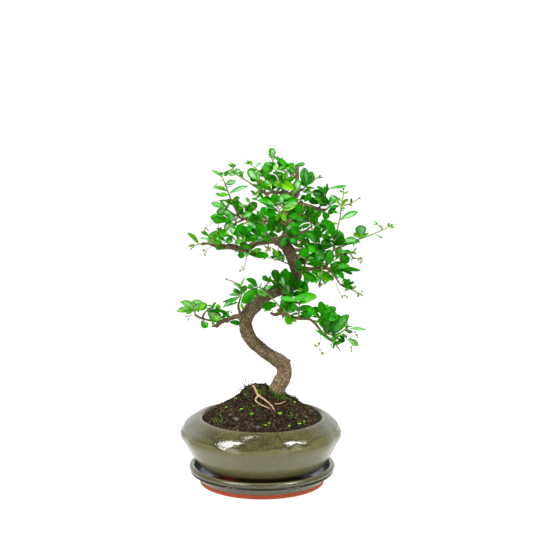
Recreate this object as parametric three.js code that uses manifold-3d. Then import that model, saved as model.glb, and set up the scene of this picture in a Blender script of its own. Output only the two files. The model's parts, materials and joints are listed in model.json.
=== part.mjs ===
// A fukien tea bonsai in a lobed, glazed bowl on its saucer.
// Millimetres, +Z up, +X to the right and +Y away from the front, with the origin under the middle of the saucer.
import * as THREE from "three";
import { mergeVertices } from "three/addons/utils/BufferGeometryUtils.js";
import Module from "manifold-3d";

const wasm = await Module();
wasm.setup();

// The saucer, from its foot to its rounded lip
const SAUCER_FOOT_RADIUS = 63;
const SAUCER_FOOT_HEIGHT = 4.6;
const SAUCER_LIP_RADIUS = 73.8;
const SAUCER_LIP_HEIGHT = 16.5;
const SAUCER_LIP_ROUND = 2.9;
const SAUCER_FLOOR = 6.5;

// The bowl
const REST_GAP = 0.3;
const POT_BASE = SAUCER_FLOOR + REST_GAP;
const POT_FOOT_RADIUS = 50;
const POT_BELLY_RADIUS = 81.8;
const POT_BELLY_HEIGHT = 51;
const POT_RIM_RADIUS = 63;
const POT_RIM_HEIGHT = 68.6;
const POT_MOUTH_RADIUS = 59.8;
const POT_FLOOR = 14.5;
const DRAIN_RADIUS = 7;
const DRAIN_SEGMENTS = 12;
const LOBES = 5;
const LOBE_CREASE_DEPTH = 2.4;
const LOBE_CREASE_WIDTH = 0.2;
const FIRST_CREASE = (198 * Math.PI) / 180;
const FULLER_LEFT = 1.2;
const ROUND_SEGMENTS = 30;

// The mesh over the drainage hole
const MESH_SIDE = 24;
const MESH_THICKNESS = 1;
const MESH_BARS = 3;
const MESH_BAR_WIDTH = 1.6;

// The soil mound
const SOIL_EDGE_RADIUS = 59;
const SOIL_EDGE_HEIGHT = 64.6;
const SOIL_MOUND_RISE = 36;
const SOIL_MOUND_RADIUS = 59.5;
const SOIL_TOP_X = 3;
const SOIL_LUMP = 0.9;
const SOIL_RINGS = 6;
const SOIL_MOUND_CURVE = 0.8;
const KNOLLS = [
  { x: -12.5, y: -1, rise: 8, radius: 14 },
  { x: 19, y: 4, rise: 2.5, radius: 10 },
];

// Leaves and stems
const BLADE_THICKNESS = 0.64;
const BLADE_ARCH = 0.07;
const BLADE_SHAPE = 0.46;
const OUTLINE = [[0.42, 0.74], [0.78, 1]];
const SMALL_OUTLINE = [[0.6, 1]];
const SMALL_BLADE = { width: 3.2, length: 8 };
const STEM_RADIUS = 1;
const STEM_TIP_RADIUS = 0.75;
const STEM_END = 0.7;
const STEM_SIDES = 3;
const ROOT_SIDES = 4;
const CLEARANCE = 0.3;
const SOIL_CLEARANCE = 0.5;
const GOLDEN_TURN = 2.39996;

// A leaf that would touch something is bent aside up to this many times, each time a step further.
const ATTEMPTS = 9;
const BEND_STEP = 3;
const OWN_CROSSING = 0.4;
const CROWN_MIDDLE = new THREE.Vector3(12, 0, 245);

// The tree is set out as it looks from in front. A point is given by how far it lies right of the bowl's
// axis and up from the table, in millimetres square to the line of sight, and by how far back it is.
const VIEW = { side: 4.5, distance: 1905, height: 600, pitch: 0.1958, reach: 1950 };
const VIEW_MIDDLE = { right: 4.5, up: 213.5 };

function fromFront(right, up, back) {
  const across = right - VIEW_MIDDLE.right;
  const above = up - VIEW_MIDDLE.up;
  const ahead = VIEW.reach * Math.cos(VIEW.pitch) + above * Math.sin(VIEW.pitch);
  const rise = above * Math.cos(VIEW.pitch) - VIEW.reach * Math.sin(VIEW.pitch);
  const scale = (back + VIEW.distance) / ahead;
  return new THREE.Vector3(VIEW.side + across * scale, back, VIEW.height + rise * scale);
}

const limbs = {
  trunk: {
    sides: 9,
    path: [[12.5, 75, 0, 10], [12.8, 86, 0, 8.5], [17.3, 97, 0, 8], [21.5, 108, 0, 7.3],
      [19.8, 117.7, 0, 7.4], [8.2, 126.1, -2, 6.1], [-6.1, 137.2, -4, 5.8], [-14.5, 147, -3, 5.9],
      [-17.2, 158, -1, 5.4], [-14.5, 169, 1, 5.3], [-7, 178, 3, 5.5], [3, 184, 4, 5.2],
      [17, 189, 4, 4.7], [29, 194, 3, 4.6], [34.5, 204, 2, 4.7], [33, 216, 1, 5], [28.5, 226, 0, 5.6],
      [24, 235, 0, 5.2], [25, 247, 0, 4.2], [23.5, 259, 1, 3.8], [23, 269, 2, 3.4], [29, 278, 2, 2.9],
      [34.5, 286, 2, 2.4], [35, 300, 2, 1.8], [35, 314.5, 2, 1.6]],
  },
  knob: {
    sides: 4,
    path: [[24, 119, -3, 3], [28.5, 119.5, -5, 1.6]],
  },
  low_left: {
    sides: 6,
    path: [[-18, 163, -1, 4.2], [-26, 163.5, 1.2, 2.9], [-33, 161, 3.9, 2.7], [-40, 158.5, 6.7, 2.5],
      [-43.5, 156, 8.5, 2.5], [-46, 153, 10, 2.1]],
  },
  low_left_stub: {
    sides: 4,
    path: [[-43.5, 155, 9, 1.8], [-50, 153.5, 8, 1.3]],
  },
  low_left_side: {
    sides: 4,
    path: [[-40, 158.5, 6.7, 2], [-51, 159.5, 1.8, 1.3], [-59, 161.2, -1.1, 1.2],
      [-63, 162.8, -2.6, 1.5], [-67, 165.2, -4.3, 1.3]],
  },
  low_left_fork: {
    sides: 4,
    path: [[-59, 161, -1.1, 1.2], [-58.7, 165, -0.1, 1.3], [-56.5, 168, -0.1, 0.9]],
  },
  low_left_peg: {
    sides: 4,
    path: [[-34.5, 161, 4.8, 1.4], [-34.5, 157, 3.8, 1.2]],
  },
  upright_twig: {
    sides: 4,
    path: [[-21, 164, 0.7, 1.8], [-23.6, 173, -6.3, 1.5], [-23, 177, -9, 1.2], [-21.5, 182, -11.3, 1]],
  },
  left_main: {
    sides: 6,
    path: [[21, 234, 0, 4], [13, 239, -4.4, 3.4], [4, 238, -8.7, 3.1], [-6, 236.5, -13.3, 3.2],
      [-13, 232.5, -16.4, 3.6], [-21, 231, -19.5, 3.5], [-32, 233.5, -22.4, 3.4],
      [-40, 232.5, -25.5, 2.4], [-48, 234.5, -27.6, 1.7], [-54, 236.4, -30.2, 1.3],
      [-59, 236.2, -31.5, 1.8], [-61, 235.8, -32, 1.1]],
  },
  left_main_peg: {
    sides: 4,
    path: [[-15, 233, -16.9, 2.6], [-14, 227.5, -22.9, 2]],
  },
  left_main_twig: {
    sides: 4,
    path: [[-36, 234, -23.4, 1.4], [-43, 237, -28.6, 1.2], [-48, 241, -32.4, 1.1]],
  },
  cut_stub: {
    sides: 4,
    path: [[16, 240, -1.8, 2.6], [20.5, 244, -4.8, 2.2], [22.5, 245.7, -5.8, 1.9]],
  },
  left_shoot: {
    sides: 4,
    path: [[24, 260, 1, 2.6], [6, 259, 10.8, 2.1], [-8, 260, 17.1, 1.9], [-16, 261.5, 19.1, 1.7],
      [-22, 262.5, 20.4, 1.5], [-26, 270, 22.6, 1.3], [-30, 278, 25, 1.1]],
  },
  left_shoot_twig: {
    sides: 4,
    path: [[-22, 262.5, 20.4, 1.3], [-28, 265.5, 19.7, 1.2], [-34.5, 270, 20.4, 1.3]],
  },
  left_shoot_low: {
    sides: 4,
    path: [[-16, 261.5, 19.1, 1.4], [-24, 258, 10.3, 1.1], [-29, 255.5, 5.1, 1]],
  },
  upper_left: {
    sides: 4,
    path: [[34, 287, 2, 2.2], [23, 286.7, -4.7, 1.9], [10, 287.7, -12.3, 1.9],
      [4.5, 286.5, -15.7, 2.2], [-3, 291.2, -19.5, 1.4], [-10, 295.5, -23, 1.1]],
  },
  upper_left_knot: {
    sides: 4,
    path: [[4.5, 286.5, -15.7, 2.2], [6.5, 281, -19.7, 1.6]],
  },
  top_stem: {
    sides: 4,
    path: [[22, 287, -5.1, 1.5], [18, 299, 3.3, 1.3], [14.5, 306.5, 8.9, 1.1]],
  },
  top_side: {
    sides: 4,
    path: [[35, 302, 2, 1.3], [29, 307, 8.5, 1], [24, 311.4, 15, 0.8]],
  },
  apex_knot: {
    sides: 4,
    path: [[32.5, 281, 2, 2.2], [37.5, 289.5, 5.7, 1.9], [41.5, 290.2, 7, 1.6]],
  },
  right_upper: {
    sides: 6,
    path: [[29, 277, 2, 2.6], [38, 275.5, 4.4, 3], [48, 273, 7.5, 3.1], [58, 270, 10.6, 2.2],
      [65, 270.8, 13, 1.2]],
  },
  right_upper_twig: {
    sides: 4,
    path: [[56, 271.5, 9.5, 1.3], [61, 277, 11.8, 1], [63.3, 282.8, 14.5, 0.9]],
  },
  right_middle: {
    sides: 6,
    path: [[34, 214, 1, 3.2], [42, 212, -7.3, 2.5], [52, 211.4, -15.6, 2.3], [63.5, 211.8, -23.6, 2.5],
      [68, 209.5, -26.2, 1.9], [74, 202, -32.2, 1.4], [79, 194.4, -38, 1.2]],
  },
  right_middle_spur: {
    sides: 4,
    path: [[41.5, 212.5, -7.1, 1.1], [45, 219.5, -15.1, 0.8]],
  },
  trunk_peg: {
    sides: 4,
    path: [[35.5, 209, 0, 2], [39, 206, -7.7, 1.3], [36.3, 200.5, -12, 1.5]],
  },
  right_brown: {
    sides: 4,
    path: [[63, 212, -23.3, 1.6], [68.5, 220, -18.6, 1.3], [73, 224, -15.2, 1], [83, 225.8, -11.3, 0.8]],
  },
  right_fork: {
    sides: 4,
    path: [[68.5, 220, -18.6, 1.4], [70.5, 228.5, -15.2, 1.3], [77, 232, -11.3, 1.1],
      [81, 234, -9.6, 0.9]],
  },
  middle_right: {
    sides: 4,
    path: [[27, 230, 0, 3], [38, 230, 15.5, 2], [49, 231.5, 26.1, 1.7], [55.3, 239.5, 31, 1.2]],
  },
  low_right: {
    sides: 6,
    path: [[23, 191, 3, 3], [21.5, 182, -7.6, 2.5], [19.5, 174, -14, 2.4], [19.5, 168, -16.7, 2.6],
      [26, 164.3, -20.9, 2.3], [37, 161.4, -27.2, 1.7], [47, 160.8, -32.1, 1.5],
      [53, 156.5, -35.2, 1.6], [59.5, 148.5, -40.2, 1.4], [68, 141.2, -45.4, 1.1],
      [74, 135, -48.9, 0.9], [78.3, 129.2, -52, 0.8]],
  },
  low_right_stub: {
    sides: 4,
    path: [[19.5, 167.5, -16.8, 2.3], [13, 165.5, -21.2, 2], [8.5, 167, -24.8, 1.4]],
  },
  low_right_peg: {
    sides: 4,
    path: [[21, 166, -18.4, 1.5], [20.8, 161, -22.4, 0.9]],
  },
  trunk_twig: {
    sides: 4,
    path: [[18, 190, 3, 1.9], [14, 194.5, -6.3, 1.3], [10.3, 197.7, -11, 1]],
  },
  back_high: {
    sides: 4,
    path: [[25, 244, 0, 2.6], [31, 252, 18, 2], [26, 264, 39.3, 1.5], [20, 274, 56, 1.1]],
  },
  back_middle: {
    sides: 4,
    path: [[32, 220, 1, 2.8], [37, 225, 19.2, 2], [46, 230, 39.8, 1.5], [52, 237, 58, 1.1]],
  },
  front_high: {
    sides: 4,
    path: [[24, 252, 0, 2.3], [18, 257, -15.7, 1.8], [8, 255, -34.5, 1.4], [1, 257, -48, 1]],
  },
  front_right: {
    sides: 4,
    path: [[25, 240, 0, 2.3], [34, 244, -16.8, 1.8], [43, 249, -35.8, 1.3], [50, 254, -50, 1]],
  },
  back_left: {
    sides: 4,
    path: [[22, 236, 0, 2.6], [8, 244, 20.3, 1.9], [-5, 253, 40.5, 1.4], [-14, 259, 56, 1]],
  },
  back_low: {
    sides: 4,
    path: [[1, 183, 4, 2.2], [-4, 189, 19.7, 1.6], [-12, 192, 37.7, 1.2], [-21, 193, 52, 0.9]],
  },
  back_right: {
    sides: 4,
    path: [[33, 212, 2, 2.6], [43, 210, 19.9, 1.9], [56, 212, 38.9, 1.4], [68, 218, 56, 1]],
  },
  front_top: {
    sides: 4,
    path: [[25, 273, 2, 1.9], [20, 277, -13.1, 1.5], [16, 280, -27.6, 1.2], [12, 283, -38, 0.9]],
  },
  back_top: {
    sides: 4,
    path: [[34, 287, 2, 1.8], [30, 294, 17.8, 1.4], [26, 302, 34, 1]],
  },
};

const sprays = {
  low_left_tip: {
    stems: [
      [[-67, 165.5, -4.3], [-66.7, 170, -4.3], [-64, 173, -5.3]],
    ],
    leaves: [[-67, 169.5, -82, 178, -10.3, 7], [-67, 168.5, -85.7, 168.2, 0.7, 5.5],
      [-65, 172, -56, 176.5, -11.3, 6.5], [-66, 171.5, -69.5, 179, 4.7, 5],
      [-67, 169, -84, 171.7, 10.7, 2]],
    more: 1,
    length: 9,
  },
  low_left_middle: {
    stems: [
      [[-56.7, 167.7, -0.1], [-54, 170.2, -1.1], [-46, 169.8, -3.1], [-40, 167.5, -4.1]],
    ],
    leaves: [[-40, 168, -53, 168, -9.1, 2.5], [-43, 169, -44.5, 176, -1.1, 5.5],
      [-53, 170, -41.5, 160, -11.1, 9.5], [-54, 170.5, -47.5, 173.2, 5.9, 2],
      [-40, 167.5, -32, 162.5, -8.1, 4]],
    more: 2,
    length: 11,
  },
  low_left_under: {
    stems: [
      [[-58.5, 160.5, -0.9], [-58, 158, -1.9]],
    ],
    leaves: [[-58.5, 158.5, -54.5, 152.2, -4.9, 6]],
    more: 0,
    length: 9,
  },
  upright: {
    stems: [
      [[-21.7, 181.5, -11], [-20.5, 187, -12], [-22.5, 193.5, -13]],
    ],
    leaves: [[-21, 183.5, -39.2, 172, -18, 4.5], [-20.5, 185.5, -33, 184.7, -2, 3],
      [-20.5, 187, -15.7, 194.5, -15, 6], [-20.5, 187, -25.7, 188.5, -17, 4]],
    more: 2,
    length: 9,
  },
  front_knot: {
    stems: [
      [[18.5, 172.5, -15.5], [14.5, 177, -19.5], [1, 190, -21.5], [-5, 194, -22.5]],
      [[1, 190, -21.5], [5, 196, -22.5], [8, 199, -21.5]],
    ],
    leaves: [[-5, 193.5, -16.2, 201, -24.5, 5.5], [-4.5, 193, -14, 195, -14.5, 4.5],
      [-4, 192, -20.5, 177, -26.5, 10], [0, 191, 4.5, 184, -27.5, 3], [8, 199, 0.3, 203.8, -22.5, 5.5],
      [15, 176, -1, 172, -21.5, 8], [16, 174, 1.5, 168.7, -17.5, 2.5]],
    more: 2,
    length: 10,
  },
  low_right_first: {
    stems: [
      [[22.5, 166.5, -19.8], [22, 171, -23.8], [25, 175, -26.8]],
      [[22, 171, -23.8], [26, 166.5, -26.8], [29.7, 161.5, -27.8]],
    ],
    leaves: [[22, 171, 34.5, 173.5, -31.8, 8.5], [23, 172.5, 19, 180, -31.8, 5],
      [29.7, 161.5, 25, 155.5, -29.8, 9]],
    more: 2,
    length: 13,
  },
  low_right_second: {
    stems: [
      [[37, 162, -28.2], [37, 169, -31.2], [37.3, 176.5, -34.2]],
    ],
    leaves: [[37, 176, 54.8, 183.5, -39.2, 7.5], [37, 175.5, 19, 182.5, -37.2, 5.5],
      [37, 172, 50, 173, -26.2, 4], [37, 167, 50, 165.5, -37.2, 5], [37, 168, 24.5, 177, -24.2, 6]],
    more: 3,
    length: 14,
  },
  low_right_rise: {
    stems: [
      [[54, 156, -36.6], [58, 163, -38.6], [61, 169.5, -39.6]],
    ],
    leaves: [[60, 167.5, 58.5, 178.7, -35.6, 6.5], [60, 167, 74.5, 172, -42.6, 8],
      [58.5, 164, 76.5, 161.5, -50.6, 9], [58, 163, 45, 170.5, -43.6, 6]],
    more: 2,
    length: 14,
  },
  low_right_fan: {
    stems: [
      [[61, 147, -41.8], [66, 146, -44.8], [70, 144.5, -46.8]],
    ],
    leaves: [[66, 146, 77.5, 165.5, -42.8, 10], [69.5, 145, 87.5, 165.5, -50.8, 11],
      [63, 146.5, 67, 160, -56.8, 8]],
    more: 1,
    length: 13,
  },
  low_right_outer: {
    stems: [
      [[68.5, 140.7, -45.6], [74, 145, -48.6], [80, 148.5, -49.6], [84, 152, -49.6]],
      [[69.5, 141.4, -46.6], [71.5, 139, -51.6], [70.3, 136.5, -52.6]],
    ],
    leaves: [[83, 151, 104.5, 150, -53.6, 2.5], [80, 148.3, 71, 138, -56.6, 3.5],
      [76, 146, 82.5, 138, -47.6, 4], [82, 150, 96.5, 137, -41.6, 5.5],
      [70.5, 137, 52.5, 150.5, -54.6, 3], [70.5, 136.5, 79, 137, -57.6, 4]],
    more: 2,
    length: 9,
  },
  middle_pair: {
    stems: [
      [[21.5, 189, -4.2], [22.5, 192.5, -12.2], [20, 196, -13.2], [16.5, 197, -13.2]],
    ],
    leaves: [[17, 196.8, 11.5, 210.5, -15.2, 8.5], [21, 195, 24, 212.2, -18.2, 11],
      [22.5, 192, 19, 203.5, -23.2, 5.5], [20, 195.5, 5.5, 188.5, -21.2, 4]],
    more: 1,
    length: 11,
  },
  middle_lobed: {
    stems: [
      [[30, 194, -2], [32.5, 190.5, -10], [36, 188, -12]],
    ],
    leaves: [[35, 188.5, 47, 191.5, -17, 9], [33, 190, 40.5, 200, -15, 6], [36, 188, 46.5, 180, -6, 5],
      [32.5, 190, 22, 179.5, -18, 6]],
    more: 2,
    length: 12,
  },
  middle_right_a: {
    stems: [
      [[45.2, 220, -15.1], [46.5, 225, -18.1], [45, 229.5, -20.1]],
    ],
    leaves: [[46, 222.5, 37.5, 230, -24.1, 7.5], [45.5, 228, 53, 236, -25.1, 7.5],
      [46.3, 224, 56, 225.5, -12.1, 5]],
    more: 2,
    length: 12,
  },
  middle_right_drop: {
    stems: [
      [[40, 212, -7.7], [40.5, 209, -10.7]],
    ],
    leaves: [[40.5, 209, 54.5, 198.5, -18.7, 8.5], [40, 210, 33.7, 220, -17.7, 5.5],
      [40.3, 209, 32.5, 209, -16.7, 3]],
    more: 1,
    length: 11,
  },
  middle_right_b: {
    stems: [
      [[59, 212, -21.3], [60, 216, -24.3], [66.5, 217.5, -25.3]],
      [[60, 216, -24.3], [60, 211, -28.3], [60.5, 205, -28.3], [59, 200, -28.3]],
    ],
    leaves: [[60.3, 216, 53.5, 230, -31.3, 9.5], [65.5, 217, 67.3, 230.7, -30.3, 8],
      [66.5, 217.5, 72, 226, -25.3, 4], [60.2, 203.5, 53.5, 196, -30.3, 2.5],
      [59.5, 201, 56.8, 193, -28.3, 2], [59, 200, 63.5, 195.5, -31.3, 2],
      [60.5, 206, 71, 201.5, -32.3, 4.5]],
    more: 2,
    length: 12,
  },
  middle_right_long: {
    stems: [
      [[65.5, 211.5, -24.6], [71, 212.5, -25.6], [75, 211, -26.6]],
    ],
    leaves: [[70, 212.5, 88, 214, -31.6, 5.5], [73, 212, 99, 209.2, -25.6, 4.5],
      [75, 211, 90.7, 205.7, -20.6, 2], [75, 211, 82, 200.5, -32.6, 6]],
    more: 2,
    length: 11,
  },
  middle_right_round: {
    stems: [
      [[82, 225.6, -11.7], [90.5, 227.7, -11.7]],
      [[88, 227, -11.7], [91.5, 222.2, -12.7], [98, 221, -13.7]],
    ],
    leaves: [[84.5, 226, 80.5, 215, -17.7, 9], [89.5, 227.4, 81.5, 229, -14.7, 4]],
    more: 1,
    length: 9,
  },
  middle_right_end: {
    stems: [
      [[78.8, 195, -37.7], [83, 195.5, -38.7], [90, 190.7, -38.7], [98, 186, -39.7]],
    ],
    leaves: [[83.5, 195.2, 88, 201, -40.7, 4], [82, 195.2, 83.5, 200.5, -35.7, 3.5],
      [85, 194, 92.5, 198, -36.7, 3], [88, 192, 82.5, 188.5, -42.7, 3]],
    more: 2,
    length: 7,
  },
  middle_right_top: {
    stems: [
      [[55, 239, 30.6], [58, 247.5, 26.6], [57.5, 254.5, 23.6]],
    ],
    leaves: [[57.3, 244, 54, 257.5, 13.6, 6.5], [56.5, 242, 42.5, 248, 16.6, 5.5],
      [57.5, 252, 48, 264, 23.6, 7]],
    more: 3,
    length: 13,
  },
  right_big: {
    stems: [
      [[71.3, 229, -14.8], [71.7, 236, -17.8], [71, 242.5, -19.8]],
    ],
    leaves: [[71.3, 241.5, 61, 261, -25.8, 9], [71.7, 235, 83.5, 241, -23.8, 8.5],
      [71.5, 239, 76, 250.5, -13.8, 4.5], [71.7, 234, 60, 237, -25.8, 5.5]],
    more: 2,
    length: 12,
  },
  tall_twig: {
    stems: [
      [[73.5, 230.5, -12.8], [72.6, 237, -9.8], [75, 250, -6.8], [78, 262, -5.8], [79.3, 274, -5.8],
        [81.3, 285, -5.8], [81.6, 289, -5.8]],
      [[79.3, 274, -5.8], [88, 276.2, -6.8], [95.5, 280.5, -6.8]],
    ],
    leaves: [[77.5, 259.5, 96, 267.7, -9.8, 6], [76.3, 256, 69.5, 256, -2.8, 2.5],
      [79.3, 273.5, 74, 281, -2.8, 3], [80, 277, 87, 280.2, -10.8, 3],
      [81.4, 286, 86.3, 288.5, -3.8, 2], [81.5, 287.5, 77.5, 289.5, -8.8, 2],
      [79, 272, 83, 271.5, -2.8, 2.5], [89, 276.6, 89, 282, -8.8, 2.5]],
    more: 1,
    length: 8,
  },
  far_right_shoot: {
    stems: [
      [[80, 233.3, -10], [94, 239.5, -11], [110, 245.5, -13], [128, 253.5, -16]],
      [[119, 249.4, -14.4], [119.8, 252, -15], [115.5, 255.3, -16]],
    ],
    leaves: [[98, 241, 98.5, 255.5, -18, 11.5], [97, 240.7, 91.2, 247.2, -7, 4],
      [98, 241.2, 108, 245.2, -4, 2], [94, 239.6, 82, 239.2, -18, 5], [90, 237.6, 99.3, 238.3, -5, 2],
      [127.5, 253, 132.7, 251.8, -17, 2.5], [126.5, 252.8, 126.7, 257.5, -16, 2.5]],
    more: 1,
    length: 9,
  },
  right_upper_end: {
    stems: [
      [[63.2, 282.2, 14.1], [63.6, 285.5, 13.1], [65.5, 289, 12.1]],
    ],
    leaves: [[63.4, 285, 54.5, 293.7, 11.1, 4.5], [63.5, 285.5, 61.7, 294, 7.1, 4],
      [65.3, 288.5, 84.3, 293, 15.1, 2.5], [63.3, 283, 51, 289.5, 18.1, 6.5],
      [63.3, 283, 52, 281, 6.1, 4]],
    more: 1,
    length: 9,
  },
  right_upper_fan: {
    stems: [
      [[64, 270.7, 12.5], [67.5, 273.5, 8.5], [69, 277, 6.5]],
      [[65.5, 271.8, 10.5], [62.5, 268.5, 6.5], [59.3, 268, 5.5]],
    ],
    leaves: [[68.5, 276, 73.8, 284.2, 3.5, 8.5], [68, 274.5, 60, 283.5, -0.5, 7],
      [67.5, 273.5, 74, 271.5, 4.5, 3], [60.3, 268, 66.5, 261.5, 1.5, 7],
      [59.3, 268.2, 50.5, 261, 1.5, 6.5]],
    more: 1,
    length: 11,
  },
  knot_top: {
    stems: [
      [[41.5, 291, 7], [43.8, 293.5, 5], [56.5, 303.2, 4]],
    ],
    leaves: [[44, 293.5, 42.3, 312.5, 0, 9.5], [45, 294.4, 51.5, 305, 10, 7.5],
      [43, 292.5, 52.7, 291.5, 0, 2.5], [43.3, 293, 36, 299, 11, 4]],
    more: 2,
    length: 10,
  },
  top_right: {
    stems: [
      [[24.3, 311, 14.6], [17, 319, 13.6], [11.5, 323, 12.6]],
    ],
    leaves: [[16.5, 319, 26, 312, 8.6, 7], [23.5, 311.8, 32.5, 315.5, 8.6, 5],
      [19, 317, 14.3, 316.2, 18.6, 2.5], [13, 321.8, 17, 323, 8.6, 2]],
    more: 2,
    length: 9,
  },
  top_twig: {
    stems: [
      [[14.8, 306, 8.5], [12.5, 314.5, 6.5], [9.5, 322, 5.5]],
    ],
    leaves: [[9.7, 321.8, 8.6, 332.2, 3.5, 4.5], [10, 321, 13.5, 331.5, 10.5, 6],
      [12.7, 314, 1.5, 305.5, 1.5, 7], [12, 316, 14, 309, -1.5, 4.5]],
    more: 2,
    length: 9,
  },
  lime_top: {
    stems: [
      [[19, 297, 1.8], [17.5, 298.7, -5.2], [14, 298.5, -8.2]],
    ],
    leaves: [[17.7, 298.6, 32.2, 290.5, -14.2, 8.5], [15, 298.5, 16.5, 291.5, -15.2, 6],
      [15, 298.5, 3, 296, -14.2, 7]],
    more: 2,
    length: 11,
  },
  light_top: {
    stems: [
      [[29.5, 286.7, 0.1], [31, 284.2, -8.9], [28, 282.5, -11.9]],
    ],
    leaves: [[31, 284.5, 37, 300.7, -15.9, 8.5], [29.5, 283.4, 19, 280.5, -20.9, 6]],
    more: 2,
    length: 11,
  },
  lime_front: {
    stems: [
      [[12.3, 282.5, -37.9], [15, 274, -41.9], [20, 266.5, -43.9]],
    ],
    leaves: [[18.5, 268.5, 34, 273.7, -49.9, 5.5], [16, 272.5, -4, 280, -45.9, 5],
      [20, 266.5, 24, 258.5, -49.9, 5], [15, 274, 12, 279, -49.9, 3]],
    more: 2,
    length: 11,
  },
  front_left_big: {
    stems: [
      [[1.2, 256.5, -47.9], [-6, 258, -53.9], [-12, 254, -56.9]],
      [[1.2, 256.5, -47.9], [-1, 264, -53.9]],
    ],
    leaves: [[-1, 263, 4, 273, -55.9, 8], [-4, 257.5, -12, 266, -57.9, 9], [-6, 258, 3, 248, -59.9, 9],
      [-12, 254, -4, 246.5, -61.9, 7]],
    more: 4,
    length: 13,
  },
  front_right_big: {
    stems: [
      [[49.5, 253.7, -49.9], [47, 261, -54.9], [40, 266, -57.9]],
      [[49.5, 253.7, -49.9], [50, 247, -55.9], [44, 241, -58.9]],
    ],
    leaves: [[45, 262.5, 28, 263.5, -59.9, 6], [42, 264.5, 52, 272, -57.9, 8],
      [40, 266, 35, 274, -57.9, 8], [47, 261, 57, 266, -55.9, 7], [48, 244, 34, 239, -59.9, 5],
      [50, 248, 58, 237, -59.9, 7], [46, 242.5, 44, 232, -62.9, 7]],
    more: 7,
    length: 13,
  },
  front_center: {
    stems: [
      [[25.5, 240, -1.3], [27, 244, -9.3], [22, 249, -16.3], [16, 251, -20.3]],
    ],
    leaves: [[26, 242.5, 21, 233, -18.3, 8.5], [27, 243, 34.5, 235.7, -16.3, 4.5],
      [18, 250.3, 10, 260, -24.3, 7], [22, 249, 30, 255, -24.3, 7]],
    more: 3,
    length: 12,
  },
  left_shoot_tip: {
    stems: [
      [[-29.4, 276.4, 24.4], [-32.2, 283.5, 23.4], [-36, 293.5, 23.4], [-38.5, 300, 23.4],
        [-41, 304, 23.4]],
    ],
    leaves: [[-40.5, 303.2, -50.7, 309.5, 21.4, 3], [-40, 302.4, -40.5, 307.7, 28.4, 2],
      [-37, 296, -26.2, 297.7, 18.4, 4.5], [-33.2, 286.5, -14, 294, 19.4, 4.5],
      [-33.7, 288.2, -49.2, 292.7, 27.4, 4.5], [-32.7, 285, -42.2, 286, 17.4, 4.5],
      [-30.3, 278.5, -22, 282, 17.4, 4.5], [-30, 277.5, -44, 279.2, 29.4, 2]],
    more: 1,
    length: 8,
  },
  left_fan_upper: {
    stems: [
      [[-33.5, 269, 20], [-36.5, 272.5, 17], [-38.5, 274, 15]],
    ],
    leaves: [[-37, 273, -51, 277, 14, 5.5], [-35, 270.5, -46, 267.5, 11, 7],
      [-36, 271.5, -33, 277, 20, 3]],
    more: 2,
    length: 10,
  },
  left_fan_middle: {
    stems: [
      [[-23.5, 263.5, 20.1], [-26, 261, 12.1], [-32.5, 259.5, 9.1]],
    ],
    leaves: [[-26, 261.2, -39, 269.3, 6.1, 7], [-32.2, 259.5, -52, 263, 10.1, 7],
      [-30, 260, -37.5, 250.5, 3.1, 5.5]],
    more: 2,
    length: 11,
  },
  left_fan_top: {
    stems: [
      [[-20, 262.2, 19.7], [-18.5, 266, 12.7], [-16, 269, 9.7]],
    ],
    leaves: [[-17.5, 267.3, -5, 277.3, 7.7, 9], [-19, 265, -23.5, 273.5, 14.7, 5],
      [-17, 268, -17, 276, 14.7, 3], [-18, 266, -5.5, 263.5, 4.7, 6]],
    more: 2,
    length: 10,
  },
  left_low_fan: {
    stems: [
      [[-28.7, 255.2, 5.2], [-36, 250, 2.2], [-43, 250.5, -0.8]],
      [[-43, 250.5, -0.8], [-46, 246.5, -6.8], [-47.5, 243, -8.8]],
    ],
    leaves: [[-42, 250.5, -53.7, 241, -3.8, 6.5], [-38, 250.3, -43, 243.5, -7.8, 6],
      [-32, 252.7, -21.5, 244, -4.8, 8], [-45, 248.5, -35.5, 247, -12.8, 5],
      [-47, 244.5, -42, 240, -13.8, 4.5]],
    more: 2,
    length: 10,
  },
  left_tip: {
    stems: [
      [[-60.5, 236, -31.9], [-63.5, 235.8, -32.9], [-69.5, 233.7, -33.9]],
    ],
    leaves: [[-63.2, 236, -75.2, 247.1, -34.9, 4.5]],
    more: 2,
    length: 9,
  },
  left_knot: {
    stems: [
      [[-54.5, 236.3, -30.3], [-51, 240, -34.3], [-47.5, 239.5, -37.3]],
      [[-51, 240, -34.3], [-53, 245, -34.3]],
    ],
    leaves: [[-51, 240, -62.2, 241.7, -36.3, 2.5], [-48, 239.5, -40, 236.5, -42.3, 4.5],
      [-47.5, 239.5, -45, 247, -38.3, 4]],
    more: 2,
    length: 9,
  },
  left_main_peg: {
    stems: [
      [[-14.5, 227.5, -22.8], [-11.5, 227.3, -25.8]],
      [[-13, 227.4, -24.3], [-18.5, 228, -27.8], [-21.5, 229, -27.8]],
    ],
    leaves: [[-12, 227.3, 6.6, 225, -29.8, 7], [-11.5, 227.3, 0, 230.5, -19.8, 4],
      [-21.5, 229, -20.5, 221.5, -29.8, 7.5]],
    more: 1,
    length: 10,
  },
  left_main_top: {
    stems: [
      [[-26, 232.5, -20.8], [-25, 239, -24.8], [-21, 245, -27.8]],
      [[-25, 239, -24.8], [-32, 244, -25.8]],
    ],
    leaves: [[-24.7, 239, -11.5, 232, -31.8, 6.5], [-21.5, 244, -24, 254, -30.8, 8],
      [-31, 243.3, -34, 236.5, -32.8, 6]],
    more: 4,
    length: 11,
  },
  left_main_inner: {
    stems: [
      [[-4, 237, -12.8], [-5.5, 242, -17.8], [-4, 247.5, -19.8]],
      [[-5.5, 242, -17.8], [0, 243.5, -21.8]],
    ],
    leaves: [[-5, 241, -13, 245, -22.8, 5], [0, 243.5, 9, 239.5, -25.8, 5], [-4, 247, 6, 251, -20.8, 7]],
    more: 3,
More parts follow.
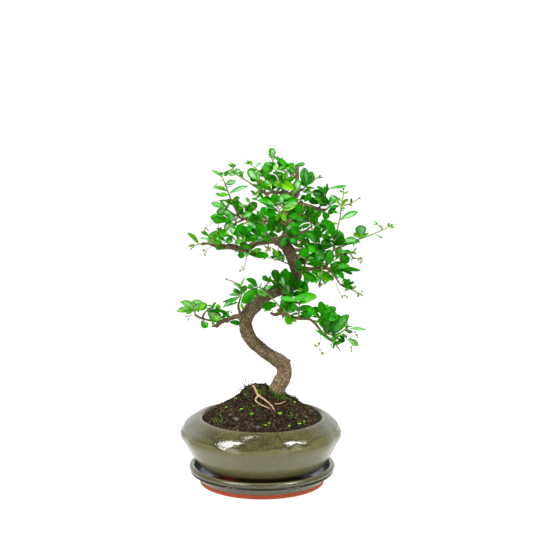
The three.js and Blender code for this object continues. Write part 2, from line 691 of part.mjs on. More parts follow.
    length: 11,
  },
  flower_twig: {
    stems: [
      [[29.5, 215.7, -0.5], [23.5, 217.2, -3], [18, 219.5, -8], [6, 222.7, -10]],
    ],
    leaves: [[17.5, 219.7, 9.5, 232.5, -12, 3.5], [19.5, 219, 10.5, 229, -5, 5.5],
      [21, 218.2, 22, 226.5, -12, 4]],
    more: 1,
    length: 8,
  },
  back_high_fan: {
    stems: [
      [[20.3, 273, 55.8], [14, 280, 59.8], [10, 290, 59.8]],
      [[20.3, 273, 55.8], [28, 278, 63.8], [36, 284, 65.8]],
    ],
    leaves: [],
    more: 6,
    length: 13,
  },
  back_middle_fan: {
    stems: [
      [[51.7, 236.7, 56.7], [58, 244, 63.7], [64, 252, 65.7]],
      [[51.7, 236.7, 56.7], [56, 234, 65.7], [62, 230, 69.7]],
    ],
    leaves: [],
    more: 6,
    length: 13,
  },
  back_left_fan: {
    stems: [
      [[-13.6, 258.7, 54.8], [-22, 266, 59.8], [-26, 274, 59.8]],
      [[-13.6, 258.7, 54.8], [-22, 254, 63.8], [-30, 250, 67.8]],
    ],
    leaves: [],
    more: 6,
    length: 13,
  },
  back_low_fan: {
    stems: [
      [[-20.6, 192.9, 51.9], [-28, 198, 55.9], [-34, 200, 55.9]],
      [[-20.6, 192.9, 51.9], [-22, 186, 59.9], [-26, 180, 61.9]],
    ],
    leaves: [],
    more: 4,
    length: 13,
  },
  back_right_fan: {
    stems: [
      [[67.6, 217.8, 55.9], [76, 222, 61.9], [82, 228, 63.9]],
      [[67.6, 217.8, 55.9], [70, 212, 63.9], [74, 204, 65.9]],
    ],
    leaves: [],
    more: 5,
    length: 13,
  },
  back_top_fan: {
    stems: [
      [[26.2, 301.6, 33.9], [24, 308, 39.9], [18, 312, 41.9]],
      [[26.2, 301.6, 33.9], [32, 306, 41.9]],
    ],
    leaves: [],
    more: 4,
    length: 12,
  },
  upper_left_tip: {
    stems: [
      [[-9.5, 295.2, -22.8], [-18.5, 301.5, -22.8], [-26, 306, -21.8], [-29.2, 313, -21.8]],
    ],
    leaves: [[-26, 306, -33, 309.5, -16.8, 4.5], [-26.5, 307.5, -21.5, 310.5, -27.8, 6],
      [-22.5, 304, -18, 308.5, -25.8, 2.5], [-29.2, 312.5, -33.2, 314.8, -23.8, 1.8],
      [-29.2, 312.8, -25.7, 315, -22.8, 1.8]],
    more: 2,
    length: 8,
  },
  upper_left_second: {
    stems: [
      [[3.5, 287.5, -16.3], [2, 296, -19.3], [3, 302, -20.3], [-6, 311.5, -20.3], [-12.2, 316, -20.3]],
    ],
    leaves: [[-5, 310.5, -15, 307.5, -25.3, 6.5], [-7.5, 312.5, -1.5, 317.5, -16.3, 1.8],
      [-12.2, 316, -18, 316.7, -21.3, 1.8], [-12.1, 315.8, -11.5, 319.5, -20.3, 2],
      [-2, 307, -6.5, 300, -26.3, 6]],
    more: 2,
    length: 9,
  },
  upper_left_mass: {
    stems: [
      [[-3, 291.5, -19.6], [-3, 296, -25.6], [-6, 300, -28.6]],
      [[-3, 296, -25.6], [4, 300, -29.6]],
    ],
    leaves: [[-5, 298.5, -12, 304, -30.6, 6], [3, 299.5, 9, 305.5, -32.6, 6],
      [-3, 295, 1, 290.5, -34.6, 7]],
    more: 4,
    length: 10,
  },
};

// Surface roots: right, up, height above the soil, radius. Each leaves the foot of the trunk below ground.
const ROOT_START = [12, 80, 0];
const roots = [
  [[-3, 88, -6, 1.6], [-8, 91, -5, 1.5], [-9.4, 93.6, -1.6, 1.4], [-7.8, 93, 0.7, 1.4], [-5.5, 88, 0.9, 1.4],
    [-4, 84.6, 0.9, 1.3], [-6.5, 80, 0.7, 1.1], [-2.5, 76, 0.6, 1], [4, 73, 0.3, 0.9], [8, 71, -2.5, 0.8]],
  [[-4, 86, -4, 1.3], [-4.6, 85.4, -0.6, 1.2], [-2.5, 84, 0.5, 1.2], [2.4, 80.3, 0.8, 1.1], [8.4, 75.5, 0.7, 1],
    [12, 70.6, 0.2, 0.8], [14, 68, -2.5, 0.7]],
];

// Small helpers

// The same draws come out on every run.
function drawer(seed) {
  let state = (seed * 48271 + 11) % 2147483647;
  return () => {
    state = (state * 16807) % 2147483647;
    return state / 2147483647;
  };
}

function solidFrom(positions, triangles) {
  const build = (order) =>
    new wasm.Manifold(
      new wasm.Mesh({ numProp: 3, vertProperties: Float32Array.from(positions), triVerts: Uint32Array.from(order) }),
    );
  const made = build(triangles);
  if (made.volume() >= 0) return made;
  const turned = [];
  for (let i = 0; i < triangles.length; i += 3) turned.push(triangles[i], triangles[i + 2], triangles[i + 1]);
  return build(turned);
}

function solidOf(geometry) {
  const bare = geometry.clone();
  bare.deleteAttribute("normal");
  bare.deleteAttribute("uv");
  const merged = mergeVertices(bare, 1e-3);
  const index = merged.index.array;
  const kept = [];
  for (let i = 0; i < index.length; i += 3) {
    const [a, b, c] = [index[i], index[i + 1], index[i + 2]];
    if (a !== b && b !== c && a !== c) kept.push(a, b, c);
  }
  return solidFrom(merged.attributes.position.array, kept);
}

function geometryOf(solid) {
  const mesh = solid.getMesh();
  const geometry = new THREE.BufferGeometry();
  const positions = new Float32Array(mesh.numVert * 3);
  for (let i = 0; i < mesh.numVert; i++) {
    for (let axis = 0; axis < 3; axis++) positions[3 * i + axis] = mesh.vertProperties[mesh.numProp * i + axis];
  }
  geometry.setAttribute("position", new THREE.BufferAttribute(positions, 3));
  geometry.setIndex(new THREE.BufferAttribute(mesh.triVerts, 1));
  return geometry;
}

// A cut can leave a scrap beside the piece. The largest joined set of triangles is the piece.
function largestPiece(solid) {
  const mesh = solid.getMesh();
  const leader = Array.from({ length: mesh.numVert }, (_, i) => i);
  const find = (i) => {
    while (leader[i] !== i) i = leader[i] = leader[leader[i]];
    return i;
  };
  const { triVerts, vertProperties, numProp } = mesh;
  for (let i = 0; i < triVerts.length; i += 3) {
    leader[find(triVerts[i])] = find(triVerts[i + 1]);
    leader[find(triVerts[i + 1])] = find(triVerts[i + 2]);
  }
  const groups = new Map();
  for (let i = 0; i < triVerts.length; i += 3) {
    const key = find(triVerts[i]);
    if (!groups.has(key)) groups.set(key, []);
    groups.get(key).push(triVerts[i], triVerts[i + 1], triVerts[i + 2]);
  }
  if (groups.size === 1) return solid;
  const positions = [];
  for (let i = 0; i < mesh.numVert; i++) {
    positions.push(vertProperties[numProp * i], vertProperties[numProp * i + 1], vertProperties[numProp * i + 2]);
  }
  const pieces = [...groups.values()].map((triangles) => {
    const order = new Map();
    const own = [];
    const renumbered = triangles.map((v) => {
      if (!order.has(v)) {
        order.set(v, order.size);
        own.push(positions[3 * v], positions[3 * v + 1], positions[3 * v + 2]);
      }
      return order.get(v);
    });
    return solidFrom(own, renumbered);
  });
  return pieces.reduce((best, piece) => (piece.volume() > best.volume() ? piece : best));
}

function union(solids) {
  return solids.reduce((joined, solid) => joined.add(solid));
}

// A turned body from [radius, height] points, with an optional change to each vertex
function turned(profile, segments, reshape) {
  const points = profile.map(([radius, height]) => new THREE.Vector2(radius, height));
  const geometry = new THREE.LatheGeometry(points, segments);
  geometry.rotateX(Math.PI / 2);
  const vertices = geometry.attributes.position;
  const vertex = new THREE.Vector3();
  for (let i = 0; reshape && i < vertices.count; i++) {
    reshape(vertex.fromBufferAttribute(vertices, i));
    vertices.setXYZ(i, vertex.x, vertex.y, vertex.z);
  }
  return solidOf(geometry);
}

// A round limb along points that carry their own radius
function limbSolid(points, sides, extra = 0) {
  const positions = [];
  const triangles = [];
  let reference = null;
  points.forEach(({ at, radius }, ring) => {
    const before = points[Math.max(ring - 1, 0)].at;
    const after = points[Math.min(ring + 1, points.length - 1)].at;
    const ahead = after.clone().sub(before).normalize();
    if (!reference) reference = new THREE.Vector3(0.31, -0.9, 0.29).cross(ahead);
    reference.addScaledVector(ahead, -reference.dot(ahead)).normalize();
    const other = ahead.clone().cross(reference);
    const ends = (ring === 0 ? -extra : 0) + (ring === points.length - 1 ? extra : 0);
    const centre = at.clone().addScaledVector(ahead, ends);
    for (let side = 0; side < sides; side++) {
      const turn = (2 * Math.PI * side) / sides;
      const rim = centre.clone();
      rim.addScaledVector(reference, (radius + extra) * Math.cos(turn));
      rim.addScaledVector(other, (radius + extra) * Math.sin(turn));
      positions.push(rim.x, rim.y, rim.z);
    }
  });
  for (let ring = 0; ring + 1 < points.length; ring++) {
    for (let side = 0; side < sides; side++) {
      const a = ring * sides + side;
      const b = ring * sides + ((side + 1) % sides);
      triangles.push(a, b, b + sides, a, b + sides, a + sides);
    }
  }
  const last = (points.length - 1) * sides;
  for (let side = 1; side + 1 < sides; side++) {
    triangles.push(0, side + 1, side, last, last + side, last + side + 1);
  }
  return solidFrom(positions, triangles);
}

// The saucer

function makeSaucer() {
  const lipMiddle = SAUCER_LIP_RADIUS - SAUCER_LIP_ROUND;
  const profile = [
    [0, 0],
    [SAUCER_FOOT_RADIUS - 1, 0],
    [SAUCER_FOOT_RADIUS, 1],
    [SAUCER_FOOT_RADIUS, SAUCER_FOOT_HEIGHT],
    [SAUCER_FOOT_RADIUS + 1.2, SAUCER_FOOT_HEIGHT + 0.8],
    [SAUCER_FOOT_RADIUS + 4, SAUCER_FOOT_HEIGHT + 6],
    [lipMiddle, SAUCER_LIP_HEIGHT - 4],
  ];
  for (let turn = -30; turn <= 130; turn += 40) {
    const angle = (turn * Math.PI) / 180;
    profile.push([
      lipMiddle + SAUCER_LIP_ROUND * Math.cos(angle),
      SAUCER_LIP_HEIGHT + SAUCER_LIP_ROUND * Math.sin(angle),
    ]);
  }
  profile.push([66.4, 12.5], [64.6, 8.2], [61, SAUCER_FLOOR], [0, SAUCER_FLOOR]);
  return turned(profile, ROUND_SEGMENTS);
}

// The bowl

// The wall is drawn in at soft creases, so that the bowl has lobes like a flower. It is a little fuller on its left.
function creased(vertex) {
  const radius = Math.hypot(vertex.x, vertex.y);
  if (radius < POT_RIM_RADIUS) return;
  const pitch = (2 * Math.PI) / LOBES;
  const turn = Math.atan2(vertex.y, vertex.x) - FIRST_CREASE;
  const off = turn - pitch * Math.round(turn / pitch);
  const share = Math.min((radius - POT_RIM_RADIUS) / (POT_BELLY_RADIUS - POT_RIM_RADIUS), 1);
  const drawn = LOBE_CREASE_DEPTH * share * Math.exp(-((off / LOBE_CREASE_WIDTH) ** 2));
  const scale = (radius - drawn) / radius;
  vertex.x = vertex.x * scale - FULLER_LEFT * share;
  vertex.y *= scale;
}

// The hollow, from its flat floor to the neck
const POT_INSIDE = [
  [50, POT_FLOOR],
  [59.5, 21.5],
  [69.5, 33.5],
  [75, 47.5],
  [72.5, 55.5],
  [POT_MOUTH_RADIUS + 3.5, 62.5],
];

function potHollow() {
  const profile = [[0, POT_FLOOR], ...POT_INSIDE, [POT_MOUTH_RADIUS, 66], [POT_MOUTH_RADIUS, 90], [0, 90]];
  return turned(profile, ROUND_SEGMENTS);
}

function makePot() {
  const outside = turned(
    [
      [0, POT_BASE + 3],
      [POT_FOOT_RADIUS - 7, POT_BASE + 3],
      [POT_FOOT_RADIUS - 6, POT_BASE],
      [POT_FOOT_RADIUS, POT_BASE],
      [POT_FOOT_RADIUS + 1, POT_BASE + 3.4],
      [61, 18],
      [70.5, 29.5],
      [77.3, 41],
      [POT_BELLY_RADIUS - 0.9, 47],
      [POT_BELLY_RADIUS, POT_BELLY_HEIGHT],
      [POT_BELLY_RADIUS - 1.4, POT_BELLY_HEIGHT + 3.6],
      [76.6, 60.8],
      [69.8, 66],
      [POT_RIM_RADIUS + 1.6, 68.3],
      [POT_RIM_RADIUS - 1.6, POT_RIM_HEIGHT],
      [0, POT_RIM_HEIGHT],
    ],
    ROUND_SEGMENTS,
    creased,
  );
  const drain = new THREE.CylinderGeometry(DRAIN_RADIUS, DRAIN_RADIUS, POT_RIM_HEIGHT, DRAIN_SEGMENTS);
  drain.rotateX(Math.PI / 2);
  return outside.subtract(potHollow()).subtract(solidOf(drain));
}

// The mesh over the drainage hole

function makeDrainageMesh() {
  const bars = [];
  const step = (MESH_SIDE - MESH_BAR_WIDTH) / (MESH_BARS - 1);
  for (let bar = 0; bar < MESH_BARS; bar++) {
    const place = (MESH_BAR_WIDTH - MESH_SIDE) / 2 + bar * step;
    const across = new THREE.BoxGeometry(MESH_SIDE, MESH_BAR_WIDTH, MESH_THICKNESS);
    const along = new THREE.BoxGeometry(MESH_BAR_WIDTH, MESH_SIDE, MESH_THICKNESS);
    const height = POT_FLOOR + REST_GAP + MESH_THICKNESS / 2;
    bars.push(solidOf(across.translate(0, place, height)), solidOf(along.translate(place, 0, height)));
  }
  return union(bars);
}

// The soil

function soilHeight(x, y) {
  const away = Math.hypot(x - SOIL_TOP_X * Math.max(1 - Math.hypot(x, y) / SOIL_MOUND_RADIUS, 0), y);
  let height = SOIL_EDGE_HEIGHT + SOIL_MOUND_RISE * Math.max(1 - away / SOIL_MOUND_RADIUS, 0) ** SOIL_MOUND_CURVE;
  for (const knoll of KNOLLS) {
    const off = Math.hypot(x - knoll.x, y - knoll.y) / knoll.radius;
    height += knoll.rise * Math.exp(-1.6 * off ** 2);
  }
  return height + SOIL_LUMP * Math.sin(0.31 * x + 1.2) * Math.sin(0.27 * y + 0.4);
}

// The point of the soil's surface that is seen at a place in the front view
function onSoil(right, up, above) {
  let back = -SOIL_MOUND_RADIUS;
  let point = fromFront(right, up, back);
  while (point.z > soilHeight(point.x, point.y) + above && back < SOIL_MOUND_RADIUS) {
    back += 0.25;
    point = fromFront(right, up, back);
  }
  return point;
}

function makeSoil(rooted) {
  const meshTop = POT_FLOOR + 2 * REST_GAP + MESH_THICKNESS;
  const meshCorner = MESH_SIDE * 0.75;
  const profile = [[0, meshTop], [meshCorner, meshTop], [meshCorner + 0.5, POT_FLOOR + REST_GAP]];
  for (const [radius, height] of POT_INSIDE) {
    profile.push([radius - 3 * REST_GAP, height + (height < POT_BELLY_HEIGHT ? REST_GAP : -REST_GAP)]);
  }
  const above = 2 * POT_RIM_HEIGHT;
  for (let ring = SOIL_RINGS; ring >= 0; ring--) profile.push([(SOIL_EDGE_RADIUS * ring) / SOIL_RINGS, above]);
  const mound = turned(profile, ROUND_SEGMENTS, (vertex) => {
    if (vertex.z > POT_RIM_HEIGHT) vertex.z = soilHeight(vertex.x, vertex.y);
  });
  return largestPiece(mound.subtract(rooted));
}

// The trunk, branches and roots

function limbPoints(path) {
  return path.map(([right, up, back, radius]) => ({ at: fromFront(right, up, back), radius }));
}

// A root runs from under the trunk to the surface, lies on it and goes down again.
function rootPoints(path) {
  return path.map(([right, up, above, radius]) => ({ at: onSoil(right, up, above), radius }));
}

function woodSolids(extra) {
  const solids = Object.values(limbs).map((limb) => {
    return limbSolid(limbPoints(limb.path), limb.sides, extra);
  });
  for (const path of roots) {
    const start = { at: fromFront(...ROOT_START), radius: path[0][3] };
    solids.push(limbSolid([start, ...rootPoints(path)], ROOT_SIDES, extra));
  }
  return solids;
}

// Stems and leaves

function stemPoints(stem) {
  return stem.map(([right, up, back], i) => {
    const share = i / (stem.length - 1);
    return { at: fromFront(right, up, back), radius: STEM_RADIUS + (STEM_TIP_RADIUS - STEM_RADIUS) * share };
  });
}

// A blade from base to tip, widest beyond the middle and arched along its length
function blade(base, tip, face, width, extra = 0) {
  const axis = tip.clone().sub(base);
  const length = axis.length();
  axis.normalize();
  const side = axis.clone().cross(face).normalize();
  const normal = side.clone().cross(axis);
  const small = width < SMALL_BLADE.width || length < SMALL_BLADE.length;
  const outline = small ? SMALL_OUTLINE : OUTLINE;
  const half = width / 2 + extra;
  const rise = BLADE_THICKNESS / 2 + extra;
  const positions = [];
  const add = (along, across, up) => {
    const point = base.clone().addScaledVector(axis, along * length);
    point.addScaledVector(normal, up + 4 * BLADE_ARCH * length * along * (1 - along));
    point.addScaledVector(side, across);
    positions.push(point.x, point.y, point.z);
  };
  add(-extra / length, 0, 0);
  for (const [along, share] of outline) {
    for (const [across, up] of [[-1, 1], [1, 1], [1, -1], [-1, -1]]) add(along, half * share * across, rise * up);
  }
  add(1 + extra / length, 0, 0);
  const last = positions.length / 3 - 1;
  const triangles = [];
  for (let corner = 0; corner < 4; corner++) {
    const next = (corner + 1) % 4;
    triangles.push(0, 1 + next, 1 + corner, last, last - 4 + corner, last - 4 + next);
    for (let from = 1; from + 4 < last; from += 4) {
      triangles.push(from + corner, from + next, from + 4 + next, from + corner, from + 4 + next, from + 4 + corner);
    }
  }
  return solidFrom(positions, triangles);
}

// The place on a spray's stems that is seen nearest to a point of the front view, clear of both ends
function nearestOnStems(stems, right, up) {
  let best = null;
  for (const stem of stems) {
    for (let i = 0; i + 1 < stem.length; i++) {
      const [a, b] = [stem[i], stem[i + 1]];
      const run = [b[0] - a[0], b[1] - a[1]];
      const length = Math.hypot(...run);
      const along = ((right - a[0]) * run[0] + (up - a[1]) * run[1]) / length ** 2;
      const first = i === 0 ? 0.3 : 0;
      const last = i + 2 === stem.length ? 1 - Math.min(STEM_END / length, 0.5) : 1;
      const t = Math.min(Math.max(along, first), last);
      const away = Math.hypot(a[0] + run[0] * t - right, a[1] + run[1] * t - up);
      if (!best || away < best.away) best = { away, at: a.map((value, axis) => value + (b[axis] - value) * t) };
    }
  }
  return fromFront(...best.at);
}

// A leaf that shows in the front view turns its blade just far enough to look as wide as it does there.
function shownLeaf(spray, leaf, attempt) {
  const [fromRight, fromUp, right, up, back, seenWidth] = leaf;
  const shift = attempt === 0 ? 0 : (attempt % 2 ? 1 : -1) * BEND_STEP * Math.ceil(attempt / 2);
  const base = nearestOnStems(spray.stems, fromRight, fromUp);
  const tip = fromFront(right, up, back + shift);
  const axis = tip.clone().sub(base);
  const width = Math.max(seenWidth, BLADE_SHAPE * Math.min(axis.length(), 2.6 * seenWidth));
  const turn = Math.acos(seenWidth / width);
  axis.normalize();
  const toViewer = new THREE.Vector3(0, -Math.cos(VIEW.pitch), Math.sin(VIEW.pitch));
  const faces = [turn, -turn].map((angle) => toViewer.clone().applyAxisAngle(axis, angle));
  const face = faces[0].z >= faces[1].z ? faces[0] : faces[1];
  return { base, tip, face, width };
}

// The other leaves stand round their stem by the golden turn, and lean out of the crown and up to the light.
function furtherLeaf(spray, number, leaf, attempt) {
  const draw = drawer(1000 * (number + 1) + 37 * leaf + 5);
  const stem = spray.stems[leaf % spray.stems.length].map((point) => fromFront(...point));
  const places = Math.ceil(spray.more / spray.stems.length);
  const along = (Math.floor(leaf / spray.stems.length) + 0.45 + 0.5 * draw()) / places;
  const lengths = stem.slice(1).map((point, i) => point.distanceTo(stem[i]));
  const whole = lengths.reduce((sum, value) => sum + value, 0);
  let left = (0.25 + 0.75 * Math.min(along, 1)) * (whole - STEM_END);
  let piece = 0;
  while (piece + 1 < lengths.length && left > lengths[piece]) {
    left -= lengths[piece];
    piece += 1;
  }
  const base = stem[piece].clone().lerp(stem[piece + 1], Math.min(left / lengths[piece], 1));
  const ahead = stem[piece + 1].clone().sub(stem[piece]).normalize();
  const across = ahead.clone().cross(new THREE.Vector3(0.36, 0.48, 0.8)).normalize();
  const azimuth = GOLDEN_TURN * leaf + 6.28 * draw() + 0.9 * attempt;
  const spread = 0.75 + 0.5 * draw() + 0.12 * (attempt % 3);
  const radial = across.applyAxisAngle(ahead, azimuth);
  const outward = base.clone().sub(CROWN_MIDDLE).normalize();
  const direction = ahead.multiplyScalar(Math.cos(spread)).addScaledVector(radial, Math.sin(spread));
  direction.addScaledVector(outward, 0.3);
  direction.z += 0.12;
  direction.normalize();
  const length = spray.length * (0.72 + 0.5 * draw()) * (1 - 0.04 * attempt);
  const tip = base.clone().addScaledVector(direction, length);
  const face = new THREE.Vector3(draw() - 0.5, draw() - 0.5, 0.9 + draw() * 0.4);
  face.multiplyScalar(0.8).addScaledVector(outward, 0.55);
  return { base, tip, face, width: length * (0.42 + 0.14 * draw()) };
}

// A leaf is bent clear of everything already there, or left out where there is no room for it.
const taken = [];

function boxOf(solid) {
  const { min, max } = solid.boundingBox();
  return new THREE.Box3(new THREE.Vector3(...min), new THREE.Vector3(...max));
}

function take(solid, owner, kind) {
  taken.push({ solid, box: boxOf(solid), owner, kind });
}

function isClear(solid, owner) {
  const box = boxOf(solid);
  return taken.every((other) => {
    if (!other.box.intersectsBox(box)) return true;
    if (other.owner === owner && other.kind === "stem") return true;
    const shared = other.solid.intersect(solid).volume();
    return shared <= (other.owner === owner ? OWN_CROSSING : 0);
  });
}

function placeLeaf(owner, shape) {
  for (let attempt = 0; attempt < ATTEMPTS; attempt++) {
    const { base, tip, face, width } = shape(attempt);
    if (!isClear(blade(base, tip, face, width, CLEARANCE), owner)) continue;
    const leaf = blade(base, tip, face, width);
    take(leaf, owner, "leaf");
    return [leaf];
  }
  return [];
}

function makeSprays(wood, clearWood) {
  wood.forEach((solid) => take(solid, "wood", "wood"));
  const names = Object.keys(sprays);
  const bodies = names.map((name) => sprays[name].stems.map((stem) => limbSolid(stemPoints(stem), STEM_SIDES)));
  bodies.forEach((stems, i) => stems.forEach((stem) => take(stem, names[i], "stem")));
  names.forEach((name, i) => {
    for (const leaf of sprays[name].leaves) {
      bodies[i].push(...placeLeaf(name, (attempt) => shownLeaf(sprays[name], leaf, attempt)));
    }
  });
  names.forEach((name, i) => {
    for (let leaf = 0; leaf < sprays[name].more; leaf++) {
      bodies[i].push(...placeLeaf(name, (attempt) => furtherLeaf(sprays[name], i, leaf, attempt)));
    }
  });
  return names.map((name, i) => {
    let body = union(bodies[i]);
    const box = boxOf(body);
    for (const limb of clearWood) {
      if (boxOf(limb).intersectsBox(box)) body = body.subtract(limb);
    }
    return [name, largestPiece(body)];
  });
}

// Finishes

function finish(color, roughness) {
  return new THREE.MeshStandardMaterial({ color, roughness, metalness: 0 });
}

const glazed = finish(0x55584a, 0.25);
const darkPlastic = finish(0x22241f, 0.6);
const earth = finish(0x33271d, 1);
const bark = finish(0x6d5b45, 0.85);
const foliage = finish(0x3c8a1e, 0.4);

// The whole object

const bonsai = new THREE.Group();

function place(name, solid, material) {
  const mesh = new THREE.Mesh(geometryOf(solid), material);
  mesh.name = name;
  bonsai.add(mesh);
}

const wood = woodSolids(0);
const clearWood = woodSolids(CLEARANCE);
place("saucer", makeSaucer(), glazed);
place("pot", makePot(), glazed);
place("drainage_mesh", makeDrainageMesh(), darkPlastic);
place("soil", makeSoil(union(woodSolids(SOIL_CLEARANCE))), earth);
place("trunk_and_branches", union(wood), bark);
for (const [name, solid] of makeSprays(wood, clearWood)) {
  place("spray_" + name, solid, foliage);
}

export default bonsai;
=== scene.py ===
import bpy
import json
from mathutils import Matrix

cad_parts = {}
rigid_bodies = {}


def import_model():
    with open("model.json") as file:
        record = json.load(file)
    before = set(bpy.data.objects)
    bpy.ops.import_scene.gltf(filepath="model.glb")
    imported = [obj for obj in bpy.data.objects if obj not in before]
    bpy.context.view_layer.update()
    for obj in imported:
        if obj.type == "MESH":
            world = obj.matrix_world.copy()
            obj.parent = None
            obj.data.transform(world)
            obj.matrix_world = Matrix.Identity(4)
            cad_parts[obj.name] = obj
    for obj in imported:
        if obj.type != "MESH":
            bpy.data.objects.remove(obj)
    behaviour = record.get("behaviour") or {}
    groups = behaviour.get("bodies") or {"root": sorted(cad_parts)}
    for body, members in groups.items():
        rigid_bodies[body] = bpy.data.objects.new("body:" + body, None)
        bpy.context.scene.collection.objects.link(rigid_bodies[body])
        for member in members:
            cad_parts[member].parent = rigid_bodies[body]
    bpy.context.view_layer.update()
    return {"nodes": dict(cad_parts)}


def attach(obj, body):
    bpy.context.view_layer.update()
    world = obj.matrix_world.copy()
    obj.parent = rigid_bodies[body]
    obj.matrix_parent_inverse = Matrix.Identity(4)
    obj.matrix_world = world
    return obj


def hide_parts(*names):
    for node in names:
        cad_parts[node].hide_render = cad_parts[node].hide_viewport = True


bl_info = {
    "name": "Fukien Tea Bonsai",
    "version": (1, 0, 0),
    "blender": (4, 5, 0),
    "location": "View3D > Sidebar > Bonsai",
    "description": "Grows a potted fukien tea bonsai around its frame, piece by piece",
    "category": "Add Mesh",
}

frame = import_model()

import json
import math

import bpy
from mathutils import Euler, Matrix, Quaternion, Vector, noise
from mathutils.kdtree import KDTree

BODY = "root"

# The tree is set out in millimetres and every mesh is made in metres.
MM = 0.001

# The view in which the tree is set out, as in the frame: the viewer's place, pitch and reach, and the
# point of the picture that lies straight ahead, right of the bowl's axis and up from the table
VIEW = {"side": 4.5, "distance": 1905.0, "height": 600.0, "pitch": 0.1958, "reach": 1950.0}
VIEW_MIDDLE = {"right": 4.5, "up": 213.5}
PICTURE_WIDTH = 533
SENSOR_WIDTH = 36.0

# The saucer, the bowl and the soil, in millimetres
SAUCER = {"foot": 63.0, "foot_height": 4.6, "lip": 73.8, "lip_height": 16.5, "lip_round": 2.9, "floor": 6.5}
POT = {"base": 6.8, "foot": 50.0, "belly": 81.8, "belly_height": 51.0, "rim": 63.0, "rim_height": 68.6}
POT_MOUTH = 59.8
POT_FLOOR = 14.5
DRAIN_RADIUS = 7.0
LOBES = 5
LOBE_CREASE_DEPTH = 2.4
LOBE_CREASE_WIDTH = 0.2
FIRST_CREASE = math.radians(198)
FULLER_LEFT = 1.2
SOIL_EDGE_RADIUS = 59.6
SOIL_EDGE_HEIGHT = 64.6
SOIL_MOUND_RISE = 36.0
SOIL_MOUND_RADIUS = 59.5
SOIL_MOUND_CURVE = 0.8
SOIL_TOP_X = 3.0
SOIL_LUMP = 0.9
KNOLLS = [(-12.5, -1.0, 8.0, 14.0), (19.0, 4.0, 2.5, 10.0)]

# Leaves and stems, as in the frame. The frame drew its leaves' places on a turn of so many radians.
BLADE_SHAPE = 0.46
STEM_RADIUS = 1.0
STEM_END = 0.7
GOLDEN_TURN = 2.39996
FRAME_TURN = 6.28
CROWN_MIDDLE = Vector((12.0, 0.0, 245.0))
ATTEMPTS = 9
BEND_STEP = 3.0
SAME_POINT = 0.05
FULL_TURN = 6.283


def rows_of(width, numbers):
    """The numbers of a list or a text, in rows of that width."""
    if isinstance(numbers, str):
        numbers = [float(word) for word in numbers.split()]
    return [numbers[i:i + width] for i in range(0, len(numbers), width)]


def read_table(text, **widths):
    """Named entries of numbers. A word opens a part of its entry, with rows as wide as given for it."""
    table = {}
    for word in text.split():
        if word.endswith(":"):
            parts = table[word[:-1]] = [("own", [])]
        elif word.isalpha():
            parts.append((word, []))
        else:
            parts[-1][1].append(float(word))
    return {name: [(label, rows_of(widths[label], numbers)) for label, numbers in parts]
            for name, parts in table.items()}


def named_rows(width, text):
    return {name: parts[0][1] for name, parts in read_table(text, own=width).items()}


def spray_parts(text):
    sprays = {}
    for name, parts in read_table(text, own=2, stem=3, leaves=6).items():
        more, length = parts[0][1][0]
        sprays[name] = {
            "more": int(more), "length": length,
            "stems": [rows for label, rows in parts if label == "stem"],
            "leaves": [row for label, rows in parts if label == "leaves" for row in rows]}
    return sprays


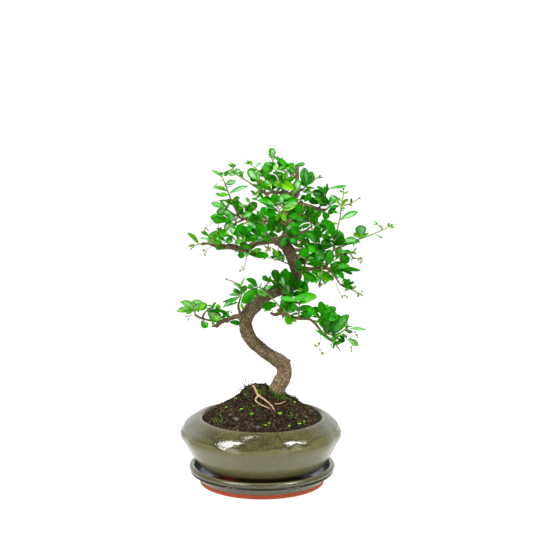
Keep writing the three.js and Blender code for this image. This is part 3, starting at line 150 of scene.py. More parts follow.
# The limbs, drawn as they are seen in that view. A point is: right, up, how far back, radius.
LIMBS = named_rows(4, """
trunk: 12.2 75 0 9.4  12.6 86 0 8  18.2 97 0 7.5  22.4 107.6 0 7.1  19.4 117 0 7.2  7 125.3 -2 6.3
-7.2 136.6 -4 6.1  -14.6 147 -3 6.3  -16.5 157.6 -1 6  -12.9 167.7 1 6.7  -5.5 176.1 3 6.7  3.4 183.4 4 5.9
17 189 4 5  29 194 3 4.8  34.2 204 2 5.2  32.6 216 1 5.4  28.5 226 0 5.6  24 235 0 5.2  25 247 0 4.2
23.5 259 1 3.8  23 269 2 3.4  29 278 2 2.9  34.5 286 2 2.4  35 300 2 1.8  35 314.5 2 1.6
knob: 24 119 -3 3  28.5 119.5 -5 1.6
low_left: -18 163 -1 4.2  -26 163.5 1.2 2.9  -33 161 3.9 2.7  -40 158.5 6.7 2.5  -43.5 156 8.5 2.5
-46 153 10 2.1
low_left_stub: -43.5 155 9 1.8  -50 153.5 8 1.3
low_left_side: -40 158.5 6.7 2  -51 159.5 1.8 1.3  -59 161.2 -1.1 1.2  -63 162.8 -2.6 1.5  -67 165.2 -4.3 1.3
low_left_fork: -59 161 -1.1 1.2  -58.7 165 -.1 1.3  -56.5 168 -.1 .9
low_left_peg: -34.5 161 4.8 1.4  -34.5 157 3.8 1.2
upright_twig: -21 164 .7 1.8  -23.6 173 -6.3 1.5  -23 177 -9 1.2  -21.5 182 -11.3 1
left_main: 21 234 0 4  13 239 -4.4 3.4  4 238 -8.7 3.1  -6 236.5 -13.3 3.2  -13 232.5 -16.4 3.6
-21 231 -19.5 3.5  -32 233.5 -22.4 3.4  -40 232.5 -25.5 2.4  -48 234.5 -27.6 1.7  -54 236.4 -30.2 1.3
-59 236.2 -31.5 1.8  -61 235.8 -32 1.1
left_main_peg: -15 233 -16.9 2.6  -14 227.5 -22.9 2
left_main_twig: -36 234 -23.4 1.4  -43 237 -28.6 1.2  -48 241 -32.4 1.1
cut_stub: 16 240 -1.8 2.6  20.5 244 -4.8 2.2  22.5 245.7 -5.8 1.9
left_shoot: 24 260 1 2.6  6 259 10.8 2.1  -8 260 17.1 1.9  -16 261.5 19.1 1.7  -22 262.5 20.4 1.5
-26 270 22.6 1.3  -30 278 25 1.1
left_shoot_twig: -22 262.5 20.4 1.3  -28 265.5 19.7 1.2  -34.5 270 20.4 1.3
left_shoot_low: -16 261.5 19.1 1.4  -24 258 10.3 1.1  -29 255.5 5.1 1
upper_left: 34 287 2 2.2  23 286.7 -4.7 1.9  10 287.7 -12.3 1.9  4.5 286.5 -15.7 2.2  -3 291.2 -19.5 1.4
-10 295.5 -23 1.1
upper_left_knot: 4.5 286.5 -15.7 2.2  6.5 281 -19.7 1.6
top_stem: 22 287 -5.1 1.5  18 299 3.3 1.3  14.5 306.5 8.9 1.1
top_side: 35 302 2 1.3  29 307 8.5 1  24 311.4 15 .8
apex_knot: 32.5 281 2 2.2  37.5 289.5 5.7 1.9  41.5 290.2 7 1.6
right_upper: 29 277 2 2.6  38 275.5 4.4 3  48 273 7.5 3.1  58 270 10.6 2.2  65 270.8 13 1.2
right_upper_twig: 56 271.5 9.5 1.3  61 277 11.8 1  63.3 282.8 14.5 .9
right_middle: 34 214 1 3.2  42 212 -7.3 2.5  52 211.4 -15.6 2.3  63.5 211.8 -23.6 2.5  68 209.5 -26.2 1.9
74 202 -32.2 1.4  79 194.4 -38 1.2
right_middle_spur: 41.5 212.5 -7.1 1.1  45 219.5 -15.1 .8
trunk_peg: 35.5 209 0 2  39 206 -7.7 1.3  36.3 200.5 -12 1.5
right_brown: 63 212 -23.3 1.6  68.5 220 -18.6 1.3  73 224 -15.2 1  83 225.8 -11.3 .8
right_fork: 68.5 220 -18.6 1.4  70.5 228.5 -15.2 1.3  77 232 -11.3 1.1  81 234 -9.6 .9
middle_right: 27 230 0 3  38 230 15.5 2  49 231.5 26.1 1.7  55.3 239.5 31 1.2
low_right: 23 191 3 3  21.5 182 -7.6 2.5  19.5 174 -14 2.4  19.5 168 -16.7 2.6  26 164.3 -20.9 2.3
37 161.4 -27.2 1.7  47 160.8 -32.1 1.5  53 156.5 -35.2 1.6  59.5 148.5 -40.2 1.4  68 141.2 -45.4 1.1
74 135 -48.9 .9  78.3 129.2 -52 .8
low_right_stub: 19.5 167.5 -16.8 2.3  13 165.5 -21.2 2  8.5 167 -24.8 1.4
low_right_peg: 21 166 -18.4 1.5  20.8 161 -22.4 .9
trunk_twig: 18 190 3 1.9  14 194.5 -6.3 1.3  10.3 197.7 -11 1
back_high: 25 244 0 2.6  31 252 18 2  26 264 39.3 1.5  20 274 56 1.1
back_middle: 32 220 1 2.8  37 225 19.2 2  46 230 39.8 1.5  52 237 58 1.1
front_high: 24 252 0 2.3  18 257 -15.7 1.8  8 255 -34.5 1.4  1 257 -48 1
front_right: 25 240 0 2.3  34 244 -16.8 1.8  43 249 -35.8 1.3  50 254 -50 1
back_left: 22 236 0 2.6  8 244 20.3 1.9  -5 253 40.5 1.4  -14 259 56 1
back_low: 1 183 4 2.2  -4 189 19.7 1.6  -12 192 37.7 1.2  -21 193 52 .9
back_right: 33 212 2 2.6  43 210 19.9 1.9  56 212 38.9 1.4  68 218 56 1
front_top: 25 273 2 1.9  20 277 -13.1 1.5  16 280 -27.6 1.2  12 283 -38 .9
back_top: 34 287 2 1.8  30 294 17.8 1.4  26 302 34 1
""")

# The sprays: how many more leaves stand round the stems and how long they are, each stem's points, and each
# leaf that shows in that view: its foot's right and up, its tip's right, up and how far back, its width.
SPRAYS = spray_parts("""
low_left_tip: 1 9
stem -67 165.5 -4.3  -66.7 170 -4.3  -64 173 -5.3
leaves -67 169.5 -82 178 -10.3 7  -67 168.5 -85.7 168.2 .7 5.5  -65 172 -56 176.5 -11.3 6.5
-66 171.5 -69.5 179 4.7 5  -67 169 -84 171.7 10.7 2
low_left_middle: 2 11
stem -56.7 167.7 -.1  -54 170.2 -1.1  -46 169.8 -3.1  -40 167.5 -4.1
leaves -40 168 -53 168 -9.1 2.5  -43 169 -44.5 176 -1.1 5.5  -53 170 -41.5 160 -11.1 9.5
-54 170.5 -47.5 173.2 5.9 2  -40 167.5 -32 162.5 -8.1 4
low_left_under: 0 9
stem -58.5 160.5 -.9  -58 158 -1.9
leaves -58.5 158.5 -54.5 152.2 -4.9 6
upright: 2 9
stem -21.7 181.5 -11  -20.5 187 -12  -22.5 193.5 -13
leaves -21 183.5 -39.2 172 -18 4.5  -20.5 185.5 -33 184.7 -2 3  -20.5 187 -15.7 194.5 -15 6
-20.5 187 -25.7 188.5 -17 4
front_knot: 2 10
stem 18.5 172.5 -15.5  14.5 177 -19.5  1 190 -21.5  -5 194 -22.5
stem 1 190 -21.5  5 196 -22.5  8 199 -21.5
leaves -5 193.5 -16.2 201 -24.5 5.5  -4.5 193 -14 195 -14.5 4.5  -4 192 -20.5 177 -26.5 10
0 191 4.5 184 -27.5 3  8 199 .3 203.8 -22.5 5.5  15 176 -1 172 -21.5 8  16 174 1.5 168.7 -17.5 2.5
low_right_first: 2 13
stem 22.5 166.5 -19.8  22 171 -23.8  25 175 -26.8
stem 22 171 -23.8  26 166.5 -26.8  29.7 161.5 -27.8
leaves 22 171 34.5 173.5 -31.8 8.5  23 172.5 19 180 -31.8 5  29.7 161.5 25 155.5 -29.8 9
low_right_second: 3 14
stem 37 162 -28.2  37 169 -31.2  37.3 176.5 -34.2
leaves 37 176 54.8 183.5 -39.2 7.5  37 175.5 19 182.5 -37.2 5.5  37 172 50 173 -26.2 4
37 167 50 165.5 -37.2 5  37 168 24.5 177 -24.2 6
low_right_rise: 2 14
stem 54 156 -36.6  58 163 -38.6  61 169.5 -39.6
leaves 60 167.5 58.5 178.7 -35.6 6.5  60 167 74.5 172 -42.6 8  58.5 164 76.5 161.5 -50.6 9
58 163 45 170.5 -43.6 6
low_right_fan: 1 13
stem 61 147 -41.8  66 146 -44.8  70 144.5 -46.8
leaves 66 146 77.5 165.5 -42.8 10  69.5 145 87.5 165.5 -50.8 11  63 146.5 67 160 -56.8 8
low_right_outer: 2 9
stem 68.5 140.7 -45.6  74 145 -48.6  80 148.5 -49.6  84 152 -49.6
stem 69.5 141.4 -46.6  71.5 139 -51.6  70.3 136.5 -52.6
leaves 83 151 104.5 150 -53.6 2.5  80 148.3 71 138 -56.6 3.5  76 146 82.5 138 -47.6 4
82 150 96.5 137 -41.6 5.5  70.5 137 52.5 150.5 -54.6 3  70.5 136.5 79 137 -57.6 4
middle_pair: 1 11
stem 21.5 189 -4.2  22.5 192.5 -12.2  20 196 -13.2  16.5 197 -13.2
leaves 17 196.8 11.5 210.5 -15.2 8.5  21 195 24 212.2 -18.2 11  22.5 192 19 203.5 -23.2 5.5
20 195.5 5.5 188.5 -21.2 4
middle_lobed: 2 12
stem 30 194 -2  32.5 190.5 -10  36 188 -12
leaves 35 188.5 47 191.5 -17 9  33 190 40.5 200 -15 6  36 188 46.5 180 -6 5  32.5 190 22 179.5 -18 6
middle_right_a: 2 12
stem 45.2 220 -15.1  46.5 225 -18.1  45 229.5 -20.1
leaves 46 222.5 37.5 230 -24.1 7.5  45.5 228 53 236 -25.1 7.5  46.3 224 56 225.5 -12.1 5
middle_right_drop: 1 11
stem 40 212 -7.7  40.5 209 -10.7
leaves 40.5 209 54.5 198.5 -18.7 8.5  40 210 33.7 220 -17.7 5.5  40.3 209 32.5 209 -16.7 3
middle_right_b: 2 12
stem 59 212 -21.3  60 216 -24.3  66.5 217.5 -25.3
stem 60 216 -24.3  60 211 -28.3  60.5 205 -28.3  59 200 -28.3
leaves 60.3 216 53.5 230 -31.3 9.5  65.5 217 67.3 230.7 -30.3 8  66.5 217.5 72 226 -25.3 4
60.2 203.5 53.5 196 -30.3 2.5  59.5 201 56.8 193 -28.3 2  59 200 63.5 195.5 -31.3 2
60.5 206 71 201.5 -32.3 4.5
middle_right_long: 2 11
stem 65.5 211.5 -24.6  71 212.5 -25.6  75 211 -26.6
leaves 70 212.5 88 214 -31.6 5.5  73 212 99 209.2 -25.6 4.5  75 211 90.7 205.7 -20.6 2
75 211 82 200.5 -32.6 6
middle_right_round: 1 9
stem 82 225.6 -11.7  90.5 227.7 -11.7
stem 88 227 -11.7  91.5 222.2 -12.7  98 221 -13.7
leaves 84.5 226 80.5 215 -17.7 9  89.5 227.4 81.5 229 -14.7 4
middle_right_end: 2 7
stem 78.8 195 -37.7  83 195.5 -38.7  90 190.7 -38.7  98 186 -39.7
leaves 83.5 195.2 88 201 -40.7 4  82 195.2 83.5 200.5 -35.7 3.5  85 194 92.5 198 -36.7 3
88 192 82.5 188.5 -42.7 3
middle_right_top: 3 13
stem 55 239 30.6  58 247.5 26.6  57.5 254.5 23.6
leaves 57.3 244 54 257.5 13.6 6.5  56.5 242 42.5 248 16.6 5.5  57.5 252 48 264 23.6 7
right_big: 2 12
stem 71.3 229 -14.8  71.7 236 -17.8  71 242.5 -19.8
leaves 71.3 241.5 61 261 -25.8 9  71.7 235 83.5 241 -23.8 8.5  71.5 239 76 250.5 -13.8 4.5
71.7 234 60 237 -25.8 5.5
tall_twig: 1 8
stem 73.5 230.5 -12.8  72.6 237 -9.8  75 250 -6.8  78 262 -5.8  79.3 274 -5.8  81.3 285 -5.8  81.6 289 -5.8
stem 79.3 274 -5.8  88 276.2 -6.8  95.5 280.5 -6.8
leaves 77.5 259.5 96 267.7 -9.8 6  76.3 256 69.5 256 -2.8 2.5  79.3 273.5 74 281 -2.8 3
80 277 87 280.2 -10.8 3  81.4 286 86.3 288.5 -3.8 2  81.5 287.5 77.5 289.5 -8.8 2  79 272 83 271.5 -2.8 2.5
89 276.6 89 282 -8.8 2.5
far_right_shoot: 1 9
stem 80 233.3 -10  94 239.5 -11  110 245.5 -13  128 253.5 -16
stem 119 249.4 -14.4  119.8 252 -15  115.5 255.3 -16
leaves 98 241 98.5 255.5 -18 11.5  97 240.7 91.2 247.2 -7 4  98 241.2 108 245.2 -4 2  94 239.6 82 239.2 -18 5
90 237.6 99.3 238.3 -5 2  127.5 253 132.7 251.8 -17 2.5  126.5 252.8 126.7 257.5 -16 2.5
right_upper_end: 1 9
stem 63.2 282.2 14.1  63.6 285.5 13.1  65.5 289 12.1
leaves 63.4 285 54.5 293.7 11.1 4.5  63.5 285.5 61.7 294 7.1 4  65.3 288.5 84.3 293 15.1 2.5
63.3 283 51 289.5 18.1 6.5  63.3 283 52 281 6.1 4
right_upper_fan: 1 11
stem 64 270.7 12.5  67.5 273.5 8.5  69 277 6.5
stem 65.5 271.8 10.5  62.5 268.5 6.5  59.3 268 5.5
leaves 68.5 276 73.8 284.2 3.5 8.5  68 274.5 60 283.5 -.5 7  67.5 273.5 74 271.5 4.5 3
60.3 268 66.5 261.5 1.5 7  59.3 268.2 50.5 261 1.5 6.5
knot_top: 2 10
stem 41.5 291 7  43.8 293.5 5  56.5 303.2 4
leaves 44 293.5 42.3 312.5 0 9.5  45 294.4 51.5 305 10 7.5  43 292.5 52.7 291.5 0 2.5  43.3 293 36 299 11 4
top_right: 2 9
stem 24.3 311 14.6  17 319 13.6  11.5 323 12.6
leaves 16.5 319 26 312 8.6 7  23.5 311.8 32.5 315.5 8.6 5  19 317 14.3 316.2 18.6 2.5  13 321.8 17 323 8.6 2
top_twig: 2 9
stem 14.8 306 8.5  12.5 314.5 6.5  9.5 322 5.5
leaves 9.7 321.8 8.6 332.2 3.5 4.5  10 321 13.5 331.5 10.5 6  12.7 314 1.5 305.5 1.5 7
12 316 14 309 -1.5 4.5
lime_top: 2 11
stem 19 297 1.8  17.5 298.7 -5.2  14 298.5 -8.2
leaves 17.7 298.6 32.2 290.5 -14.2 8.5  15 298.5 16.5 291.5 -15.2 6  15 298.5 3 296 -14.2 7
light_top: 2 11
stem 29.5 286.7 .1  31 284.2 -8.9  28 282.5 -11.9
leaves 31 284.5 37 300.7 -15.9 8.5  29.5 283.4 19 280.5 -20.9 6
lime_front: 2 11
stem 12.3 282.5 -37.9  15 274 -41.9  20 266.5 -43.9
leaves 18.5 268.5 34 273.7 -49.9 5.5  16 272.5 -4 280 -45.9 5  20 266.5 24 258.5 -49.9 5
15 274 12 279 -49.9 3
front_left_big: 4 13
stem 1.2 256.5 -47.9  -6 258 -53.9  -12 254 -56.9
stem 1.2 256.5 -47.9  -1 264 -53.9
leaves -1 263 4 273 -55.9 8  -4 257.5 -12 266 -57.9 9  -6 258 3 248 -59.9 9  -12 254 -4 246.5 -61.9 7
front_right_big: 7 13
stem 49.5 253.7 -49.9  47 261 -54.9  40 266 -57.9
stem 49.5 253.7 -49.9  50 247 -55.9  44 241 -58.9
leaves 45 262.5 28 263.5 -59.9 6  42 264.5 52 272 -57.9 8  40 266 35 274 -57.9 8  47 261 57 266 -55.9 7
48 244 34 239 -59.9 5  50 248 58 237 -59.9 7  46 242.5 44 232 -62.9 7
front_center: 3 12
stem 25.5 240 -1.3  27 244 -9.3  22 249 -16.3  16 251 -20.3
leaves 26 242.5 21 233 -18.3 8.5  27 243 34.5 235.7 -16.3 4.5  18 250.3 10 260 -24.3 7  22 249 30 255 -24.3 7
left_shoot_tip: 1 8
stem -29.4 276.4 24.4  -32.2 283.5 23.4  -36 293.5 23.4  -38.5 300 23.4  -41 304 23.4
leaves -40.5 303.2 -50.7 309.5 21.4 3  -40 302.4 -40.5 307.7 28.4 2  -37 296 -26.2 297.7 18.4 4.5
-33.2 286.5 -14 294 19.4 4.5  -33.7 288.2 -49.2 292.7 27.4 4.5  -32.7 285 -42.2 286 17.4 4.5
-30.3 278.5 -22 282 17.4 4.5  -30 277.5 -44 279.2 29.4 2
left_fan_upper: 2 10
stem -33.5 269 20  -36.5 272.5 17  -38.5 274 15
leaves -37 273 -51 277 14 5.5  -35 270.5 -46 267.5 11 7  -36 271.5 -33 277 20 3
left_fan_middle: 2 11
stem -23.5 263.5 20.1  -26 261 12.1  -32.5 259.5 9.1
leaves -26 261.2 -39 269.3 6.1 7  -32.2 259.5 -52 263 10.1 7  -30 260 -37.5 250.5 3.1 5.5
left_fan_top: 2 10
stem -20 262.2 19.7  -18.5 266 12.7  -16 269 9.7
leaves -17.5 267.3 -5 277.3 7.7 9  -19 265 -23.5 273.5 14.7 5  -17 268 -17 276 14.7 3
-18 266 -5.5 263.5 4.7 6
left_low_fan: 2 10
stem -28.7 255.2 5.2  -36 250 2.2  -43 250.5 -.8
stem -43 250.5 -.8  -46 246.5 -6.8  -47.5 243 -8.8
leaves -42 250.5 -53.7 241 -3.8 6.5  -38 250.3 -43 243.5 -7.8 6  -32 252.7 -21.5 244 -4.8 8
-45 248.5 -35.5 247 -12.8 5  -47 244.5 -42 240 -13.8 4.5
left_tip: 2 9
stem -60.5 236 -31.9  -63.5 235.8 -32.9  -69.5 233.7 -33.9
leaves -63.2 236 -75.2 247.1 -34.9 4.5
left_knot: 2 9
stem -54.5 236.3 -30.3  -51 240 -34.3  -47.5 239.5 -37.3
stem -51 240 -34.3  -53 245 -34.3
leaves -51 240 -62.2 241.7 -36.3 2.5  -48 239.5 -40 236.5 -42.3 4.5  -47.5 239.5 -45 247 -38.3 4
left_main_peg: 1 10
stem -14.5 227.5 -22.8  -11.5 227.3 -25.8
stem -13 227.4 -24.3  -18.5 228 -27.8  -21.5 229 -27.8
leaves -12 227.3 6.6 225 -29.8 7  -11.5 227.3 0 230.5 -19.8 4  -21.5 229 -20.5 221.5 -29.8 7.5
left_main_top: 4 11
stem -26 232.5 -20.8  -25 239 -24.8  -21 245 -27.8
stem -25 239 -24.8  -32 244 -25.8
leaves -24.7 239 -11.5 232 -31.8 6.5  -21.5 244 -24 254 -30.8 8  -31 243.3 -34 236.5 -32.8 6
left_main_inner: 3 11
stem -4 237 -12.8  -5.5 242 -17.8  -4 247.5 -19.8
stem -5.5 242 -17.8  0 243.5 -21.8
leaves -5 241 -13 245 -22.8 5  0 243.5 9 239.5 -25.8 5  -4 247 6 251 -20.8 7
flower_twig: 1 8
stem 29.5 215.7 -.5  23.5 217.2 -3  18 219.5 -8  6 222.7 -10
leaves 17.5 219.7 9.5 232.5 -12 3.5  19.5 219 10.5 229 -5 5.5  21 218.2 22 226.5 -12 4
back_high_fan: 6 13
stem 20.3 273 55.8  14 280 59.8  10 290 59.8
stem 20.3 273 55.8  28 278 63.8  36 284 65.8
back_middle_fan: 6 13
stem 51.7 236.7 56.7  58 244 63.7  64 252 65.7
stem 51.7 236.7 56.7  56 234 65.7  62 230 69.7
back_left_fan: 6 13
stem -13.6 258.7 54.8  -22 266 59.8  -26 274 59.8
stem -13.6 258.7 54.8  -22 254 63.8  -30 250 67.8
back_low_fan: 4 13
stem -20.6 192.9 51.9  -28 198 55.9  -34 200 55.9
stem -20.6 192.9 51.9  -22 186 59.9  -26 180 61.9
back_right_fan: 5 13
stem 67.6 217.8 55.9  76 222 61.9  82 228 63.9
stem 67.6 217.8 55.9  70 212 63.9  74 204 65.9
back_top_fan: 4 12
stem 26.2 301.6 33.9  24 308 39.9  18 312 41.9
stem 26.2 301.6 33.9  32 306 41.9
upper_left_tip: 2 8
stem -9.5 295.2 -22.8  -18.5 301.5 -22.8  -26 306 -21.8  -29.2 313 -21.8
leaves -26 306 -33 309.5 -16.8 4.5  -26.5 307.5 -21.5 310.5 -27.8 6  -22.5 304 -18 308.5 -25.8 2.5
-29.2 312.5 -33.2 314.8 -23.8 1.8  -29.2 312.8 -25.7 315 -22.8 1.8
upper_left_second: 2 9
stem 3.5 287.5 -16.3  2 296 -19.3  3 302 -20.3  -6 311.5 -20.3  -12.2 316 -20.3
leaves -5 310.5 -15 307.5 -25.3 6.5  -7.5 312.5 -1.5 317.5 -16.3 1.8  -12.2 316 -18 316.7 -21.3 1.8
-12.1 315.8 -11.5 319.5 -20.3 2  -2 307 -6.5 300 -26.3 6
upper_left_mass: 4 10
stem -3 291.5 -19.6  -3 296 -25.6  -6 300 -28.6
stem -3 296 -25.6  4 300 -29.6
leaves -5 298.5 -12 304 -30.6 6  3 299.5 9 305.5 -32.6 6  -3 295 1 290.5 -34.6 7
""")

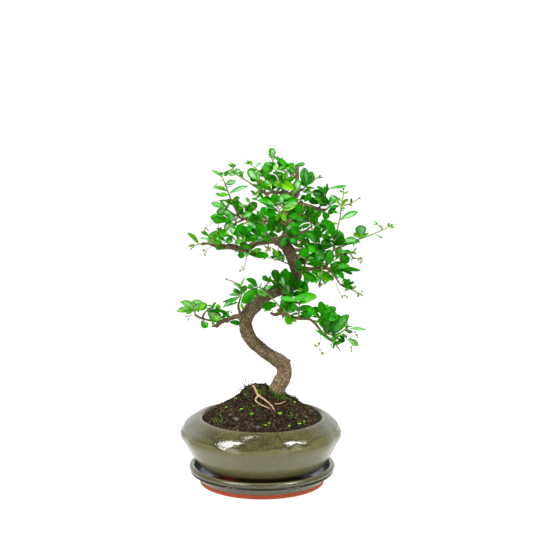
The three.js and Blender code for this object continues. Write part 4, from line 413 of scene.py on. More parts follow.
# Leaves that show in that view and have no solid of their own: the foot's right and up, the tip's right and
# up, how far back the tip is from the foot, the seen width, how old it looks, and its shade: painted shade
# under a half, a painted sheen over a half.
ADDED_LEAVES = rows_of(8, """
2.6 302.5 4 315.5 -2 8.5 .45 .55  11.5 311 11 318.5 -1 4 .7 .4  24 312 15.5 319.5 -2 6.5 .7 .5
16 299 8 304.5 2 6 .85 .35  14 299 6.5 296 1 6 .6 .45  9 290 2 297 0 6.5 .5 .55  10 290 14.5 297.5 1 6 .9 .35
21 291 14.5 295.5 -3 6 .55 .9  4 291 -4.5 299 -1 7 .35 .6  0 290 -5.5 302 -1 4.5 .45 .75
26 298 17.5 301 1 4.5 .85 .3  22 298 33 302.5 1 5 .8 .4  19 300 18.5 308.5 1 4.5 .85 .35
22 300 24 306.5 0 3.5 .3 .5  24 304.5 28.5 309.5 0 2.6 .35 .6  34 307.5 27.5 313 -1 5 .6 .55
43 293 41.5 312.5 -3 6.5 .75 .5  43.5 292.5 50.5 308.5 -1 8 .55 .6  63 284 50.5 289 -2 7 .85 .45
41 287.5 52.5 287 -2 3 .6 .85  42 278 49 286.5 0 6 .85 .4  57 276 46.5 281.5 1 7 .8 .4
38 280 43.5 284.5 0 5 .95 .25  60 276 53 282.5 -1 5.5 .8 .45  58 275 61 284 0 5 .7 .5
64 283 59 275 0 5.5 .55 .55  36 277 41.5 277 2 5 .95 .25  21 273 36.5 277.5 -4 8 .5 .8
19 275 19.5 285.5 -2 6.5 .5 .85  14 275 10.5 286 -1 5.5 .65 .5  9 280 1 282.5 1 4 .8 .4
15 277 6 282 1 5 .7 .45  27 283 31.5 277 0 4 .4 .6  74 280.5 69 284 -1 5 .6 .85
-5 301.5 -14 309 -2 7.5 .6 .85  0 304 -6 308 0 4 .55 .9  -6.5 312.5 0 317.5 0 1.8 .5 .85
-38 307.5 -41.2 305.4 0 2 .85 .4  -33.2 309.5 -37.6 304 -1 4 .85 .45  -26 305.5 -33.5 306.5 1 4 .5 .95
-21.5 303.5 -17.4 308.8 -1 2.2 .1 .6  -21.8 303.5 -22.4 309 -1 2.6 .15 .6
-37 295.5 -26.4 298.7 -2 4.8 .55 .5  -4 291.5 -8.7 296.5 -1 3 .1 .6  -29.5 274 -22 276.5 -1 5 .7 .5
15 265.5 2 268.5 1 9 .75 .45  17 261.5 6 262.5 0 7 .7 .4  9 260 4 248 -1 6 .6 .55
21 257 14 247.5 0 7 .85 .35  22.5 254 23.5 246.5 0 5 .7 .45  4.5 241 -12.5 242 -4 8.5 .6 .6
0 241.5 -4.5 243 -5 4 .5 .95  11 243 -2 238.2 -2 4 .7 .5  14 249 6.5 252.5 1 6 .7 .45
-34 258.5 -51 261.5 -2 7 .8 .45  -35 258 -48 257.5 0 4 .6 .8  -30.5 244 -36 237 -1 5 .65 .5
-37 233.5 -46.5 231.2 -2 4.5 .6 .5  -40 238.5 -45.5 237 -1 3.5 .7 .4  -14.2 225.6 6.8 224.6 -1 7 .8 .45
-15.5 230 -23.5 227.5 0 4.5 .85 .4  -14 254 -5 248.5 0 5 .7 .4  -16 239.5 -27.5 236.5 -2 4.5 .4 .6
-29 246 -22.5 248 0 6 .8 .4  -19 257.5 -24 249 -1 7 .75 .4  -40 250 -50 242.5 -2 5 .55 .55
-33 251 -43 247 0 5 .6 .75  -37 255 -32 262.5 0 5 .6 .5  -26 258 -35 267 0 5 .55 .85
28 250.5 41 244 -1 7.5 .6 .5  43 257.5 28 253.5 0 5.5 .65 .5  28 264.5 46.5 259.5 -3 6.5 .55 .9
26 266.5 44 272.5 -2 7.5 .95 .35  27 243 46 238.2 0 5 .95 .35  47 233.5 39.5 223 -2 9 .7 .5
71 240 58.5 237 0 6 .7 .45  72 234 60 232 1 5 .85 .35  62 229.5 54.5 236.5 2 6 .9 .35
72 242 60 243 1 5 .8 .4  61 215.5 47 220 1 7 .8 .4  56 213.5 44 216 0 4 .85 .35  68 218 63 221 1 5 .8 .4
76 250.5 81.5 240.5 0 4 .8 .4  80 238 93 241.7 -1 4.2 .55 .95  81 236 99 238.5 -2 4.5 .5 .95
80 224.5 86.5 217 -2 9 .65 .5  59 207 64 199 -1 4.5 .3 .5  65 207 71.5 199.5 -1 5 .35 .55
55 207.5 61 202.5 -1 4 .35 .6  69 202.5 62 199 0 3 .15 .6  75 217 68.5 212.5 -1 5 .65 .5
40 209 50 200 -2 8 .6 .5  34 237 28 241.5 -3 5 .6 .55  37 234 42 238 1 4.5 .95 .3
49 263.5 56.5 267.5 0 6 .6 .5  50 258 44 262.5 1 5 .8 .4  51 258 56 263 1 5 .75 .45
39 254 32.5 257.5 1 4.5 .6 .5  58 256 64 260.5 0 4 .7 .5  54 244 48 248.5 -1 5.5 .65 .5
27 185 20.3 203.2 -6 5.2 .5 .97  26.5 183.5 18 194 -5 4.2 .45 .6  31.5 191.5 26.5 208.5 -1 8 .85 .4
27 183.5 43.5 186.5 -3 5.5 .6 .5  36.5 179.5 18 182 -4 5.5 .5 .65  18 175 34 170.2 -4 10 .65 .5
32.8 164 23 158 -2 9.4 .6 .5  33 162 50.5 165 -1 5.5 .6 .55  38 169 52 172.5 -1 4 .5 .6
34 168 19 167.5 -3 3 .4 .7  11 170 1.5 168.4 0 2.3 .4 .55  -5 187 4 183.5 -2 2.5 .35 .75
1 190 -8 188 -2 3 .4 .65  31 177 22 178 -2 4.5 .75 .35  19 172 14.5 168.5 -2 2.6 .3 .6
41 191 35.5 189.5 -5 3.6 .2 .6  10 194 2.5 190.5 -2 3.4 .5 .85  -57 176.5 -69.4 178.5 -1 5.5 .5 .9
-68 170 -76 166.5 -1 4 .3 .55  -69 173.5 -84 171.2 0 2 .5 .9  -65 170 -54.7 176 -2 7.5 .55 .5
-55.5 170.5 -43.5 159.2 -2 9.5 .5 .8  -47 172.5 -54.8 174.5 0 2 .6 .6  -33 167.5 -54 169 -3 3.6 .85 .4
-22 178 -36 173.2 -1 2 .55 .6  -22 184 -33.5 184.6 0 2 .5 .85  -21 188.5 -26.2 187 -1 3.6 .45 .8
-61 159 -55.4 152 -1 6.3 .6 .5  -33.5 158 -21.5 155.7 -3 5.2 .5 .5  -49.5 160 -48.2 154 -2 3 .1 .55
-21 177 -19.2 170.5 -4 3 .1 .5  -15 174 -18.8 168 -4 2.6 .2 .55  -41 161.5 -35.5 165.5 -1 3.5 .8 .4
63.5 160 58 178.5 -2 8.5 .8 .5  68 149 57 162.5 0 8.5 .9 .4  65 146.5 59.5 158 1 5 .9 .35
60 167.5 51 172.5 1 5.5 .85 .4  70 151 72 165.5 -3 6 .85 .55  83 155 85.3 150 0 2 .8 .4
70.5 136 80 148.7 -1 2.6 .15 .7  79 146 85.5 142.7 0 3 .6 .5  75 142 82 137.7 0 4.2 .85 .4
84.5 141 96.3 134.5 -1 6 .5 .97  49 163.5 57 162.5 0 2 .85 .4  51 159.5 58 157.5 0 1.8 .8 .4
-12 237.5 -20 247.5 2 7 .8 .25  -13.5 240 -11 247.5 1 4 .7 .35  16.5 243.5 7 247.7 2 4.5 .85 .2
18 267 4.5 275 2 4.5 .8 .3  6 273.5 -5 279.7 2 2.6 .7 .5  36 251 48 256 3 4.5 .85 .2
40 250 33.5 253.5 3 3.5 .85 .2  29 236.5 41.5 233 4 4.2 .9 .15  37.5 223.5 43 215.5 3 5 .95 .15
76 275 66 266.5 4 6 .8 .3  77.5 273 69 272.5 2 3.5 .7 .5  65.5 290.8 85.3 294 1 3.2 .5 .8
10.2 321 10.8 332 -2 6.4 .45 .75  2.2 234 5.2 232.4 0 1.7 .6 .6  15.5 230.5 20 223 -1 4 .4 .6
67 207 49 208.6 2 3 .6 .5  53 208 56.5 202.5 2 3 .6 .4  81 208.5 90.5 206 1 3.2 .7 .5
78 194.5 85.5 192.5 1 3 .6 .5  72.5 218.5 79.5 215.5 2 4.4 .7 .4  62.5 243 67 249.5 2 4.2 .8 .3
29.5 260.5 35.5 258 2 3.2 .8 .2  6.5 260.7 -.5 264 2 3.2 .85 .2  65.5 274 58 276.5 2 3.6 .7 .4
22 275.5 24.5 282.5 2 4 .7 .4  2 280.5 -3 287.5 2 4 .7 .4  -6 284 -11.5 289.5 1 3 .4 .6
-4 279.5 -10.5 281.5 1 2.6 .5 .5  41 288 49 292 1 3.4 .6 .6  50.5 286 55.5 283.5 1 3 .7 .4
0 310.5 8.5 317.2 1 4 .5 .6  33 315 43.5 316.5 1 2.8 .5 .7  22.5 306.5 10.5 307.5 2 3.6 .7 .4
-12 277 -16 282.5 1 3.6 .5 .6  -41 264.5 -35 268 2 3 .6 .5  39.5 266 47.5 262.5 3 5 .85 .25
34 247 25.5 244 3 4.6 .9 .15  0 254 -7.5 258.5 3 4.6 .85 .2  56 255.5 63.5 251.5 3 4.6 .85 .25
19.5 255 24.5 248.5 3 4.6 .9 .15  46 237 53.5 233 3 4.6 .85 .25  4 238.5 -5.5 240 3 4.4 .85 .25
29 204.5 21.5 208.5 3 4.8 .85 .25  13 198 4.5 200.5 2 4 .7 .4  1 182.5 -7 186.5 2 4.6 .8 .3
24 176.5 32 179.5 2 4.6 .85 .3  13.5 177 6.5 173.5 2 4.6 .85 .3  99 243.5 98.5 255 -5 11 .85 .8
-36.5 238.5 -43.5 243.5 2 4 .8 .3  -27.5 232.5 -21 228.5 2 4 .8 .3  -39.5 283 -46.5 286.5 1 3 .5 .6
40 204 34 199 2 5 .85 .2  49.5 227.5 56.5 224.5 2 4 .85 .25  -2.5 249 -4 265 -6 9 .9 .3
-5 250.5 -14.7 257.7 -5 5 .6 .92  5.5 248.5 10 264.5 -6 6 .85 .35  5 263.5 1 273 -4 5 .6 .5
10.5 251.5 18 264 -5 7 .9 .25  11 243.5 -3 237.5 -7 6.2 .8 .6  -3 242.5 -13 240 -5 6 .45 .45
25 243 35.5 237 -5 5 .9 .35  25 248.5 37 257 -6 8 .7 .5  24 260.5 37.5 270 -5 9 .95 .2
21 250 29 255 -3 5 .9 .3  8 273.5 -3.5 280.5 -5 5 .5 .85  12.5 270.5 4 276 -4 4 .55 .6
21 276.5 36.5 278 -6 6 .5 .97  -19 263 -10 267 -5 5.5 .5 .9  -17 272 -24 276.5 -5 4.5 .4 .97
-17 243.5 -23 254 -4 7.5 .85 .35  59 242 53 253.7 -4 7 .95 .3  53 242 42.5 246 -5 5 .8 .4
38 244 29.5 253 -4 7.5 .85 .4  28.5 263.5 47 258.7 -8 6.6 .6 .97  28 266 44 271 -6 6 .97 .15
47 263 57 267 -5 5 .95 .25  67 274 73 284.7 -5 7.5 .6 .88  63 276 56 282 -4 6 .35 .5
60 283.5 52 287.5 -3 4 .5 .9  76 267 70 269 0 3 .5 .5  81.5 235 95 241 -3 5 .5 .97
98 244 91.5 246 -2 3.5 .2 .5  82 236.5 76 247.5 -2 4 .7 .35  74 234 79.5 244 -4 7 .4 .45
-4.5 300 -14 309.7 -5 8 .5 .97  0 305 -6 309 -3 4 .4 .9  6 314 2 304.7 -4 7 .45 .5
10.5 314.7 1 316 -3 3 .4 .95  13 312.5 10.5 318.5 -2 4 .7 .35  13.5 322.5 24.5 314.5 -4 5.5 .5 .5
15 310 23 313.5 -3 3 .4 .9  28 308.3 32.5 314 -3 5 .65 .4  14 299 5 304.8 -3 7 .9 .25
17 298.7 32.5 302 -3 4.5 .85 .4  6 292 -4.5 299 -5 8 .4 .45  17.5 299 15.5 291.5 -7 6 .45 .97
19 286 17 277.7 -5 7 .65 .85  62 218 53 228.7 -5 9 .75 .42  67.3 216 68.3 230.5 -6 8.3 .7 .55
47 221.7 37.5 229.7 -5 7.5 .9 .35  46 235 53.5 228 -6 6.5 .5 .52  90 227.7 82.5 229 -2 3 .4 .35
65 213 49.5 215.5 -4 4 .7 .5  81 196 88 200.5 -3 4 .8 .3  82 195 91 191.5 -3 4.3 .8 .3
80 198.5 84.5 201.2 -2 3 .6 .5  29.5 197 46.5 191 -7 11 .7 .42  29.5 180.5 55 183 -7 8.5 .5 .55
52.5 207.5 60 200.5 -3 4.5 .35 .45  61.5 205.5 67.5 199 -3 4.5 .3 .5  55 209.5 49 205.5 -2 3.5 .5 .5
-5 245 -13.5 240 -4 6.5 .75 .6  -7 238 3.5 243 -5 6 .5 1  -19 238 -21 243 -6 1.6 .05 .6
-18 238 -16.5 243.5 -6 1.5 .05 .6  -16 237 -13 242 -6 1.4 .05 .6  -17 236.5 -15.5 239.5 -7 2 .05 .7
24 243.5 19.5 233.5 -8 8 .7 .6  24.5 243 34.5 236.5 -8 5.5 .7 .6  34 244 46.5 237 -6 5.5 1 .05
-46 236 -55.5 239 -3 3 .1 .6  -43 235 -49.5 238.5 -4 2.6 .15 .6  -39 233 -46.5 231.5 -7 3.4 .8 .4
-39 236 -46.5 237.5 -5 3 .9 .2  -50 239.5 -62.5 241.7 0 1.5 .25 .6  70 146 69.5 171.5 3 12 .9 .45
96 241.5 107 246.5 -3 3.5 .3 .5  98 242.5 91.5 247 -2 4.5 .3 .5  86 151.5 104.5 150.2 -2 3.2 .4 .9
6.5 231.1 3.9 231.8 0 2.5 -1 .5  6.6 231.4 5.9 233.8 0 2.5 -1 .5  6.9 231.4 9.3 232.6 0 2.5 -1 .5
6.9 231 8.9 229.1 0 2.5 -1 .5  6.6 230.9 5.2 228.7 0 2.5 -1 .5  6.3 231.7 7.3 230.5 -1.2 1.6 .3 .2
4.6 228.4 3 229.6 0 1.9 .3 .4  -10 227.2 -13 231 -1 2 .1 .6  -4.5 227.2 -6.4 230.8 -1 1.8 .05 .6
-21.7 193 -28.2 196.4 -1 2.2 .05 .6  -21.7 192.5 -18.2 200 -1 1.8 .05 .6
""")

# Thin stalks that show in that view, and their buds. A stalk is its girth, then its points: right, up.
# A bud is its right, its up and its radius.
STALKS = read_table(own=1, points=2, buds=3, text="""
under_left: .3 points -16.2 229  -16.2 222  -16.6 216  -18 211
buds -18.2 210.5 1  -22 209.3 1.2  -19.7 212.6 .9
under_left_side: .25 points -16.5 217  -19.5 213  -21.7 210
upper_left: .3 points -45 261  -49.3 257.6  -53 254.5  -56.5 252
buds -56.5 252 1.2  -54.2 250.2 1.1  -57.4 249.6 .9
low_hook: .3 points -46 235  -51.4 232.6  -56.5 229.5  -57.4 226
buds -58.3 229.7 1.1  -57 225.2 1.1  -55.6 227.6 .8
right_drop: .28 points 74 196  76.5 190  79.5 184.7  82.5 184.8  85 183.5
buds 80.3 183 1.2  85 182.8 1.2  82.6 184.4 1
right_tip: .32 points 88 191  93 188.4  98.4 186.2
buds 100 189 1.1  96 184 1.3  97.5 186.5 .8  93.3 193.4 1.3
right_fan: .28 points 87 222  93 221.1  98 222.4 buds 99 222 1.1  98.7 217.3 1.1  96.5 219.6 .8
low_front: .26 points 58.5 146  58.6 140  57.5 135  58 130  60 127.5
buds 53 134.7 1.3  56.8 136.7 1.4  58 130 1  60.4 126.7 1.6  54.6 133.8 1
low_outer: .28 points 84 146  89 143.8  94 145.8 buds 93 148 1.1  94.8 145 1.2  95.4 142.6 .9  88.4 141.6 1.1
low_outer_pale: .26 points 79 134  85 133  89 133  89.5 129
buds 91 137 1.3  94.4 138 1.2  89.3 132 1.1  89.5 129 1.1
fringe: .3 points 56 202  58 198.5  58.6 195 buds 59 195.4 1.7  57.8 193 1  63 196.4 1.1
hook: .3 points -76 163.8  -73.4 163.6  -72 162.5  -73.6 160.4 buds -76 163.7 .9  -73.7 160.3 1
fork_left: .75 points -22 191.5  -25 195  -28.3 196.2
fork_right: .75 points -22.2 192  -20 197.5  -17.2 202
left_bits: .35 points -43 291.6  -46 294  -49.7 295 buds -46 295.8 .8
twig_bit: .35 points -35.4 292  -33 293.4  -30.2 293.4
shoot_bit: .3 points -19 302  -21 300.8  -22 299.6
left_top_buds: .3 points -13 231  -11 229.5 buds -12.2 231.4 .9  -10.4 229.6 .9
fan_green: .4 points -33 165  -33.4 168  -31 168.4 buds -33.7 168.4 1  -30.6 167.8 1  -32.8 170.2 .7
knee_green: .35 points -21.5 174  -20.7 176.5
trunk_green: .4 points 44 218  47 219.8  50 220.6
inner_green: .4 points 38 280.4  34 281.4  27 284.4  26 285 buds 28 286.4 1
yellow_twig: .6 points 11 244.7  3 246  -6 247.4  -14 249.4
pale_twig: .85 points 24 285.7  30 283.5  39 279.2
lime_shoot: .55 points 23 258  19 266.5  15 274  13 278
buds 21 260.5 1.4  24.5 259 1.3  19 256.5 1.2  26 261.5 1.1  17 263.5 1.1  22.5 256 1.2
hanging_twig: .4 points 11.5 244  10.5 240  9 236.5
""")

# Surface roots: right, up, height above the soil, radius. The last is only a bit that shows in the scene.
ROOT_START = (12.0, 80.0, 0.0)
ROOTS = list(named_rows(4, """
outer: -3 88 -6 1.6  -8 91 -5 1.5  -9.4 93.6 -1.6 1.4  -7.8 93 .7 1.4  -5.5 88 .9 1.4  -4 84.6 .9 1.3
-6.5 80 .7 1.1  -2.5 76 .6 1  4 73 .3 .9  8 71 -2.5 .8
inner: -4 86 -4 1.3  -4.6 85.4 -.6 1.2  -2.5 84 .5 1.2  2.4 80.3 .8 1.1  8.4 75.5 .7 1  12 70.6 .2 .8
14 68 -2.5 .7
bit: 13 76.5 -2 1  14.5 76 .2 .9  18 76.4 .7 .8  22 78 .1 .7  25 79 -2 .6
""").values())

# The lower edge of the dark glaze on the bowl's shoulder: degrees round the bowl, height
DRIP_EDGE = rows_of(2, """
10 59  25 57  40 56  60 53  78 57  95 56  112 58  130 54.5  146 58  160 57  175 59  190 56.5  204 57.5
217 55.7  226 56  234 55.4  239 53  243 52.1  248 55.4  255 53.6  262 53.6  271 54.2  280 56.3  288 55.1
296 59.3  302 55.4  313 59.3  325 59.9  340 61.1  352 58
""")

# How old the leaves of a spray look, from fresh and pale to deep green. Other sprays have the usual age.
USUAL_AGE = 0.62
AGES = {}
for row in """
.1 lime_top
.15 tall_twig
.2 left_tip far_right_shoot
.3 lime_front left_shoot_tip upper_left_tip upper_left_second
.35 top_twig
.4 low_left_tip
.45 light_top
.5 low_left_middle upright knot_top
.55 low_right_first low_right_second
.58 low_right_rise
.7 flower_twig
.75 low_right_fan low_right_outer front_left_big
.8 front_center front_right_big
.85 right_big
""".strip().splitlines():
    AGES.update(dict.fromkeys(row.split()[1:], float(row.split()[0])))

# The stops of a leaf's outline are shared by all. Each kind has its fold, roll, arch and side bend as shares
# of the length, its twist in radians, and how wide it is at the stops, as shares of its half width.
LEAF_STATIONS = (0.06, 0.16, 0.3, 0.46, 0.62, 0.77, 0.88, 0.95)
LEAF_KINDS = list(read_table(own=5, left=8, right=8, text="""
plain: .1 .1 .06 0 0 left .16 .4 .7 .92 1 .89 .64 .36
full: .12 .04 .1 0 0 left .13 .34 .63 .88 1 .94 .73 .44
turned: .08 .12 .07 0 .4 left .13 .34 .64 .88 1 .95 .74 .44 right .16 .4 .7 .93 .98 .85 .58 .32
long: .16 .02 .13 .09 -.35 left .18 .44 .76 .96 .98 .79 .5 .26
folded: .22 .04 .05 -.06 0 left .13 .35 .66 .9 1 .91 .68 .4
young: .16 0 .1 0 0 left .18 .44 .77 .97 .98 .81 .54 .3
rolled: .04 .15 .05 0 .3 left .14 .37 .68 .91 1 .92 .7 .4
""").values())
YOUNG_KIND = 5
LONG_KIND = 3
# A leaf that is narrower than this share of its length is of the long kind. Short ones look young.
SLIM_SHARE = 0.34
YOUNG_LENGTH = 9
YOUNG_ADDED_LENGTH = 7
# A twig's line has so many pieces from joint to joint, and is a little thicker at each joint.
TWIG_PIECES = 5
JOINT_SWELL = 1.12
LEAF_THICKNESS = 0.02

# Seen in the view, but too small for the solids: small leaves (foot, tip, how far back, width), by spray
SMALL_LEAVES = named_rows(6, """
left_low_fan: -40.8 230.4 -47.5 232 -27 4.5
upper_left_second: 0 283.8 -7 279.5 -14 2.5  -2 283.5 -10.5 284.2 -15 2.5  1 284 -5.5 288.5 -13 2
top_twig: 35.6 314.8 44 315.2 1 2.5
""")

# Growth of the front view that no solid stands for: what grows on bare limbs makes a piece of its own.
# Of two twigs a nearer one is chosen if it is seen almost as close to the leaf's foot.
LIMB_LEAVES = "limbs"
FRONT_FIRST = 0.15
BARE_STALK = 1.5
FORWARD_SHARE = 0.6

# What grows and lies on the soil in the front view, by right and up. A moss patch has its radius and
# how many tufts, a seedling and a pebble their size.
MOSS = rows_of(4, "-1 90 5 80  15 86 7 130  23 83 6 60  -15 88 5 40  -42 61 7 50  -8 73 8 30  33 66 9 30")
SEEDLINGS = rows_of(3, """
-20 70 3.6  -10.4 64.4 3.2  18 64 3.6  4.8 53.6 3.8  7.5 55.5 2.6  27 52.4 3  37 54.3 3.4  42.3 57.3 2.6
46.6 74 3.6  -55.2 73 2.8  -36 70.8 2.8  -26 81 2.4  -4 88 2.6  9 91 2.8  33 76 2.4
""")
PEBBLES = rows_of(3, "-25.5 61 3.7  -3.7 53.7 3.4  -31 66 2.2  12 60 1.9  44 63 2")
ROOTLETS = [rows_of(2, path) for path in """
-17.2 93  -17 98  -16 102.5 / -11.5 93  -10.4 97  -9 100.5 / -13 94  -18 93.5  -23 91 /
-15 92  -19 96  -20 97.5 / -18 90  -23 90  -27 86 / 27 85  33 84  37 80 / -12 94  -14 97  -13.5 99
""".split("/")]

# Leaves of the front view, by spray and number, that a better placed leaf stands for
LEAVES_LEFT_OUT = {
    "low_right_outer": (0, 3), "right_upper_end": (2,), "top_twig": (1,), "front_center": (0,),
    "left_main_peg": (0,), "far_right_shoot": (0, 1, 2), "back_low_fan": (0, 2)}
# Leaves that look unlike their spray: number, age and shade (painted shade under a half, painted sheen over)
LEAF_LOOKS = named_rows(3, """
light_top: 0 .5 1  1 .4 .7
lime_front: 0 .1 .6
lime_top: 0 0 .5  1 .5 1
left_main_peg: 1 .1 .6  2 .85 .45
left_main_top: 0 .85 .42
flower_twig: 0 .05 .55  1 .35 .8  2 .6 .6
low_left_tip: 0 .35 .75  1 .3 .8  2 .2 .65  3 .35 .8
low_left_middle: 0 .9 .3  2 .3 .75
upper_left_second: 2 .1 .6  3 .1 .6
upper_left_tip: 1 .5 1
left_shoot_tip: 2 .6 .9  3 .6 .95
low_right_rise: 1 .75 .55  2 .85 .45  3 .7 .5
low_right_fan: 0 .9 .5  1 .85 .58  2 .95 .35
low_right_second: 0 .35 .72  2 .6 .5  3 .6 .5
tall_twig: 0 .5 1
far_right_shoot: 3 .6 1
""")
SLIM_LIMBS = {"right_middle": 0.72, "upper_left": 0.8}
GREEN_TWIGS = "far_right_shoot tall_twig flower_twig upper_left_tip upper_left_second left_tip".split()
BARE_TIPS = {"left_knot", "middle_right_b"}
# Where the side twigs stand on the limbs at the back, as shares of the limb's length
BACK_SEED = 4711
BACK_TWIGS = named_rows(1, """
back_high: .3 .42 .55 .68 .8 .92
back_middle: .3 .42 .55 .68 .8 .92
back_left: .3 .42 .55 .68 .8 .92
back_low: .4 .5
back_right: .35 .5 .62 .75 .88
back_top: .3 .5 .7 .9
""")
BACK_TUFT = 3.2
FRONT_TUFT = 5.2


# Values and colours

def tone(*rgb):
    """A colour as read from a screen, 0 to 255, as Blender's linear values."""
    shares = [value / 255 for value in rgb]
    return tuple(share / 12.92 if share <= 0.04045 else ((share + 0.055) / 1.055) ** 2.4 for share in shares)


def dimmed(colour, share):
    return tuple(share * v for v in colour)


def colour_setting(name, description, colour):
    return bpy.props.FloatVectorProperty(
        name=name, description=description, default=tone(*colour), subtype="COLOR", size=3, min=0, max=1)


def length_setting(name, description, millimetres):
    return bpy.props.FloatProperty(
        name=name, description=description, default=millimetres * MM, unit="LENGTH", min=0, precision=4)


def count_setting(name, description, value):
    return bpy.props.IntProperty(name=name, description=description, default=value, min=0)


def drawer(seed):
    """The same draws between 0 and 1 on every run, as the frame's own leaves were drawn."""
    state = (seed * 48271 + 11) % 2147483647

    def draw():
        nonlocal state
        state = (state * 16807) % 2147483647
        return state / 2147483647

    return draw


def clipped(value):
    return min(max(value, 0), 1)


def smooth_step(low, high, value):
    share = min(max((value - low) / (high - low), 0.0), 1.0)
    return share * share * (3 - 2 * share)


def through_points(points, pieces):
    """Tuples on a smooth curve through the given tuples."""
    rows = [tuple(point) for point in points]
    rows = [rows[0]] + rows + [rows[-1]]
    curve = []
    for first, a, b, last in zip(rows, rows[1:], rows[2:], rows[3:]):
        for step in range(pieces):
            t = step / pieces
            curve.append(tuple(
                0.5 * (2 * q + (r - p) * t + (2 * p - 5 * q + 4 * r - s) * t * t
                       + (3 * q - p - 3 * r + s) * t ** 3)
                for p, q, r, s in zip(first, a, b, last)))
    curve.append(rows[-1])
    return curve


def round_value(stops, degrees):
    """A value given at stops round the bowl, smooth in between."""
    before = [(at - 360, value) for at, value in stops[-2:]]
    after = [(at + 360, value) for at, value in stops[:2]]
    ring = before + stops + after
    degrees %= 360
    for (a, low), (b, high) in zip(ring, ring[1:]):
        if a <= degrees <= b:
            return low + (high - low) * smooth_step(a, b, degrees)


# Places in space, in millimetres

def from_front(right, up, back):
    """The point that the front view shows there: square to its line of sight, and how far back."""
    fall, level = math.sin(VIEW["pitch"]), math.cos(VIEW["pitch"])
    above = up - VIEW_MIDDLE["up"]
    ahead = VIEW["reach"] * level + above * fall
    scale = (back + VIEW["distance"]) / ahead
    rise = above * level - VIEW["reach"] * fall
    across = right - VIEW_MIDDLE["right"]
    return Vector((VIEW["side"] + across * scale, back, VIEW["height"] + rise * scale))


def line_of_sight(points, pieces, *back):
    """Places on a smooth line through points of the front view."""
    seen = [tuple(from_front(*point, *back)) for point in points]
    return [Vector(place) for place in through_points(seen, pieces)]


def soil_height(x, y):
    away = math.hypot(x - SOIL_TOP_X * max(1 - math.hypot(x, y) / SOIL_MOUND_RADIUS, 0), y)
    height = SOIL_EDGE_HEIGHT + SOIL_MOUND_RISE * max(1 - away / SOIL_MOUND_RADIUS, 0) ** SOIL_MOUND_CURVE
    for knoll_x, knoll_y, rise, radius in KNOLLS:
        height += rise * math.exp(-1.6 * (math.hypot(x - knoll_x, y - knoll_y) / radius) ** 2)
    return height + SOIL_LUMP * math.sin(0.31 * x + 1.2) * math.sin(0.27 * y + 0.4)


def on_soil(right, up, above=0.0):
    """The point of the soil's surface that the front view shows there."""
    back = -SOIL_MOUND_RADIUS
    point = from_front(right, up, back)
    while point.z > soil_height(point.x, point.y) + above and back < SOIL_MOUND_RADIUS:
        back += 0.25
        point = from_front(right, up, back)
    return point


# Meshes and pieces

def new_mesh(name, points, faces=(), edges=()):
    """A mesh in metres from points in millimetres."""
    mesh = bpy.data.meshes.new(name)
    mesh.from_pydata([Vector(point) * MM for point in points], edges, faces)
    mesh.update()
    return mesh


def keep_values(mesh, name, values, domain="POINT"):
    """Store one value, or one vector, for each point or face."""
    vector = hasattr(values[0], "__len__")
    whole = all(isinstance(value, int) for value in values)
    layer = mesh.attributes.new(name, "FLOAT_VECTOR" if vector else "INT" if whole else "FLOAT", domain)
    if vector:
        layer.data.foreach_set("vector", [part for value in values for part in value])
    else:
        layer.data.foreach_set("value", values)


def linked(name, data):
    item = bpy.data.objects.new(name, data)
    bpy.context.scene.collection.objects.link(item)
    return item


def new_piece(mesh, *materials):
    for material in materials:
        mesh.materials.append(material)
    return linked(mesh.name, mesh)


def settle(piece, slot, *nodes):
    """The piece rides on the one body and stands for the nodes it covers. Its slot is not used."""
    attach(piece, BODY)
    if nodes:
        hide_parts(*nodes)


def shade_smooth(mesh, sharp_angle=None):
    mesh.shade_smooth()
    if sharp_angle:
        mesh.set_sharp_from_angle(angle=math.radians(sharp_angle))


def lathe(name, profile, segments, reshape=None, downward=False):
    """A turned body from [radius, height] points, going up or downward. One on the axis is a closed pole."""
    points = []
    rows = []
    for radius, height in profile:
        count = 1 if radius == 0 else segments
        rows.append([len(points) + i for i in range(count)])
        for i in range(count):
            turn = 2 * math.pi * i / segments
            point = Vector((radius * math.cos(turn), radius * math.sin(turn), height))
            points.append(reshape(point) if reshape else point)
    faces = []
    closed = profile[0][0] > 0
    for lower, upper in zip(rows, rows[1:] + rows[:1] if closed else rows[1:]):
        for i in range(segments):
            j = (i + 1) % segments
            if len(lower) == 1:
                faces.append((lower[0], upper[j], upper[i]))
            elif len(upper) == 1:
                faces.append((lower[i], lower[j], upper[0]))
            else:
                faces.append((lower[i], lower[j], upper[j], upper[i]))
    if downward:
        faces = [(face[0], *face[:0:-1]) for face in faces]
    return new_mesh(name, points, faces)


# Shader and geometry trees

class Wire:
    """One output of a node, so that sums on values can be written as sums."""

    def __init__(self, builder, socket):
        self.builder = builder
        self.socket = socket

    def between(self, low, high):
        """0 below the low value, 1 above the high one, smooth in between."""
        return self.builder.wire("ShaderNodeMapRange", {"Value": self, "From Min": low, "From Max": high},
                                 interpolation_type="SMOOTHSTEP")


def maths(operation, swapped=False):
    def method(self, other=0.0):
        first, second = (other, self) if swapped else (self, other)
        return self.builder.wire("ShaderNodeMath", {0: first, 1: second}, operation=operation)
    return method


for operation, name, swapped_name in (
        ("ADD", "__add__", "__radd__"), ("SUBTRACT", "__sub__", "__rsub__"),
        ("MULTIPLY", "__mul__", "__rmul__"), ("POWER", "__pow__", ""), ("SINE", "sine", ""),
        ("ABSOLUTE", "size", ""), ("MINIMUM", "least", ""), ("MAXIMUM", "most", "")):
    setattr(Wire, name, maths(operation))
    if swapped_name:
        setattr(Wire, swapped_name, maths(operation, True))


